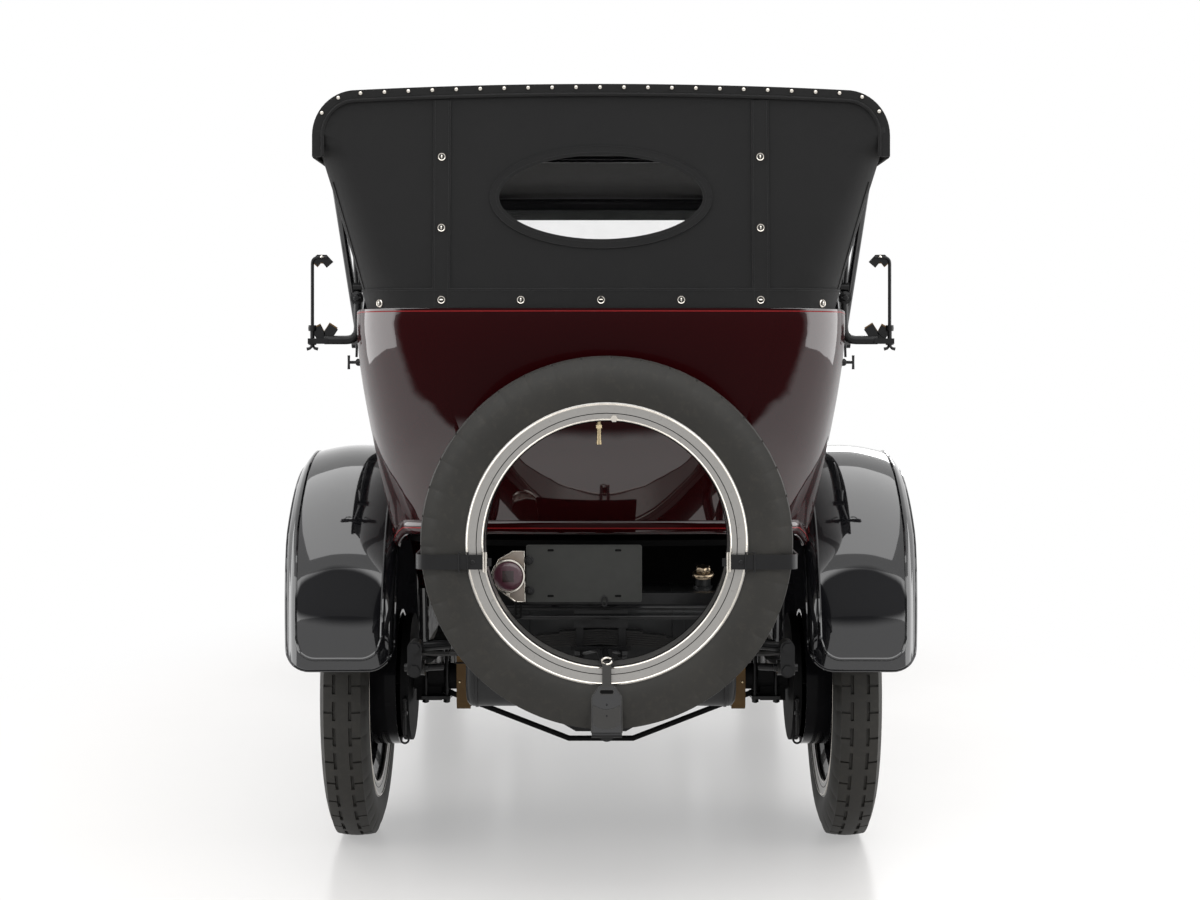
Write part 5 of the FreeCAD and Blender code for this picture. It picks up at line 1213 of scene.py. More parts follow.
def on_curtain(run, z, out=0.0):
    """A point of the curtain: run is measured along the cloth from the middle."""
    half, corner, _ = curtain_plan(z)
    share = (z - CURTAIN_LOW["z"]) / (ROOF_STATIONS[0][1] - CURTAIN_LOW["z"])
    y = CURTAIN_FOOT_Y + (CURTAIN_HEAD_Y - CURTAIN_FOOT_Y) * share
    side = 1 if run >= 0 else -1
    run = abs(run)
    flat = half - corner
    arc = corner * pi / 2
    if run <= flat:
        return place(side * run, y - out, z)
    if run <= flat + arc:
        turn = (run - flat) / corner
        reach = corner + out
        return place(side * (flat + reach * sin(turn)), y + corner - reach * cos(turn), z)
    return place(side * (half + out), y + corner + run - flat - arc, z)


def fullness(run, z):
    """Slight pull of the cloth between its fasteners and below the binding."""
    low = max(0.0, 1 - (z - CURTAIN_LOW["z"]) / 0.12)
    high = max(0.0, (z - 1.98) / 0.10)
    wave = cos(TURN * run / 0.205)
    return 0.0012 * low * (1 - wave) + 0.0006 * high * cos(TURN * run / sizes().nail_pitch)


def curtain_outline():
    """Places (run, z) round the curtain, anticlockwise from the middle of the hem."""
    low = CURTAIN_LOW["z"]
    right = [(curtain_reach(low) * share, low) for share in spread(0, 1, 26)]
    right += [(curtain_reach(z), z) for z in spread(low, CURTAIN_FLAT_Z, 30)[1:]]
    roof = roof_outline(ROOF_STATIONS[0][0], 12, 0.004, CURTAIN_FLAT_Z)
    right += [(x, z) for x, z in roof if x >= 0 and z > CURTAIN_FLAT_Z + 0.002]
    return right + [(-run, z) for run, z in reversed(right[1:-1])]


def cloth_strip(shape, places, width, lift=0.003, thick=0.0014):
    """A band of cloth laid on the curtain along places (run, z)."""
    rows = []
    for (run, z), way in zip(places, directions([Vector(spot) for spot in places])):
        nx, nz = -way.y * width / 2, way.x * width / 2
        section = ((-1, -0.002), (-0.97, thick), (0.97, thick), (1, -0.002))
        rows.append([on_curtain(run + nx * s, z + nz * s, lift + out) for s, out in section])
    shape.solid(rows, "top_cloth")


def stitches(shape, places, lift=0.005):
    """A row of short thread stitches along places (run, z)."""
    pitch = sizes().stitch
    left = 0.0
    for (x0, z0), (x1, z1) in zip(places, places[1:]):
        span = hypot(x1 - x0, z1 - z0)
        while left < span:
            shares = (left / span, min(left + pitch * 0.6, span) / span)
            path = [on_curtain(x0 + (x1 - x0) * t, z0 + (z1 - z0) * t, lift) for t in shares]
            shape.tube(path, 0.0006, "stitch", 4)
            left += pitch
        left -= span


def fastener(shape, run, z, upright):
    """A turn fastener: nickel eyelet, its dark ground and the bar across it."""
    centre = on_curtain(run, z, 0.003)
    out = (on_curtain(run, z, 0.02) - centre).normalized()
    radius = sizes().fastener / 2
    ring = ((1.0, 0), (1.0, 0.0025), (0.86, 0.0046), (0.70, 0.0040), (0.64, 0.0012))
    ground = ((0.66, 0.0013), (0.30, 0.0016), (0, 0.0018))
    for profile, look, steps in ((ring, "nickel", 28), (ground, "clamp_grey", 20)):
        shape.lathe([(radius * share, rise) for share, rise in profile], centre, out, look, steps)
    bar = across(out)[1 if upright else 0]
    path = [centre + out * 0.0050 + bar * radius * 0.42 * t for t in (-1, -0.4, 0.4, 1)]
    shape.tube(path, lambda t: 0.0016 + 0.0010 * sin(pi * t), "nickel", 8)


def curtain_trim():
    shape = Shape()
    low = CURTAIN_LOW["z"]
    hem, band = sizes().hem, sizes().band
    reach = curtain_reach(low) - 0.004
    runs = spread(-reach, reach, 60)
    cloth_strip(shape, [(run, low + hem / 2) for run in runs], hem)
    stitches(shape, [(run, low + hem - 0.006) for run in runs])
    for side in (-1, 1):
        path = [(side * CURTAIN_BAND_X, z) for z in spread(low, 2.07, 24)]
        cloth_strip(shape, path, band, 0.0022)
        for shift in (0.005 - band / 2, band / 2 - 0.005):
            stitches(shape, [(run + shift, z) for run, z in path], 0.0042)
        heights = spread(low + hem, 1.86, 16)
        seam = [(side * (curtain_reach(z) - 0.135 + 0.20 * (z - low) ** 2), z) for z in heights]
        cloth_strip(shape, seam, 0.012, 0.0018, 0.001)
        cloth_strip(shape, [(side * (curtain_reach(z) - 0.009), z) for z in spread(low, 1.91, 20)], 0.018)
    cloth_strip(shape, oval(WINDOW_SEAM / 2), WINDOW_SEAM, 0.0018)
    for out in (WINDOW_SEAM, 0.008):
        stitches(shape, oval(out), 0.004)
    binding(shape)
    spots = [(side * CURTAIN_BAND_X, z, True) for z in FASTENER_ROWS[1:] for side in (-1, 1)]
    spots += [(run, FASTENER_ROWS[0], abs(run) == HEM_FASTENERS[2]) for run in HEM_FASTENERS]
    spots += [(side * CORNER_FASTENER, FASTENER_ROWS[0] - 0.008, True) for side in (-1, 1)]
    for spot in spots:
        fastener(shape, *spot)
    shape.build("curtain_trim", "chassis", angle=35)


def oval(out):
    """Places (run, z) round the window and back to the first, at a distance outside its edge."""
    wide, high = WINDOW["half_x"] + out, WINDOW["half_z"] + out
    return [(wide * cos(a), WINDOW["z"] + high * sin(a)) for a in spread(0, TURN, 96)]


def binding(shape):
    """The nailed strip along the rear edge of the roof, and the roll under it."""
    path = [place(x, -0.7655, z) for x, z in roof_outline(ROOF_STATIONS[0][0], 14, 0.0, 1.924)]
    rows = []
    for spot, along in zip(path, directions(path)):
        inward = Vector((-along.z, 0, along.x))
        rows.append([spot + inward * a + BACK * b for a, b in mm(-3, -34, -3, 3, 19, 3, 21, -4)])
    shape.solid(rows, "top_cloth")
    shape.tube([row[0].lerp(row[3], 1.12) + BACK * 0.003 for row in rows], 0.0045, "top_cloth", 8)
    left = 0.0
    for start, end, row, after in zip(path, path[1:], rows, rows[1:]):
        span = (end - start).length
        while left < span:
            t = left / span
            spot = row[1].lerp(after[1], t).lerp(row[2].lerp(after[2], t), 0.42)
            if spot.z > 2.03:
                shape.button(spot, BACK, 0.0062, 0.0045, "nickel", 12, 0.8)
            left += sizes().nail_pitch
        left -= span


def window_glass():
    shape = Shape()
    rows = [[on_curtain(r, z, -0.004 + 0.0004 * s) for r, z in oval(0.012)[:-1]] for s in (-1, 1)]
    shape.solid(rows, "rear_glass")
    shape.build("window_glass", "chassis", ("rear_window",), angle=30)


class CAR_OT_curtain(bpy.types.Operator):
    """The rear curtain: cloth round an oval window, hem, sewn bands, binding and fasteners"""

    bl_idname = "car.curtain"
    bl_label = "Rear curtain"

    def execute(self, context):
        shape = Shape()
        rows = []
        for run, z in curtain_outline():
            rise = z - WINDOW["z"]
            tilt = hypot(run / WINDOW["half_x"], rise / WINDOW["half_z"])
            spots = [(run * t, WINDOW["z"] + rise * t) for t in spread(1 / tilt, 1, 26)]
            rows.append([on_curtain(r, h, fullness(r, h)) for r, h in spots])
        shape.net(rows, "top_cloth", looped=True)
        cloth = shape.build(
            "curtain_cloth", "chassis", ("rear_curtain",), angle=60, thick=0.0025
        )
        curtain_trim()
        window_glass()
        return {"FINISHED"}


# Finding the skin of the frame's pieces


class Probe:
    """Finds the skin of CAD nodes by rays, so that trim lies on it."""

    def __init__(self, *nodes):
        self.nodes = [frame["nodes"][n] for n in nodes]

    def hit(self, start, direction, reach=3.0):
        best = None
        for node in self.nodes:
            found, spot, normal, _ = node.ray_cast(
                Vector(start), Vector(direction).normalized(), distance=reach
            )
            if found and (best is None or (spot - Vector(start)).length < (best[0] - Vector(start)).length):
                best = (spot, normal)
        return best


# The spare's carrier, the plate and the lamps' fittings

CARRIER_ARM_X = 0.345
CARRIER_BAR = (-0.892, 0.905)
CARRIER_MEMBER = (-0.742, 0.810)
CLAMP_IN = 0.163
CLAMP_STRAP = (0.036, 0.005)
FOOT_TOP_Z = 0.604
FOOT_HALF = 0.037
PANEL_DIP = 0.011
SPRING_BAR_X = 0.055


def rounded(x0, x1, z0, z1, radius, y=0.0, steps=4):
    """A rectangle with round corners, as points across and up at one depth."""
    left, right, low, high = x0 + radius, x1 - radius, z0 + radius, z1 - radius
    run = []
    for number, (x, z) in enumerate(((right, high), (left, high), (left, low), (right, low))):
        for turn in spread(number * pi / 2, (number + 1) * pi / 2, steps):
            run.append(Vector((x + radius * cos(turn), y, z + radius * sin(turn))))
    return run


def rectangle(wide, high):
    """The corners of a rectangle round the origin, from its half width and half height."""
    return ((-wide, -high), (wide, -high), (wide, high), (-wide, high))


def flat_section(width, thick):
    """Section of a strap that stands square to its path's side."""
    return rectangle(thick / 2, width / 2)


def clamp(shape, side, centre, face, reach):
    """A strap over the side of the spare, with its buckle, keeper, stud and tip."""
    z = CARRIER_BAR[1]
    inner = centre.x + side * (reach - CLAMP_IN)
    outer = centre.x + side * (reach + 0.006)
    front = face - 0.0045
    width, thick = CLAMP_STRAP
    path = [(outer, place(0, CARRIER_BAR[0], 0).y, z), (outer, front, z), (inner, front, z)]
    shape.sweep(bent(path, 0.034), flat_section(width, thick), BLACK)
    for back, wide, look in ((0.0, 0.003, "nickel"), (0.052, 0.011, BLACK)):
        x = inner + side * back
        ring = [(x + a, front - 0.004, z + b) for a, b in rectangle(wide, width / 2 + 0.006)]
        shape.tube(ring, 0.0026, look, 8, closed=True)
    shape.button((inner + side * 0.03, front - 0.0025, z), BACK, 0.006, 0.004, BLACK, 14)
    tip = [(inner - side * 0.002, front - 0.001, z), (inner - side * 0.016, front - 0.004, z)]
    shape.sweep(tip, flat_section(width * 0.55, 0.004), BLACK)


def foot(shape, centre, face, reach):
    """The pressed clamp under the spare: plate, panel, rolled rim, slot, hinge and tongue."""
    low, top, half = centre.z - reach - 0.009, FOOT_TOP_Z, FOOT_HALF

    def at(x, z, out=0.0):
        return (centre.x + x, face - 0.0003 - out, z)

    left = [(-half, low), (-half, top - 0.026), (-half * 0.45, top)]
    outline = [at(-x, z) for x, z in left] + [at(x, z) for x, z in reversed(left)]
    shape.plate(outline, BACK * 0.004, "fender_black")
    dips = [(half * 0.9 * s, PANEL_DIP * (1 - s * s)) for s in spread(-1, 1, 16)]
    upper = [at(x, top - 0.047 - dip, 0.004) for x, dip in dips]
    lower = [at(x, low + 0.030 - dip, 0.004) for x, dip in reversed(dips)]
    shape.plate(upper + lower, BACK * 0.0035, "clamp_grey")
    left = [(-half, low + 0.010), (-half, top - 0.027), (-half * 0.45, top)]
    rim = [at(x, z, 0.004) for x, z in left] + [at(-x, z, 0.004) for x, z in reversed(left)]
    shape.tube(bent(rim, 0.006), 0.0016, "clamp_grey", 8)
    x = centre.x
    slot = rounded(x - 0.017, x + 0.017, top - 0.021, top - 0.010, 0.004, face - 0.0045)
    # A near-black sheet in the slot is painted shade in the hole.
    shape.plate(slot, BACK * 0.0006, "dark")
    shape.tube(slot, 0.0012, "clamp_grey", 6, closed=True)
    shape.tube([at(-half, low + 0.004, 0.005), at(half, low + 0.004, 0.005)], 0.006, BLACK, 12)
    turns = spread(0, pi, 10)
    tongue = [at(0.018 * cos(a), low + 0.004 - 0.016 * sin(a), 0.002) for a in turns]
    shape.plate(tongue, BACK * 0.003, BLACK)
    for z in (low + 0.052, low + 0.078):
        shape.button(at(0, z, 0.0075), BACK, 0.0022, 0.0012, BLACK, 10)
    back = place(0, CARRIER_BAR[0], 0).y
    shape.block(at(-half, low, 0.002), (x + half, back, low + 0.006), BLACK)


def hanger(shape, centre, face):
    """The strap over the rim, its ring, and the arms that hold it from the spring's clamp."""
    x = centre.x
    path = bent([(x, face - 0.004, FOOT_TOP_Z - 0.004), (x, face - 0.004, 0.658)], 0.01)
    shape.sweep(path, flat_section(0.022, 0.004), "clamp_grey", ACROSS)
    ring = []
    for a in angles(20):
        ring.append((x + 0.012 * cos(a), face - 0.004 + 0.003 * sin(2 * a), 0.664 + 0.008 * sin(a)))
    shape.tube(ring, 0.0028, "nickel", 8, closed=True)
    for side, _ in SIDES:
        end = Vector((x + side * 0.013, face - 0.006, 0.666))
        arm = [place(side * SPRING_BAR_X, -0.752, 0.634), place(side * 0.014 + x / 2, -0.80, 0.652), end]
        shape.tube(bent(arm, 0.03), 0.005, BLACK, 10)


class CAR_OT_carrier(bpy.types.Operator):
    """The spare's carrier: tubes, cross bar, buckled side clamps and the pressed foot clamp"""

    bl_idname = "car.carrier"
    bl_label = "Spare carrier"

    def execute(self, context):
        shape = Shape()
        low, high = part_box("spare_tyre")
        centre = (low + high) / 2
        reach = (high.z - low.z) / 2
        run, z = CARRIER_BAR
        start, height = CARRIER_MEMBER
        for side, _ in SIDES:
            x = side * CARRIER_ARM_X
            path = [place(x, start, height), place(x, run, height), place(x, run, z)]
            shape.tube(bent(path, 0.05), 0.016, BLACK, 16)
            shape.lathe(mm(20, -22, 22, 0, 20, 22), place(x, run, z - 0.03), UP, BLACK, 20)
            outer = centre.x + side * (reach + 0.004)
            shape.tube([place(x, run, z), place(outer, run, z)], 0.011, BLACK, 12)
            clamp(shape, side, centre, low.y, reach)
        strut = ((-0.760, 0.644), (run, 0.560), (run, centre.z - reach - 0.004))
        shape.tube(bent([place(centre.x, y, z) for y, z in strut], 0.05), 0.011, BLACK, 12)
        foot(shape, centre, low.y, reach)
        hanger(shape, centre, low.y)
        shape.build("carrier_irons", "chassis", ("spare_carrier",), angle=32, bevel=0.0012)
        return {"FINISHED"}


def tail_lamp():
    """The lamp on its bracket: drum, ring, lens, catch, two studs and the lead."""
    shape = Shape()
    back = place(0, -0.8202, 0).y
    sheet = mm(-223, 907.6, -197.5, 907.6, -195, 779, -219, 779, -262, 812, -278, 848, -262, 886)
    outline = [Vector((x, back, z)) for x, z in sheet]
    shape.plate(outline, BACK * 0.003, "aged_nickel")
    shape.tube([p + BACK * 0.0035 for p in outline], 0.0022, "nickel", 8, closed=True)
    shape.lathe(mm(26, 0, 34, 4, 40, 16, 41, 34), LAMP, BACK, "aged_nickel", 48)
    ring = mm(40.5, 28, 43.2, 31, 44, 36, 42.5, 40, 38.5, 40.5, 37.5, 37)
    shape.lathe(ring, LAMP, BACK, "nickel", 56, looped=True)
    shape.lathe(mm(38.8, 36, 34, 40.5, 24, 44, 12, 45.8, 0, 46.3), LAMP, BACK, "red_glass", 48)
    shape.button(LAMP + Vector((0, -0.034, -0.044)), -UP, 0.004, 0.007, "nickel", 12)
    shape.block(LAMP + Vector((-0.004, -0.040, -0.050)), LAMP + Vector((0.004, -0.032, -0.043)), "nickel")
    stud = mm(0, 0, 11.5, 0, 11.5, 2, 9.5, 3, 9.5, 12, 4.5, 13, 4.5, 18, 0, 18)
    for x, z in ((-0.1847, 0.885), (-0.1824, 0.807)):
        shape.lathe(stud, (x, back, z), BACK, BLACK, 20)
    lead = ((-0.218, -0.004, 0.780), (-0.219, -0.008, 0.738), (-0.205, -0.008, 0.738), (-0.206, 0.02, 0.80))
    shape.tube(bent([(x, back + y, z) for x, y, z in lead], 0.012), 0.0034, "dark", 8)
    shape.build("tail_lamp_body", "chassis", ("tail_lamp",), angle=32, bevel=0.0004)


class CAR_OT_plate(bpy.types.Operator):
    """A bare number plate with slots, and the tail lamp on its nickel bracket beside it"""

    bl_idname = "car.plate"
    bl_label = "Plate and tail lamp"

    def execute(self, context):
        shape = Shape()
        look = "plate_grey"
        low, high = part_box("number_plate")
        face = place(0, -0.820, 0).y
        shape.plate(rounded(low.x, high.x, low.z, high.z, 0.006, face), AHEAD * 0.003, look)
        edge = 0.002
        rim = rounded(low.x + edge, high.x - edge, low.z + edge, high.z - edge, 0.005, face)
        shape.tube(rim, 0.0012, look, 8, closed=True)
        for x in (low.x + 0.063, low.x + 0.236):
            for z in (low.z + 0.016, high.z - 0.014):
                slot = rounded(x - 0.0085, x + 0.0085, z - 0.0033, z + 0.0033, 0.003, face - 0.0002)
                # A near-black sheet in each slot is painted shade in the hole.
                shape.plate(slot, BACK * 0.0004, "dark")
                shape.tube(slot, 0.0006, look, 6, closed=True)
        drop = low.z + 0.003
        loop = [(0.0087 + 0.0065 * cos(a), face - 0.006, drop + 0.0125 * sin(a)) for a in angles(20)]
        shape.tube(loop, 0.0024, BLACK, 8, closed=True)
        shape.build("plate_blank", "chassis", ("number_plate",), angle=30, bevel=0.0005)
        tail_lamp()
        return {"FINISHED"}


# The tank

# run from the end, and how much narrower the drum is there
TANK_STATIONS = mm(0, 26, 3, 12, 10, 3, 18, 0, 24, 0, 25, -3, 32, -3, 33, 0, 140, 0, 141, -3, 171, -3, 172, 0)


def tank_ring(x, inset):
    radius = 0.070 - min(inset, 0.03)
    corners = rounded(-0.610 + inset, -0.290 - inset, 0.464 + inset, 0.772 - inset, radius, 0, 6)
    return [place(x, p.x, p.z) for p in corners]


class CAR_OT_tank(bpy.types.Operator):
    """The fuel tank with its seams and bands, filler neck and lobed cap"""

    bl_idname = "car.tank"
    bl_label = "Fuel tank"

    def execute(self, context):
        shape = Shape()
        look = "tank_grey"
        half = 0.362
        rows = [(run - half, inset) for run, inset in TANK_STATIONS]
        rows += [(-x, inset) for x, inset in reversed(rows)]
        shape.solid([tank_ring(x, inset) for x, inset in rows], look)
        for side, _ in SIDES:
            shape.block(place(side * 0.350, -0.50, 0.7555), place(side * 0.4188, -0.44, 0.7685), BLACK)
            shape.nut(place(side * 0.40, -0.47, 0.7685), UP, 0.010, 0.008, BLACK)
        start, end = place(0.273, -0.560, 0.700), place(0.273, -0.590, 0.818)
        lean = (end - start).normalized()
        shape.tube([start, end], 0.021, look, 28)
        shape.lathe(mm(24.5, -34, 26.5, -28, 24.5, -22), end, lean, look, 28)
        shape.lathe(mm(20, 0, 27.5, 1, 29, 5, 28.2, 10, 25, 13.5, 19, 15), end, lean, "copper", 40)
        cap = mm(17.5, 14, 18.5, 18, 18.5, 25, 16.5, 28.5, 8, 29.5, 0.4, 29.5)
        shape.lobed_cap(cap, end, lean, "copper", 6, 0.13, 72)
        shape.build("fuel_tank_drum", "chassis", ("fuel_tank",), angle=38)
        return {"FINISHED"}


# Springs and straps

LEAF_GAP = 0.0008
LEAF_STEP = 0.008


def leaf_pack(shape, x, rear, front, seat, centre, halves, width):
    """Leaves stacked under a main leaf that bows from eye to eye."""
    def height(run):
        end = rear if run < centre else front
        return seat + (end[1] - seat) * ((run - centre) / (end[0] - centre)) ** 2

    def leaf(start, end, drop, thick):
        path = [place(x, run, height(run) + drop) for run in spread(start, end, 24)]
        shape.sweep(path, flat_section(thick, width), "spring_steel")

    leaf(rear[0], front[0], 0.0045, 0.009)
    for number, half in enumerate(halves):
        leaf(centre - half, centre + half, -LEAF_STEP * (number + 0.5), LEAF_STEP - LEAF_GAP)
    half = width / 2
    for run, z in (rear, front):
        eye = ((0.010, -half), (0.020, -half), (0.020, half), (0.010, half))
        shape.lathe(eye, place(x, run, z), ACROSS, "spring_steel", 24, looped=True)
        shape.tube([place(x + side * (half + 0.008), run, z) for side in (-1, 1)], 0.010, BLACK, 14)
    half += 0.002
    for share in (-0.72, 0.72):
        run = centre + halves[1] * share
        low, top = height(run) - LEAF_STEP * 2.1, height(run) + 0.010
        band = [place(x + a, run, z) for a, z in ((-half, low), (half, low), (half, top), (-half, top))]
        shape.sweep(band, flat_section(0.022, 0.003), BLACK, AHEAD, closed=True)


def spring_seat(shape, x, run, low, top, reach=0.045):
    """Two U-bolts over an axle, their nuts and the plate that they hold."""
    for y in (run - reach, run + reach):
        spots = ((-0.031, low - 0.012), (-0.031, top + 0.006), (0.031, top + 0.006), (0.031, low - 0.012))
        shape.tube(bent([place(x + a, y, z) for a, z in spots], 0.012), 0.006, BLACK, 10)
        for edge in (-0.031, 0.031):
            shape.nut(place(x + edge, y, low - 0.010), UP, 0.011, 0.010, BLACK)
    reach += 0.016
    shape.block(place(x - 0.042, run - reach, low), place(x + 0.042, run + reach, low + 0.009), BLACK)


def rebound_strap(shape, x):
    """A leather loop round the axle, with its two iron rings and brass rivets."""
    path = bent([place(x, y, z) for y, z in mm(-50, 747.5, -50, 370, 50, 370, 50, 747.5)], 0.030)
    last = len(path) - 1

    def up(i):
        level = abs((path[min(i + 1, last)] - path[max(i - 1, 0)]).z) < 1e-4
        return UP if level else BACK

    shape.sweep(path, flat_section(0.0065, 0.040), "leather_brown", up)
    for z in (0.52, 0.60):
        ring = [place(x + a, -0.0555, z + b) for a, b in rectangle(0.025, 0.014)]
        shape.tube(ring, 0.0026, BLACK, 8, closed=True)
    for z in (0.45, 0.68):
        for edge in (-0.011, 0.011):
            shape.button(place(x + edge, -0.0532, z), BACK, 0.0042, 0.003, "brass", 12)


def cross_spring():
    """The rear cross spring with its shackles, clamp and the rods above it."""
    shape = Shape()
    run = -0.712
    bow = curve_through([(x, 0, z) for x, z in mm(0, 659.5, 150, 649, 300, 633, 420, 629, 485, 634)], 8)
    bow = [Vector((-p.x, 0, p.z)) for p in reversed(bow[1:])] + bow
    for number, half in enumerate((0.485, 0.40, 0.34, 0.28, 0.23, 0.18, 0.13)):
        path = [place(p.x, run, p.z + number * 0.0058) for p in bow if abs(p.x) <= half + 1e-6]
        shape.sweep(path, flat_section(0.0058 - LEAF_GAP, 0.046), "spring_steel")
    for side, _ in SIDES:
        x, bar = side * 0.485, side * SPRING_BAR_X
        eye = mm(10, -23, 19, -23, 19, 23, 10, 23)
        shape.lathe(eye, place(x, run, 0.648), AHEAD, "spring_steel", 24, looped=True)
        outline = []
        for a in (pi * k / 10 for k in range(-9, 11)):
            height = 0.648 if sin(a) >= 0 else 0.590
            outline.append(place(x + 0.019 * cos(a), -0.735, height + 0.019 * sin(a)))
        shape.plate(outline, BACK * 0.009, BLACK)
        for z in (0.648, 0.590):
            shape.tube([place(x, -0.690, z), place(x, -0.748, z)], 0.009, BLACK, 14)
            shape.nut(place(x, -0.744, z), BACK, 0.0145, 0.009, BLACK)
        for back, front, top in ((-0.753, -0.747, 0.770), (-0.674, -0.668, 0.745)):
            shape.block(place(bar - 0.0095, back, 0.630), place(bar + 0.0095, front, top), BLACK)
        for z, radius in ((0.632, 0.016), (0.618, 0.013)):
            shape.nut(place(bar, -0.750, z), UP, radius, 0.011, BLACK)
    shape.block(place(-0.078, -0.758, 0.644), place(0.078, -0.664, 0.6535), BLACK)
    for z, half, y, radius, look, steps in (
        (0.7225, SPRING_BAR_X, -0.751, 0.0035, "plate_grey", 8),
        (0.7395, SPRING_BAR_X, -0.751, 0.0035, "plate_grey", 8),
        (0.757, 0.40, -0.774, 0.006, BLACK, 12),
        (0.733, 0.40, -0.774, 0.006, BLACK, 12),
    ):
        shape.tube([place(-half, y, z), place(half, y, z)], radius, look, steps)
    shape.build("cross_leaves", "chassis", ("rear_cross_spring",), angle=30)


class CAR_OT_springs(bpy.types.Operator):
    """Leaf springs with separate leaves, clips, U-bolts and shackles, and the rebound straps"""

    bl_idname = "car.springs"
    bl_label = "Springs"

    def execute(self, context):
        rear = Shape()
        front = Shape()
        straps = Shape()
        for side, _ in SIDES:
            leaf_pack(
                rear, side * 0.485, (-0.690, 0.590), (0.610, 0.590), 0.540, 0.0,
                (0.56, 0.45, 0.34, 0.23, 0.12), 0.046
            )
            spring_seat(rear, side * 0.485, 0.0, 0.400, 0.551)
            rear.tube(
                [place(side * 0.425, 0.610, 0.590), place(side * 0.518, 0.610, 0.590)], 0.009,
                "spring_steel", 14
            )
            rear.nut(place(side * 0.510, 0.610, 0.590), (side, 0, 0), 0.015, 0.010, "spring_steel")
            leaf_pack(
                front, side * 0.362, (2.690, 0.5304), (3.596, 0.5358), 0.480, 3.175,
                (0.40, 0.32, 0.24, 0.16, 0.09), 0.044
            )
            spring_seat(front, side * 0.362, 3.175, 0.364, 0.491, 0.032)
            rebound_strap(straps, side * 0.405)
        rear.build("rear_side_leaves", "chassis", ("rear_side_springs",), angle=30)
        front.build("front_leaves", "chassis", ("front_springs",), angle=30)
        straps.build("rebound_loops", "chassis", ("rebound_straps",), angle=32, bevel=0.0012)
        cross_spring()
        return {"FINISHED"}


# The irons beside the top


def top_rest(shape, side):
    """One bracket for the folded top, from its tube up to the hooked rod and down to the cleat."""
    def at(x, z, out=0.0):
        return place(side * x, -0.5 - out, z)

    def bar(spots, radius, steps):
        shape.tube([at(x, z) for x, z in spots], radius, BLACK, steps)

    def band(spots, width, thick, look):
        shape.sweep(spots, flat_section(thick, width), look, AHEAD)

    post = bent([at(x, z) for x, z in mm(660.5, 1556, 660.5, 1451.7, 752, 1451.7)], 0.034)
    shape.tube(post, 0.012, BLACK, 20)
    eye = mm(10, -13, 17.5, -11, 17.5, 11, 10, 13)
    shape.lathe(eye, at(0.6625, 1.566), AHEAD, BLACK, 28, looped=True)
    shape.button(at(0.6625, 1.566, 0.008), BACK, 0.0098, 0.010, BLACK, 16)
    shape.lathe(mm(0, -12, 12, -12, 12, 12, 0, 12), at(0.6620, 1.596), ACROSS, BLACK, 20)
    shape.nut(at(0.6530, 1.596), (-side, 0, 0), 0.009, 0.008, BLACK)
    bar(mm(663.5, 1600, 670, 1700, 690, 1900), 0.006, 12)
    bar(mm(659, 1462, 640, 1500, 628, 1508), 0.009, 12)
    saddle = [at(x, z) for x, z in mm(775, 1486, 762, 1462, 753.5, 1457, 744, 1462, 727, 1488)]
    band(saddle, 0.028, 0.004, BLACK)
    band([p + UP * 0.0042 for p in saddle], 0.026, 0.003, "leather_brown")
    shape.block(at(0.742, 1.441, 0.013), at(0.796, 1.456, -0.013), BLACK)
    for z in (1.484, 1.446):
        shape.lathe(mm(0, -8, 10.5, -8, 11.5, 0, 10.5, 8, 0, 8), at(0.785, z), UP, BLACK, 18)
    bar(mm(785, 1478, 785, 1432), 0.0062, 12)
    for ear in (-1, 1):
        wing = [at(0.785, 1.436), at(0.785 + ear * 0.007, 1.429), at(0.785 + ear * 0.015, 1.427)]
        shape.tube(wing, lambda t: 0.0032 + 0.0016 * t, BLACK, 10)
    hook = bent([at(x, z) for x, z in mm(785, 1480, 785, 1676, 745, 1676)], 0.020, 10)
    shape.tube(hook, 0.0047, BLACK, 14)
    cap = [at(x, z) for x, z in mm(779, 1660, 767, 1673, 752, 1673, 737, 1656)]
    band(cap, 0.024, 0.003, BLACK)
    band([p - UP * 0.0032 for p in cap[:3]], 0.022, 0.0028, "leather_brown")
    shape.button(at(0.758, 1.676), UP, 0.007, 0.006, "nickel", 14)
    bar(mm(664, 1440, 665, 1405), 0.0035, 10)
    shape.button(at(0.6560, 1.391), (side, 0, 0), 0.010, 0.012, BLACK, 16)
    bar(mm(660, 1391, 686, 1391), lambda t: 0.0042 - 0.0012 * sin(pi * t), 12)
    bar(mm(686, 1372, 686.2, 1391, 686, 1410), lambda t: 0.0032 + 0.0006 * abs(2 * t - 1), 12)


class CAR_OT_rests(bpy.types.Operator):
    """The bow rests: bent tube, leather-lined saddle, hooked rod with its wing nut, and the strap cleat"""

    bl_idname = "car.rests"
    bl_label = "Top rests"

    def execute(self, context):
        shape = Shape()
        for side, _ in SIDES:
            top_rest(shape, side)
        shape.build("top_rest_irons", "chassis", ("top_rests",), angle=32)
        return {"FINISHED"}


# Trim along the body

BELT_LINE = (
    (2.300, 1.447), (-0.120, 1.447), (-0.400, 1.478), (-0.600, 1.522), (-0.690, 1.530), (-1.000, 1.530)
)
UNDER_LINE = ((0.260, 0.690), (0.180, 0.880), (-0.420, 0.900), (-0.560, 0.955), (-1.000, 0.985))
DOORS = {"front": (1.080, 1.560), "rear": (0.330, 0.860)}
DOOR_GAP = 0.009
BELT_DROP = 0.007
UNDER_LIFT = 0.020
APRON_TOP = 0.012
APRON_DROP = 0.036


def on_line(line, run):
    """Height of a line of (run, height) points at one run."""
    line = sorted(line)
    for (a, low), (b, high) in zip(line, line[1:]):
        if a <= run <= b:
            return low + (high - low) * (run - a) / (b - a)
    return line[0][1] if run < line[0][0] else line[-1][1]


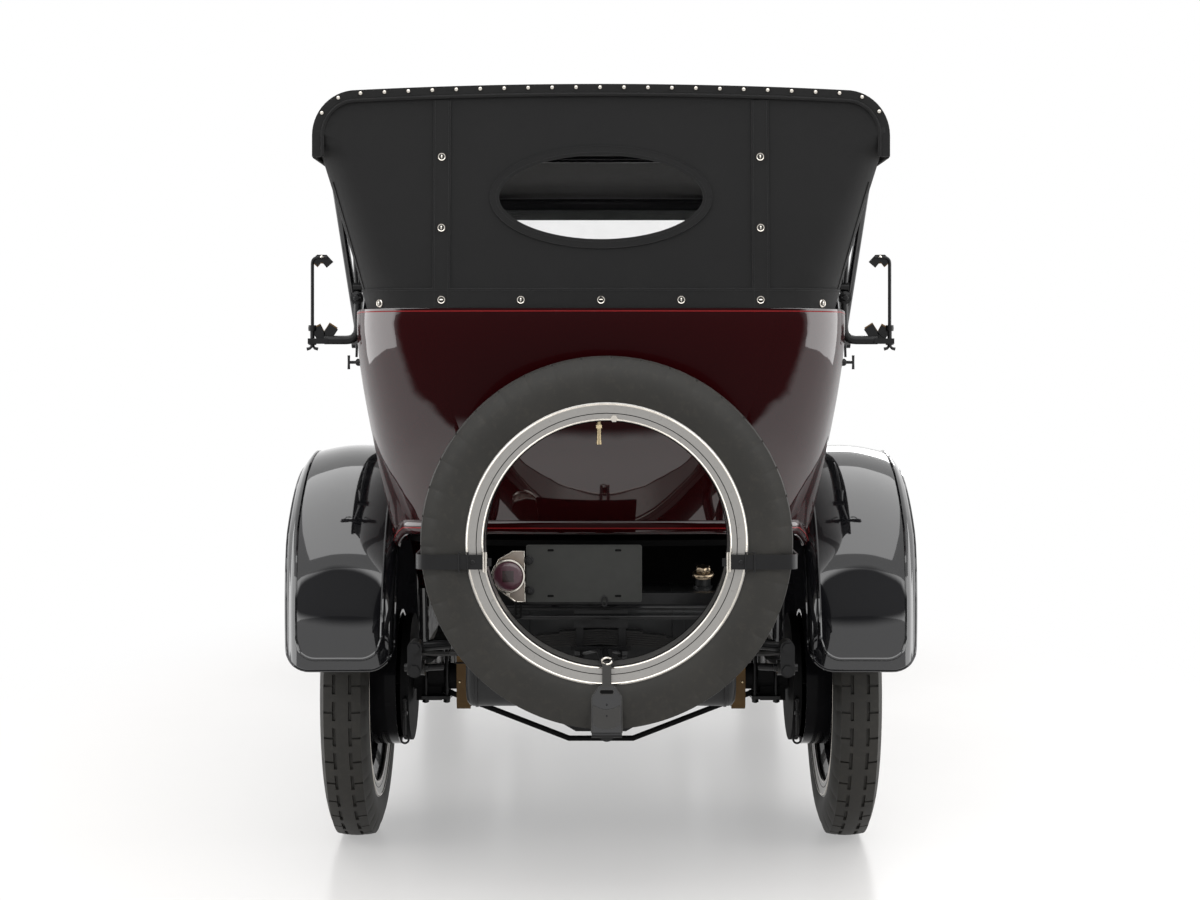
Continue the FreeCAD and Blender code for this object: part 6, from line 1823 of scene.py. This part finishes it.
def stripe(shape, spots):
    """A thin line laid on the skin along (place, normal) spots."""
    spots = [s for s in spots if s]
    if len(spots) < 2:
        return
    half = sizes().stripe / 2
    section = ((-half, -0.001), (-half, 0.0006), (half, 0.0006), (half, -0.001))
    shape.sweep([p for p, _ in spots], section, "pinstripe", lambda i: spots[i][1])


def apron(probe, body):
    """The turned-under lower edge of the body's back, and the stripe on it."""
    spots = [s for s in tail_spots(probe, UNDER_LINE, APRON_TOP) if s][2:-2]
    flat = [Vector((n.x, n.y, 0)).normalized() for _, n in spots]
    shape = Shape()
    drop = APRON_DROP
    section = ((0, 0.0008), (drop * 0.4, 0.0012), (drop * 0.8, 0.0), (drop, -0.004), (drop + 0.002, -0.016))
    rows = [[p + n * out - UP * fall for (p, _), n in zip(spots, flat)] for fall, out in section]
    shape.net(rows, "body_maroon")
    shape.build("rear_apron", "chassis", angle=60, thick=0.0015)
    stripe(body, [(a.lerp(b, 0.4), n) for a, b, n in zip(rows[1], rows[2], flat)])


def side_stripe(shape, probe, side, line, shift, start, end, steps):
    """A stripe on one side of the body, at a distance above or below a line."""
    spots = []
    for run in spread(start, end, steps):
        spots.append(probe.hit(place(side * 1.5, run, on_line(line, run) + shift), (-side, 0, 0)))
    stripe(shape, spots)


def tail_spots(probe, line, shift):
    """Spots round the back of the body, from one side to the other."""
    spots = []
    for k in range(97):
        turn = pi * k / 96
        aim = place(-0.30 * cos(turn), -0.42 - 0.12 * sin(turn), 0)
        away = Vector((-cos(turn), -sin(turn), 0))
        run = -0.44 - 0.30 * sin(turn)
        z = on_line(line, run) + shift
        found = None
        for _ in range(3):
            start = Vector((aim.x, aim.y, z)) + away * 1.2
            found = probe.hit(start, -away)
            if found:
                z = on_line(line, found[0].y - REAR_AXLE_Y) + shift
        spots.append(found)
    return spots


class CAR_OT_trim(bpy.types.Operator):
    """Pinstripes round the body and its doors"""

    bl_idname = "car.trim"
    bl_label = "Pinstripes"

    def execute(self, context):
        body = Shape()
        probe = Probe("body_tub")
        cuts = sorted([1.640, -0.44] + [run for span in DOORS.values() for run in span])
        for side, name in SIDES:
            for start, end in zip(cuts[::2], cuts[1::2]):
                side_stripe(body, probe, side, BELT_LINE, -BELT_DROP, start + DOOR_GAP, end - DOOR_GAP, 24)
            for end, (y0, y1) in DOORS.items():
                door = Shape()
                node = f"door_{end}_{name}"
                near = Probe(node)
                side_stripe(door, near, side, BELT_LINE, -BELT_DROP, y0 + DOOR_GAP, y1 - DOOR_GAP, 16)
                door.build(f"door_stripe_{end}_{name}", node)
            side_stripe(body, probe, side, UNDER_LINE, UNDER_LIFT, 0.240, -0.460, 40)
        stripe(body, tail_spots(probe, BELT_LINE, -BELT_DROP))
        apron(probe, body)
        body.build("body_stripes", "chassis")
        return {"FINISHED"}


# Doors


def door(side, node, span):
    """The lever outside a door, and its card, pocket and pull inside."""
    probe = Probe(node)
    shape = Shape()
    out = ACROSS * side

    def inside(run, z):
        return probe.hit(place(side * 0.30, run, z), out)

    run, z = span[0] + 0.070, 1.260
    skin = probe.hit(place(side * 1.5, run + 0.20, z), -out)
    root = Vector((skin[0].x, place(0, run, 0).y, z))
    shape.lathe(mm(21, 0, 21, 4, 17, 7, 10.5, 9, 9.5, 28), root, out, "nickel", 28)
    tip = root + out * 0.0345
    lever = bent([root + out * 0.020, tip, tip + AHEAD * 0.050, tip + Vector((0, 0.104, -0.004))], 0.012)
    shape.tube(lever, lambda t: 0.0092 + 0.0022 * sin(pi * min(1.0, t * 1.2)), "nickel", 16)
    runs = spread(span[0] + 0.035, span[1] - 0.035, 12)
    card(shape, [[inside(run, z) for run in runs] for z in spread(0.775, 1.405, 12)], side)
    pull = inside(span[0] + 0.10, 1.32)
    if pull:
        base = pull[0] - out * 0.008
        shape.button(base, -out, 0.016, 0.008, "nickel", 20)
        path = [base - out * lift + Vector((0, run, rise)) for lift, run, rise in
                ((0.008, 0, 0), (0.014, 0.03, 0.002), (0.012, 0.07, 0.006))]
        shape.tube(path, lambda t: 0.006 - 0.001 * t, "nickel", 12)
    shape.build(node.replace("door", "door_furniture"), node, angle=35)


def card(shape, grid, side):
    rows = []
    count = len(grid)
    for k, row in enumerate(grid):
        if any(spot is None for spot in row):
            continue
        edge_z = min(k, count - 1 - k)
        rows.append([
            spot[0] - ACROSS * side * (0.001 if not min(edge_z, i, len(row) - 1 - i) else 0.007)
            for i, spot in enumerate(row)
        ])
    if len(rows) < 3:
        return
    shape.net(rows, "leather_black")
    pocket = rows[1:len(rows) // 2]
    flap = [
        [
            p - ACROSS * side * (0.012 if 0 < i < len(r) - 3 and 0 < k else 0.001)
            for i, p in enumerate(r[1:-1])
        ]
        for k, r in enumerate(pocket)
    ]
    shape.net(flap, "leather_black")
    shape.tube(flap[-1], 0.005, "leather_black", 8)


class CAR_OT_doors(bpy.types.Operator):
    """Door furniture: nickel lever outside, leather card with a pocket and a latch lever inside"""

    bl_idname = "car.doors"
    bl_label = "Doors"

    def execute(self, context):
        for side, name in SIDES:
            for end, span in DOORS.items():
                door(side, f"door_{end}_{name}", span)
        return {"FINISHED"}


# Bonnet

LOUVRES = 14
LOUVRE = {"start": 2.230, "pitch": 0.054, "low": 0.86, "high": 1.075, "out": 0.009, "run": 0.030}


def louvre(shape, probe, side, run):
    rows = []
    for k in range(13):
        t = k / 12
        z = LOUVRE["low"] + (LOUVRE["high"] - LOUVRE["low"]) * t
        swell = min(1.0, sin(pi * min(t, 1 - t) / 0.24) if min(t, 1 - t) < 0.12 else 1.0)
        back = probe.hit(place(side * 1.2, run, z), (-side, 0, 0))
        front = probe.hit(place(side * 1.2, run + LOUVRE["run"], z), (-side, 0, 0))
        if not back or not front:
            return
        out = ACROSS * side
        lift = LOUVRE["out"] * swell
        row = [back[0] - out * 0.001]
        for i in range(7):
            u = i / 6
            row.append(back[0].lerp(front[0], u) + out * lift * cos(u * pi / 2) + out * 0.0002)
        rows.append(row)
    shape.net(rows, "body_maroon")
    # A near-black sheet across each louvre's mouth is painted shade.
    painted_shade_mouth = [[row[0], row[1]] for row in rows]
    shape.net([[a + (b - a) * s + Vector((0, -0.0004, 0)) for a, b in painted_shade_mouth] for s in (0.1, 0.86)], "dark")


def catch(shape, spot, out):
    shape.lathe(mm(0, 0, 17, 0, 17, 3, 10, 6, 8, 18, 12, 21, 12, 28, 0, 30), spot, out, "nickel", 24)
    bar = [spot + out * 0.024 + Vector((0, 0.0, 0.028 * t)) for t in (-1, -0.3, 0.3, 1)]
    shape.tube(bar, lambda t: 0.0036 + 0.002 * sin(pi * t), "nickel", 10)


class CAR_OT_bonnet(bpy.types.Operator):
    """Louvres and catches of the bonnet"""

    bl_idname = "car.bonnet"
    bl_label = "Bonnet"

    def execute(self, context):
        for side, name in SIDES:
            node = "bonnet_side_" + name
            shape = Shape()
            probe = Probe(node)
            for number in range(LOUVRES):
                louvre(shape, probe, side, LOUVRE["start"] + LOUVRE["pitch"] * number)
            for run in (2.16, 3.02):
                spot = probe.hit(place(side * 1.2, run, 0.745), (-side, 0, 0))
                if spot:
                    catch(shape, spot[0], ACROSS * side)
            shape.build("bonnet_louvres_" + name, node, angle=40)
        return {"FINISHED"}


# Lamps, radiator and windshield

HEADLAMP = (0.360, 3.402, 0.985)


class CAR_OT_headlamps(bpy.types.Operator):
    """Headlamps: enamelled bowls, nickel bezels, reflectors and domed lenses on their bar"""

    bl_idname = "car.headlamps"
    bl_label = "Headlamps"

    def execute(self, context):
        shape = Shape()
        x, run, z = HEADLAMP
        for side, _ in SIDES:
            centre = place(side * x, run, z)
            bowl = mm(0, -150, 20, -149.5, 52, -142, 78, -122, 98, -92, 113, -56, 122, -18, 125.5, 14)
            shape.lathe(bowl, centre, AHEAD, "fender_black", 64)
            shape.lathe(mm(124.5, 10, 129, 12, 130, 22, 129, 36, 124, 43, 118, 44, 117, 38),
                        centre, AHEAD, "nickel", 64, looped=True)
            dish = mm(118, 34, 108, -10, 85, -60, 50, -95, 18, -108, 0, -109)
            shape.lathe(dish, centre, AHEAD, "nickel", 48)
            shape.lathe(mm(10, -108, 10, -60, 17, -45, 17, -30, 0, -14), centre, AHEAD, "dial", 20)
            shape.button(centre + Vector((0, -0.150, 0)), BACK, 0.010, 0.010, "nickel", 16)
            base = place(side * x, 3.353, 0)
            shape.lathe(
                ((0.030, z - 0.125), (0.024, z - 0.112), (0.012, z - 0.100), (0.012, 0.62)), base, UP,
                BLACK, 24
            )
            shape.lathe(mm(0, 632, 30, 632, 30, 640, 14, 650), base, UP, BLACK, 24)
        shape.tube([place(-x, 3.353, 0.842), place(x, 3.353, 0.842)], 0.011, "nickel", 18)
        shape.build("headlamp_bowls", "chassis", ("headlamps",), angle=30)
        glass = Shape()
        for side, _ in SIDES:
            glass.lathe(
                mm(119, 36, 95, 46, 60, 53, 25, 57, 0, 58), place(side * x, run, z), AHEAD, "lamp_glass", 48
            )
        glass.build("headlamp_lenses", "chassis", angle=30, thick=0.002)
        return {"FINISHED"}


class CAR_OT_nose(bpy.types.Operator):
    """Radiator cap and bolts, and the windshield's thumb nuts"""

    bl_idname = "car.nose"
    bl_label = "Nose and windshield"

    def execute(self, context):
        shape = Shape()
        low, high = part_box("radiator_surround")
        middle_y = (low.y + high.y) / 2
        top = Vector((0, middle_y, high.z - 0.047))
        shape.lathe(mm(44, 0, 44, 6, 36, 12, 35.5, 28), top, UP, "nickel", 40)
        cap = mm(35.5, 24, 38.5, 27, 38.5, 40, 34, 46, 16, 50, 0.5, 51)
        shape.lobed_cap(cap, top, UP, "nickel", 12, 0.045, 96)
        for side, _ in SIDES:
            for z in (0.76, 0.90, 1.04, 1.16):
                shape.button((side * high.x, middle_y + 0.02, z), (side, 0, 0), 0.007, 0.004, "nickel", 14)
        shape.build("radiator_cap", "chassis", angle=32)
        screen = Shape()
        for side, _ in SIDES:
            out = ACROSS * side
            for z in (1.52, 1.745):
                spot = place(side * 0.574, 1.668, z)
                screen.lathe(mm(0, 0, 13, 0, 13, 4, 8, 8, 8, 16, 0, 18), spot, out, "nickel", 20)
                for ear in (-1, 1):
                    wing = [spot + out * 0.013, spot + out * 0.018 + UP * ear * 0.017]
                    screen.tube(wing, 0.0034, "nickel", 10)
        screen.build("windshield_fittings", "chassis", angle=32)
        return {"FINISHED"}


# Seats

PAD_VOXEL = 0.011
PAD_SWELL = 0.022
PAD_PRESSURE = 4.0
PAD_FRAMES = 20
PADS = {
    # node, half width, outline in side view, the way the pleated face looks, where the roll starts
    "front_seat_cushion": (
        "front_seat", 0.474, ((0.980, 0.908), (1.460, 0.908), (1.462, 1.012), (0.985, 1.000)),
        (0, 0, 1), ("y", 1.395),
    ),
    "front_seat_squab": (
        "front_seat", 0.524, ((0.912, 0.935), (0.990, 0.935), (0.962, 1.378), (0.856, 1.378)),
        (0, 0.98, 0.15), ("z", 1.310),
    ),
    "rear_seat_cushion": (
        "rear_seat", 0.502, ((-0.400, 0.912), (0.050, 0.912), (0.052, 1.045), (-0.396, 1.026)),
        (0, 0, 1), ("y", -0.015),
    ),
    "rear_seat_squab": (
        "rear_seat", 0.492, ((-0.410, 0.950), (-0.345, 1.050), (-0.460, 1.466), (-0.566, 1.466)),
        (0, 0.95, 0.30), ("z", 1.395),
    ),
}
PLEAT_DEPTH = 0.0125
PLEAT_WIDTH = 0.011
SEAM_WIDTH = 0.009


def round_corners(points, radius):
    """A closed outline with its corners rounded."""
    points = [Vector(p) for p in points]
    run = []
    for i, corner in enumerate(points):
        back = (points[i - 1] - corner).normalized() * radius
        ahead = (points[(i + 1) % len(points)] - corner).normalized() * radius
        run += turned_corner(corner + back, corner, corner + ahead, 5)
    return run


def settled(piece):
    """Applies the modifiers of a piece to its mesh."""
    graph = bpy.context.evaluated_depsgraph_get()
    made = bpy.data.meshes.new_from_object(piece.evaluated_get(graph))
    old = piece.data
    piece.modifiers.clear()
    piece.data = made
    bpy.data.meshes.remove(old)


def seat_pad(name, node, half, outline):
    shape = Shape()
    section = round_corners([(0, y, z) for y, z in outline], 0.030)
    centre = sum(section, Vector()) / len(section)
    ends = ((0, 0.80), (0.006, 0.90), (0.016, 0.97), (0.030, 1.0))
    rows = [(inset - half, share) for inset, share in ends]
    rows += [(-x, share) for x, share in reversed(rows)]
    rings = [[place(x, *(centre + (p - centre) * share).yz) for p in section] for x, share in rows]
    shape.solid(rings, "leather_black")
    piece = shape.build(name, "chassis", (node,))
    coarse = piece.modifiers.new("even", "REMESH")
    coarse.mode = "VOXEL"
    coarse.voxel_size = PAD_VOXEL
    coarse.use_smooth_shade = True
    settled(piece)
    return piece


def swell(scene, pads):
    """Air pressure rounds each pad: no point moves far, and what rests on the frame stays."""
    starts = {}
    for piece in pads:
        cloth = piece.modifiers.new("swell", "CLOTH")
        cloth.settings.use_pressure = True
        cloth.settings.uniform_pressure_force = PAD_PRESSURE
        cloth.settings.effector_weights.gravity = 0
        cloth.point_cache.frame_end = PAD_FRAMES
        starts[piece.name] = [v.co.copy() for v in piece.data.vertices]
    for number in range(1, PAD_FRAMES + 1):
        scene.frame_set(number)
    for piece in pads:
        settled(piece)
        face = Vector(PADS[piece.name][3]).normalized()
        for vertex, start in zip(piece.data.vertices, starts[piece.name]):
            moved = vertex.co - start
            if moved.length > PAD_SWELL:
                moved *= PAD_SWELL / moved.length
            behind = -moved.dot(face)
            if behind > 0:
                moved += face * behind
            vertex.co = start + moved
    scene.frame_set(1)


def pleats(piece, half, face, roll):
    fine = piece.modifiers.new("fine", "SUBSURF")
    fine.levels = fine.render_levels = 1
    settled(piece)
    face = Vector(face).normalized()
    count = round(2 * half / sizes().pleat)
    pitch = 2 * half / count
    letter, edge = roll
    normals = [v.normal.copy() for v in piece.data.vertices]
    for vertex, normal in zip(piece.data.vertices, normals):
        front = max(0.0, min(1.0, (normal.dot(face) - 0.15) / 0.4))
        if not front:
            continue
        spot = vertex.co
        along = spot.y - REAR_AXLE_Y if letter == "y" else spot.z
        off = abs((spot.x + half) % pitch - pitch / 2)
        near = pitch / 2 - off
        inside = max(0.0, min(1.0, (edge - along) / 0.012)) * (1 if abs(spot.x) < half - pitch * 0.5 else 0)
        cut = PLEAT_DEPTH * exp(-(near / PLEAT_WIDTH) ** 2) * inside
        seam = PLEAT_DEPTH * 0.8 * exp(-((along - edge) / SEAM_WIDTH) ** 2)
        vertex.co = spot - face * max(cut, seam) * front
    piece.data.shade_smooth()


def seat_frames():
    """What carries the pads: the boxes below and behind them, with piping and nails."""
    shape = Shape()
    look = "leather_black"
    shape.block(place(-0.440, 1.032, 0.709), place(0.440, 1.438, 0.899), look)
    rail = [place(x, 1.444, 0.720) for x in (-0.446, 0.446)]
    shape.sweep(rail, flat_section(0.020, 0.006), "fender_black")
    seat_back(shape, 0.534, (0.906, 0.902), (0.838, 1.392))
    rim = [(-0.530, 0.908, 0.905), (-0.530, 0.842, 1.388), (0.530, 0.842, 1.388), (0.530, 0.908, 0.905)]
    shape.tube(bent([place(*spot) for spot in rim], 0.05), 0.007, look, 10)
    for x in spread(-0.504, 0.504, 24):
        shape.button(place(x, 0.837, 1.376), BACK, 0.004, 0.003, "nickel", 10)
    shape.build("front_seat_frame", "chassis", ("front_seat",), angle=35, bevel=0.002)
    rear = Shape()
    seat_back(rear, 0.500, (-0.414, 0.908), (-0.584, 1.484))
    rear.block(place(-0.508, 0.052, 0.906), place(0.508, 0.062, 0.960), look)
    rear.build("rear_seat_frame", "chassis", ("rear_seat",), angle=35, bevel=0.002)


def seat_back(shape, half, low, high):
    """The board behind a squab, from its half width and the places of its two edges."""
    outline = [place(-half, *low), place(half, *low), place(half, *high), place(-half, *high)]
    shape.plate(outline, AHEAD * 0.012, "leather_black")


class CAR_OT_seats(bpy.types.Operator):
    """Leather seats: cushions and squabs swollen by air pressure, then pleated, on their frames"""

    bl_idname = "car.seats"
    bl_label = "Seats"

    def execute(self, context):
        pads = {name: seat_pad(name, *values[:3]) for name, values in PADS.items()}
        swell(context.scene, pads.values())
        for name, piece in pads.items():
            _, half, _, face, roll = PADS[name]
            pleats(piece, half, face, roll)
        seat_frames()
        return {"FINISHED"}


# The driver's place

WHEEL_AXIS = Vector((0, -0.766, 0.643))
DASH_FACE = 1.603
GAUGES = ((-0.110, 1.340, 0.046), (0.015, 1.345, 0.030), (0.100, 1.345, 0.030), (0.185, 1.345, 0.030))


def steering_wheel():
    shape = Shape()
    axis = WHEEL_AXIS.normalized()
    first, second = across(axis)
    low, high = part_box("steering_wheel")
    hub = (low + high) / 2
    reach = (high.x - low.x) / 2 - 0.0125

    def towards(turn):
        return first * cos(turn) + second * sin(turn)

    rows = []
    for turn in angles(180):
        notch = 0.0016 * max(0.0, cos(turn * 30)) ** 2
        ring = []
        for a in angles(14):
            under = max(0.0, -sin(a)) * notch
            out = reach + (0.0125 - under) * cos(a)
            ring.append(hub + towards(turn) * out + axis * (0.0115 - under) * sin(a))
        rows.append(ring)
    shape.net(rows, "wood", closed=True, looped=True)
    for k in range(4):
        out = towards(TURN * (k + 0.5) / 4)
        path = [
            hub + out * 0.024 - axis * 0.012, hub + out * 0.07 - axis * 0.010, hub + out * (reach - 0.008)
        ]
        shape.tube(curve_through(path, 6), lambda t: 0.0095 - 0.0035 * t, "fender_black", 14)
        shape.button(hub + out * (reach - 0.014) + axis * 0.007, axis, 0.004, 0.003, "brass", 12)
    boss = mm(33, -24, 34, -4, 30, 6, 20, 10, 18, 18, 12, 21, 0, 22)
    shape.lathe(boss, hub, axis, "nickel", 32)
    for turn, size in ((0.6, 0.085), (2.4, 0.070)):
        arm = hub + towards(turn) * size + axis * 0.016
        shape.tube([hub + axis * 0.016, arm], 0.0028, "nickel", 8)
        shape.button(arm, axis, 0.007, 0.010, "fender_black", 14)
    shape.build("steering_wheel_rim", "steering_wheel", ("steering_wheel",), angle=35)


def driver_controls():
    shape = Shape()
    for x, z, radius in GAUGES:
        gauge(shape, place(x, DASH_FACE, z), radius)
    for x in (-0.19, 0.262, 0.300):
        shape.button(place(x, DASH_FACE, 1.300), BACK, 0.011, 0.010, "nickel", 18)
    rail = [place(-0.515, DASH_FACE, 1.436), place(0.515, DASH_FACE, 1.436)]
    shape.tube(rail, 0.006, "leather_black", 10)
    shape.lathe(mm(8, -20, 16, -12, 22, 4, 18, 20, 0, 26), place(-0.030, 1.470, 1.110), UP, "wood", 24)
    shape.lathe(
        mm(10, -70, 13.5, -60, 13.5, 2, 8, 12, 0, 14), place(0.085, 1.500, 1.060), (0, 0.06, 1), "wood", 20
    )
    for x in (-0.250, -0.340, -0.420):
        spot = place(x, 1.713, 0.832)
        tread = [
            spot + Vector((dx, -0.014 + 0.030 * dz * 0.5, dz * 0.034))
            for dx, dz in ((-0.027, -1), (0.027, -1), (0.031, 1), (-0.031, 1))
        ]
        shape.plate(tread, (0, -0.008, 0.004), "dark")
    shape.build("driver_fittings", "chassis", angle=32, bevel=0.0006)


def gauge(shape, centre, radius):
    """One dial in its bezel, with eleven marks, a needle and its boss."""
    bezel = ((1, 0), (1.10, 0.002), (1.10, 0.008), (0.98, 0.013), (0.90, 0.011), (0.88, 0.005))
    disc = ((0.90, 0.005), (0.4, 0.0055), (0, 0.0055))
    for profile, look, steps in ((bezel, "nickel", 40), (disc, "dial", 32)):
        shape.lathe([(radius * share, run) for share, run in profile], centre, BACK, look, steps)
    face, pivot = centre + BACK * 0.0062, centre + BACK * 0.0075
    for k in range(11):
        turn = radians(220 - 26 * k)
        out = Vector((cos(turn), 0, sin(turn))) * radius
        shape.tube([face + out * 0.66, face + out * 0.80], 0.0008, "dark", 5)
    needle = Vector((cos(2.6), 0, sin(2.6))) * radius
    shape.tube([pivot - needle * 0.15, pivot + needle * 0.66], lambda t: 0.0015 - 0.001 * t, "dark", 6)
    shape.button(centre + BACK * 0.006, BACK, 0.004, 0.004, "nickel", 12)


class CAR_OT_driver(bpy.types.Operator):
    """Steering wheel with a finger-notched wooden rim, dash gauges, lever knobs and pedal pads"""

    bl_idname = "car.driver"
    bl_label = "Driver's place"

    def execute(self, context):
        steering_wheel()
        driver_controls()
        return {"FINISHED"}


# Fine edges and small bolts

EDGED_NODES = (
    ("wheel_", 0.0025), ("frame_rails", 0.0015), ("frame_cross", 0.0015), ("body_tub", 0.0012),
    ("door_", 0.0010), ("bonnet_", 0.0010), ("front_axle", 0.002), ("rear_axle", 0.002),
    ("engine_block", 0.002), ("drive_line", 0.002), ("knuckle", 0.001), ("windshield_frame", 0.003),
    ("running_boards", 0.0015), ("radiator_surround", 0.002)
)


def hub_bolts(end, name, side):
    shape = Shape()
    node = f"wheel_{end}_{name}"
    hub = middle(node)
    probe = Probe(node)
    for k in range(6):
        turn = TURN * (k + 0.5) / 6
        out = Vector((0, cos(turn), sin(turn)))
        spot = probe.hit(hub + out * 0.074 + Vector((side * 0.4, 0, 0)), (-side, 0, 0))
        if spot:
            shape.nut(spot[0], (side, 0, 0), 0.0085, 0.008, BLACK)
            shape.button(spot[0] + Vector((side * 0.007, 0, 0)), (side, 0, 0), 0.0045, 0.006, "nickel", 10)
    shape.build(f"hub_bolts_{end}_{name}", f"road_wheel_{end}_{name}", angle=32)


class CAR_OT_edges(bpy.types.Operator):
    """Rounds the edges of the pieces of the frame that show, and sets bolts on the hubs"""

    bl_idname = "car.edges"
    bl_label = "Edges and bolts"

    def execute(self, context):
        for name, node in frame["nodes"].items():
            for start, width in EDGED_NODES:
                if name.startswith(start):
                    edge = node.modifiers.new("edges", "BEVEL")
                    edge.width = width
                    edge.segments = 2
                    edge.limit_method = "ANGLE"
                    edge.angle_limit = radians(35)
                    edge.use_clamp_overlap = True
                    edge.harden_normals = True
        for end, name in WHEELS:
            hub_bolts(end, name, 1 if name == "right" else -1)
        return {"FINISHED"}


# Small irons at the back

SHACKLE = {"x": 0.486, "run": -0.680, "high": 0.642, "low": 0.587}
DRUM_ROD = {"x": 0.562, "run": -0.205, "high": 0.420, "low": 0.322}


def shackle(shape, side):
    x, run, high, low = side * SHACKLE["x"], SHACKLE["run"], SHACKLE["high"], SHACKLE["low"]
    for z in (high, low):
        spot = place(x, run, z)
        shape.lathe(mm(0, -20, 15, -20, 15, 12, 0, 12), spot, BACK, BLACK, 20)
        shape.nut(spot + BACK * 0.012, BACK, 0.0125, 0.010, "brass")
        shape.button(spot + BACK * 0.022, BACK, 0.006, 0.007, "brass", 12)
    shape.sweep([place(x, run - 0.008, z) for z in (high, low)], flat_section(0.022, 0.006), BLACK, ACROSS)
    for inner, shift, z, lift, radius in (
        (0.400, 0.02, high, 0.004, 0.012), (0.420, 0.05, low, -0.004, 0.009)
    ):
        shape.tube([place(side * inner, run + shift, z + lift), place(x, run + 0.006, z)], radius, BLACK, 14)


def brake_rod(shape, side):
    x, run, high, low = side * DRUM_ROD["x"], DRUM_ROD["run"], DRUM_ROD["high"], DRUM_ROD["low"]
    shape.tube([place(x, run, high), place(x, run, low)], 0.0038, BLACK, 10)
    shape.nut(place(x, run, high - 0.04), UP, 0.008, 0.010, BLACK)
    shape.tube(ring_points(place(x, run, low - 0.012), AHEAD, 0.011, 20), 0.0032, BLACK, 8, closed=True)
    shape.tube([place(x, run, high), place(x, run + 0.06, high + 0.012)], 0.006, BLACK, 10)


class CAR_OT_irons(bpy.types.Operator):
    """Shackles with bright nuts, and brake rods with their rings"""

    bl_idname = "car.irons"
    bl_label = "Small irons"

    def execute(self, context):
        shape = Shape()
        for side, _ in SIDES:
            shackle(shape, side)
            brake_rod(shape, side)
        shape.build("rear_shackles", "chassis", angle=32, bevel=0.0006)
        return {"FINISHED"}


class CAR_PT_panel(bpy.types.Panel):
    bl_label = "Touring car"
    bl_idname = "CAR_PT_panel"
    bl_space_type = "VIEW_3D"
    bl_region_type = "UI"
    bl_category = "Touring car"

    def draw(self, context):
        for operator in OPERATORS:
            self.layout.operator(operator.bl_idname)
        for group in (context.scene.car_paints, context.scene.car_sizes):
            for name in group.bl_rna.properties.keys():
                if name not in ("rna_type", "name"):
                    self.layout.prop(group, name)


OPERATORS = (
    CAR_OT_stage,
    CAR_OT_finishes,
    CAR_OT_tyres,
    CAR_OT_rims,
    CAR_OT_fenders,
    CAR_OT_top,
    CAR_OT_curtain,
    CAR_OT_carrier,
    CAR_OT_plate,
    CAR_OT_tank,
    CAR_OT_springs,
    CAR_OT_rests,
    CAR_OT_trim,
    CAR_OT_doors,
    CAR_OT_bonnet,
    CAR_OT_headlamps,
    CAR_OT_nose,
    CAR_OT_seats,
    CAR_OT_driver,
    CAR_OT_edges,
    CAR_OT_irons,
)
CLASSES = (CarPaints, CarSizes) + OPERATORS + (CAR_PT_panel,)


def register():
    for item in CLASSES:
        bpy.utils.register_class(item)
    bpy.types.Scene.car_paints = bpy.props.PointerProperty(type=CarPaints)
    bpy.types.Scene.car_sizes = bpy.props.PointerProperty(type=CarSizes)


def unregister():
    del bpy.types.Scene.car_sizes
    del bpy.types.Scene.car_paints
    for item in reversed(CLASSES):
        bpy.utils.unregister_class(item)


def main():
    register()
    for operator in OPERATORS:
        group, name = operator.bl_idname.split(".")
        getattr(getattr(bpy.ops, group), name)()


if __name__ == "__main__":
    main()
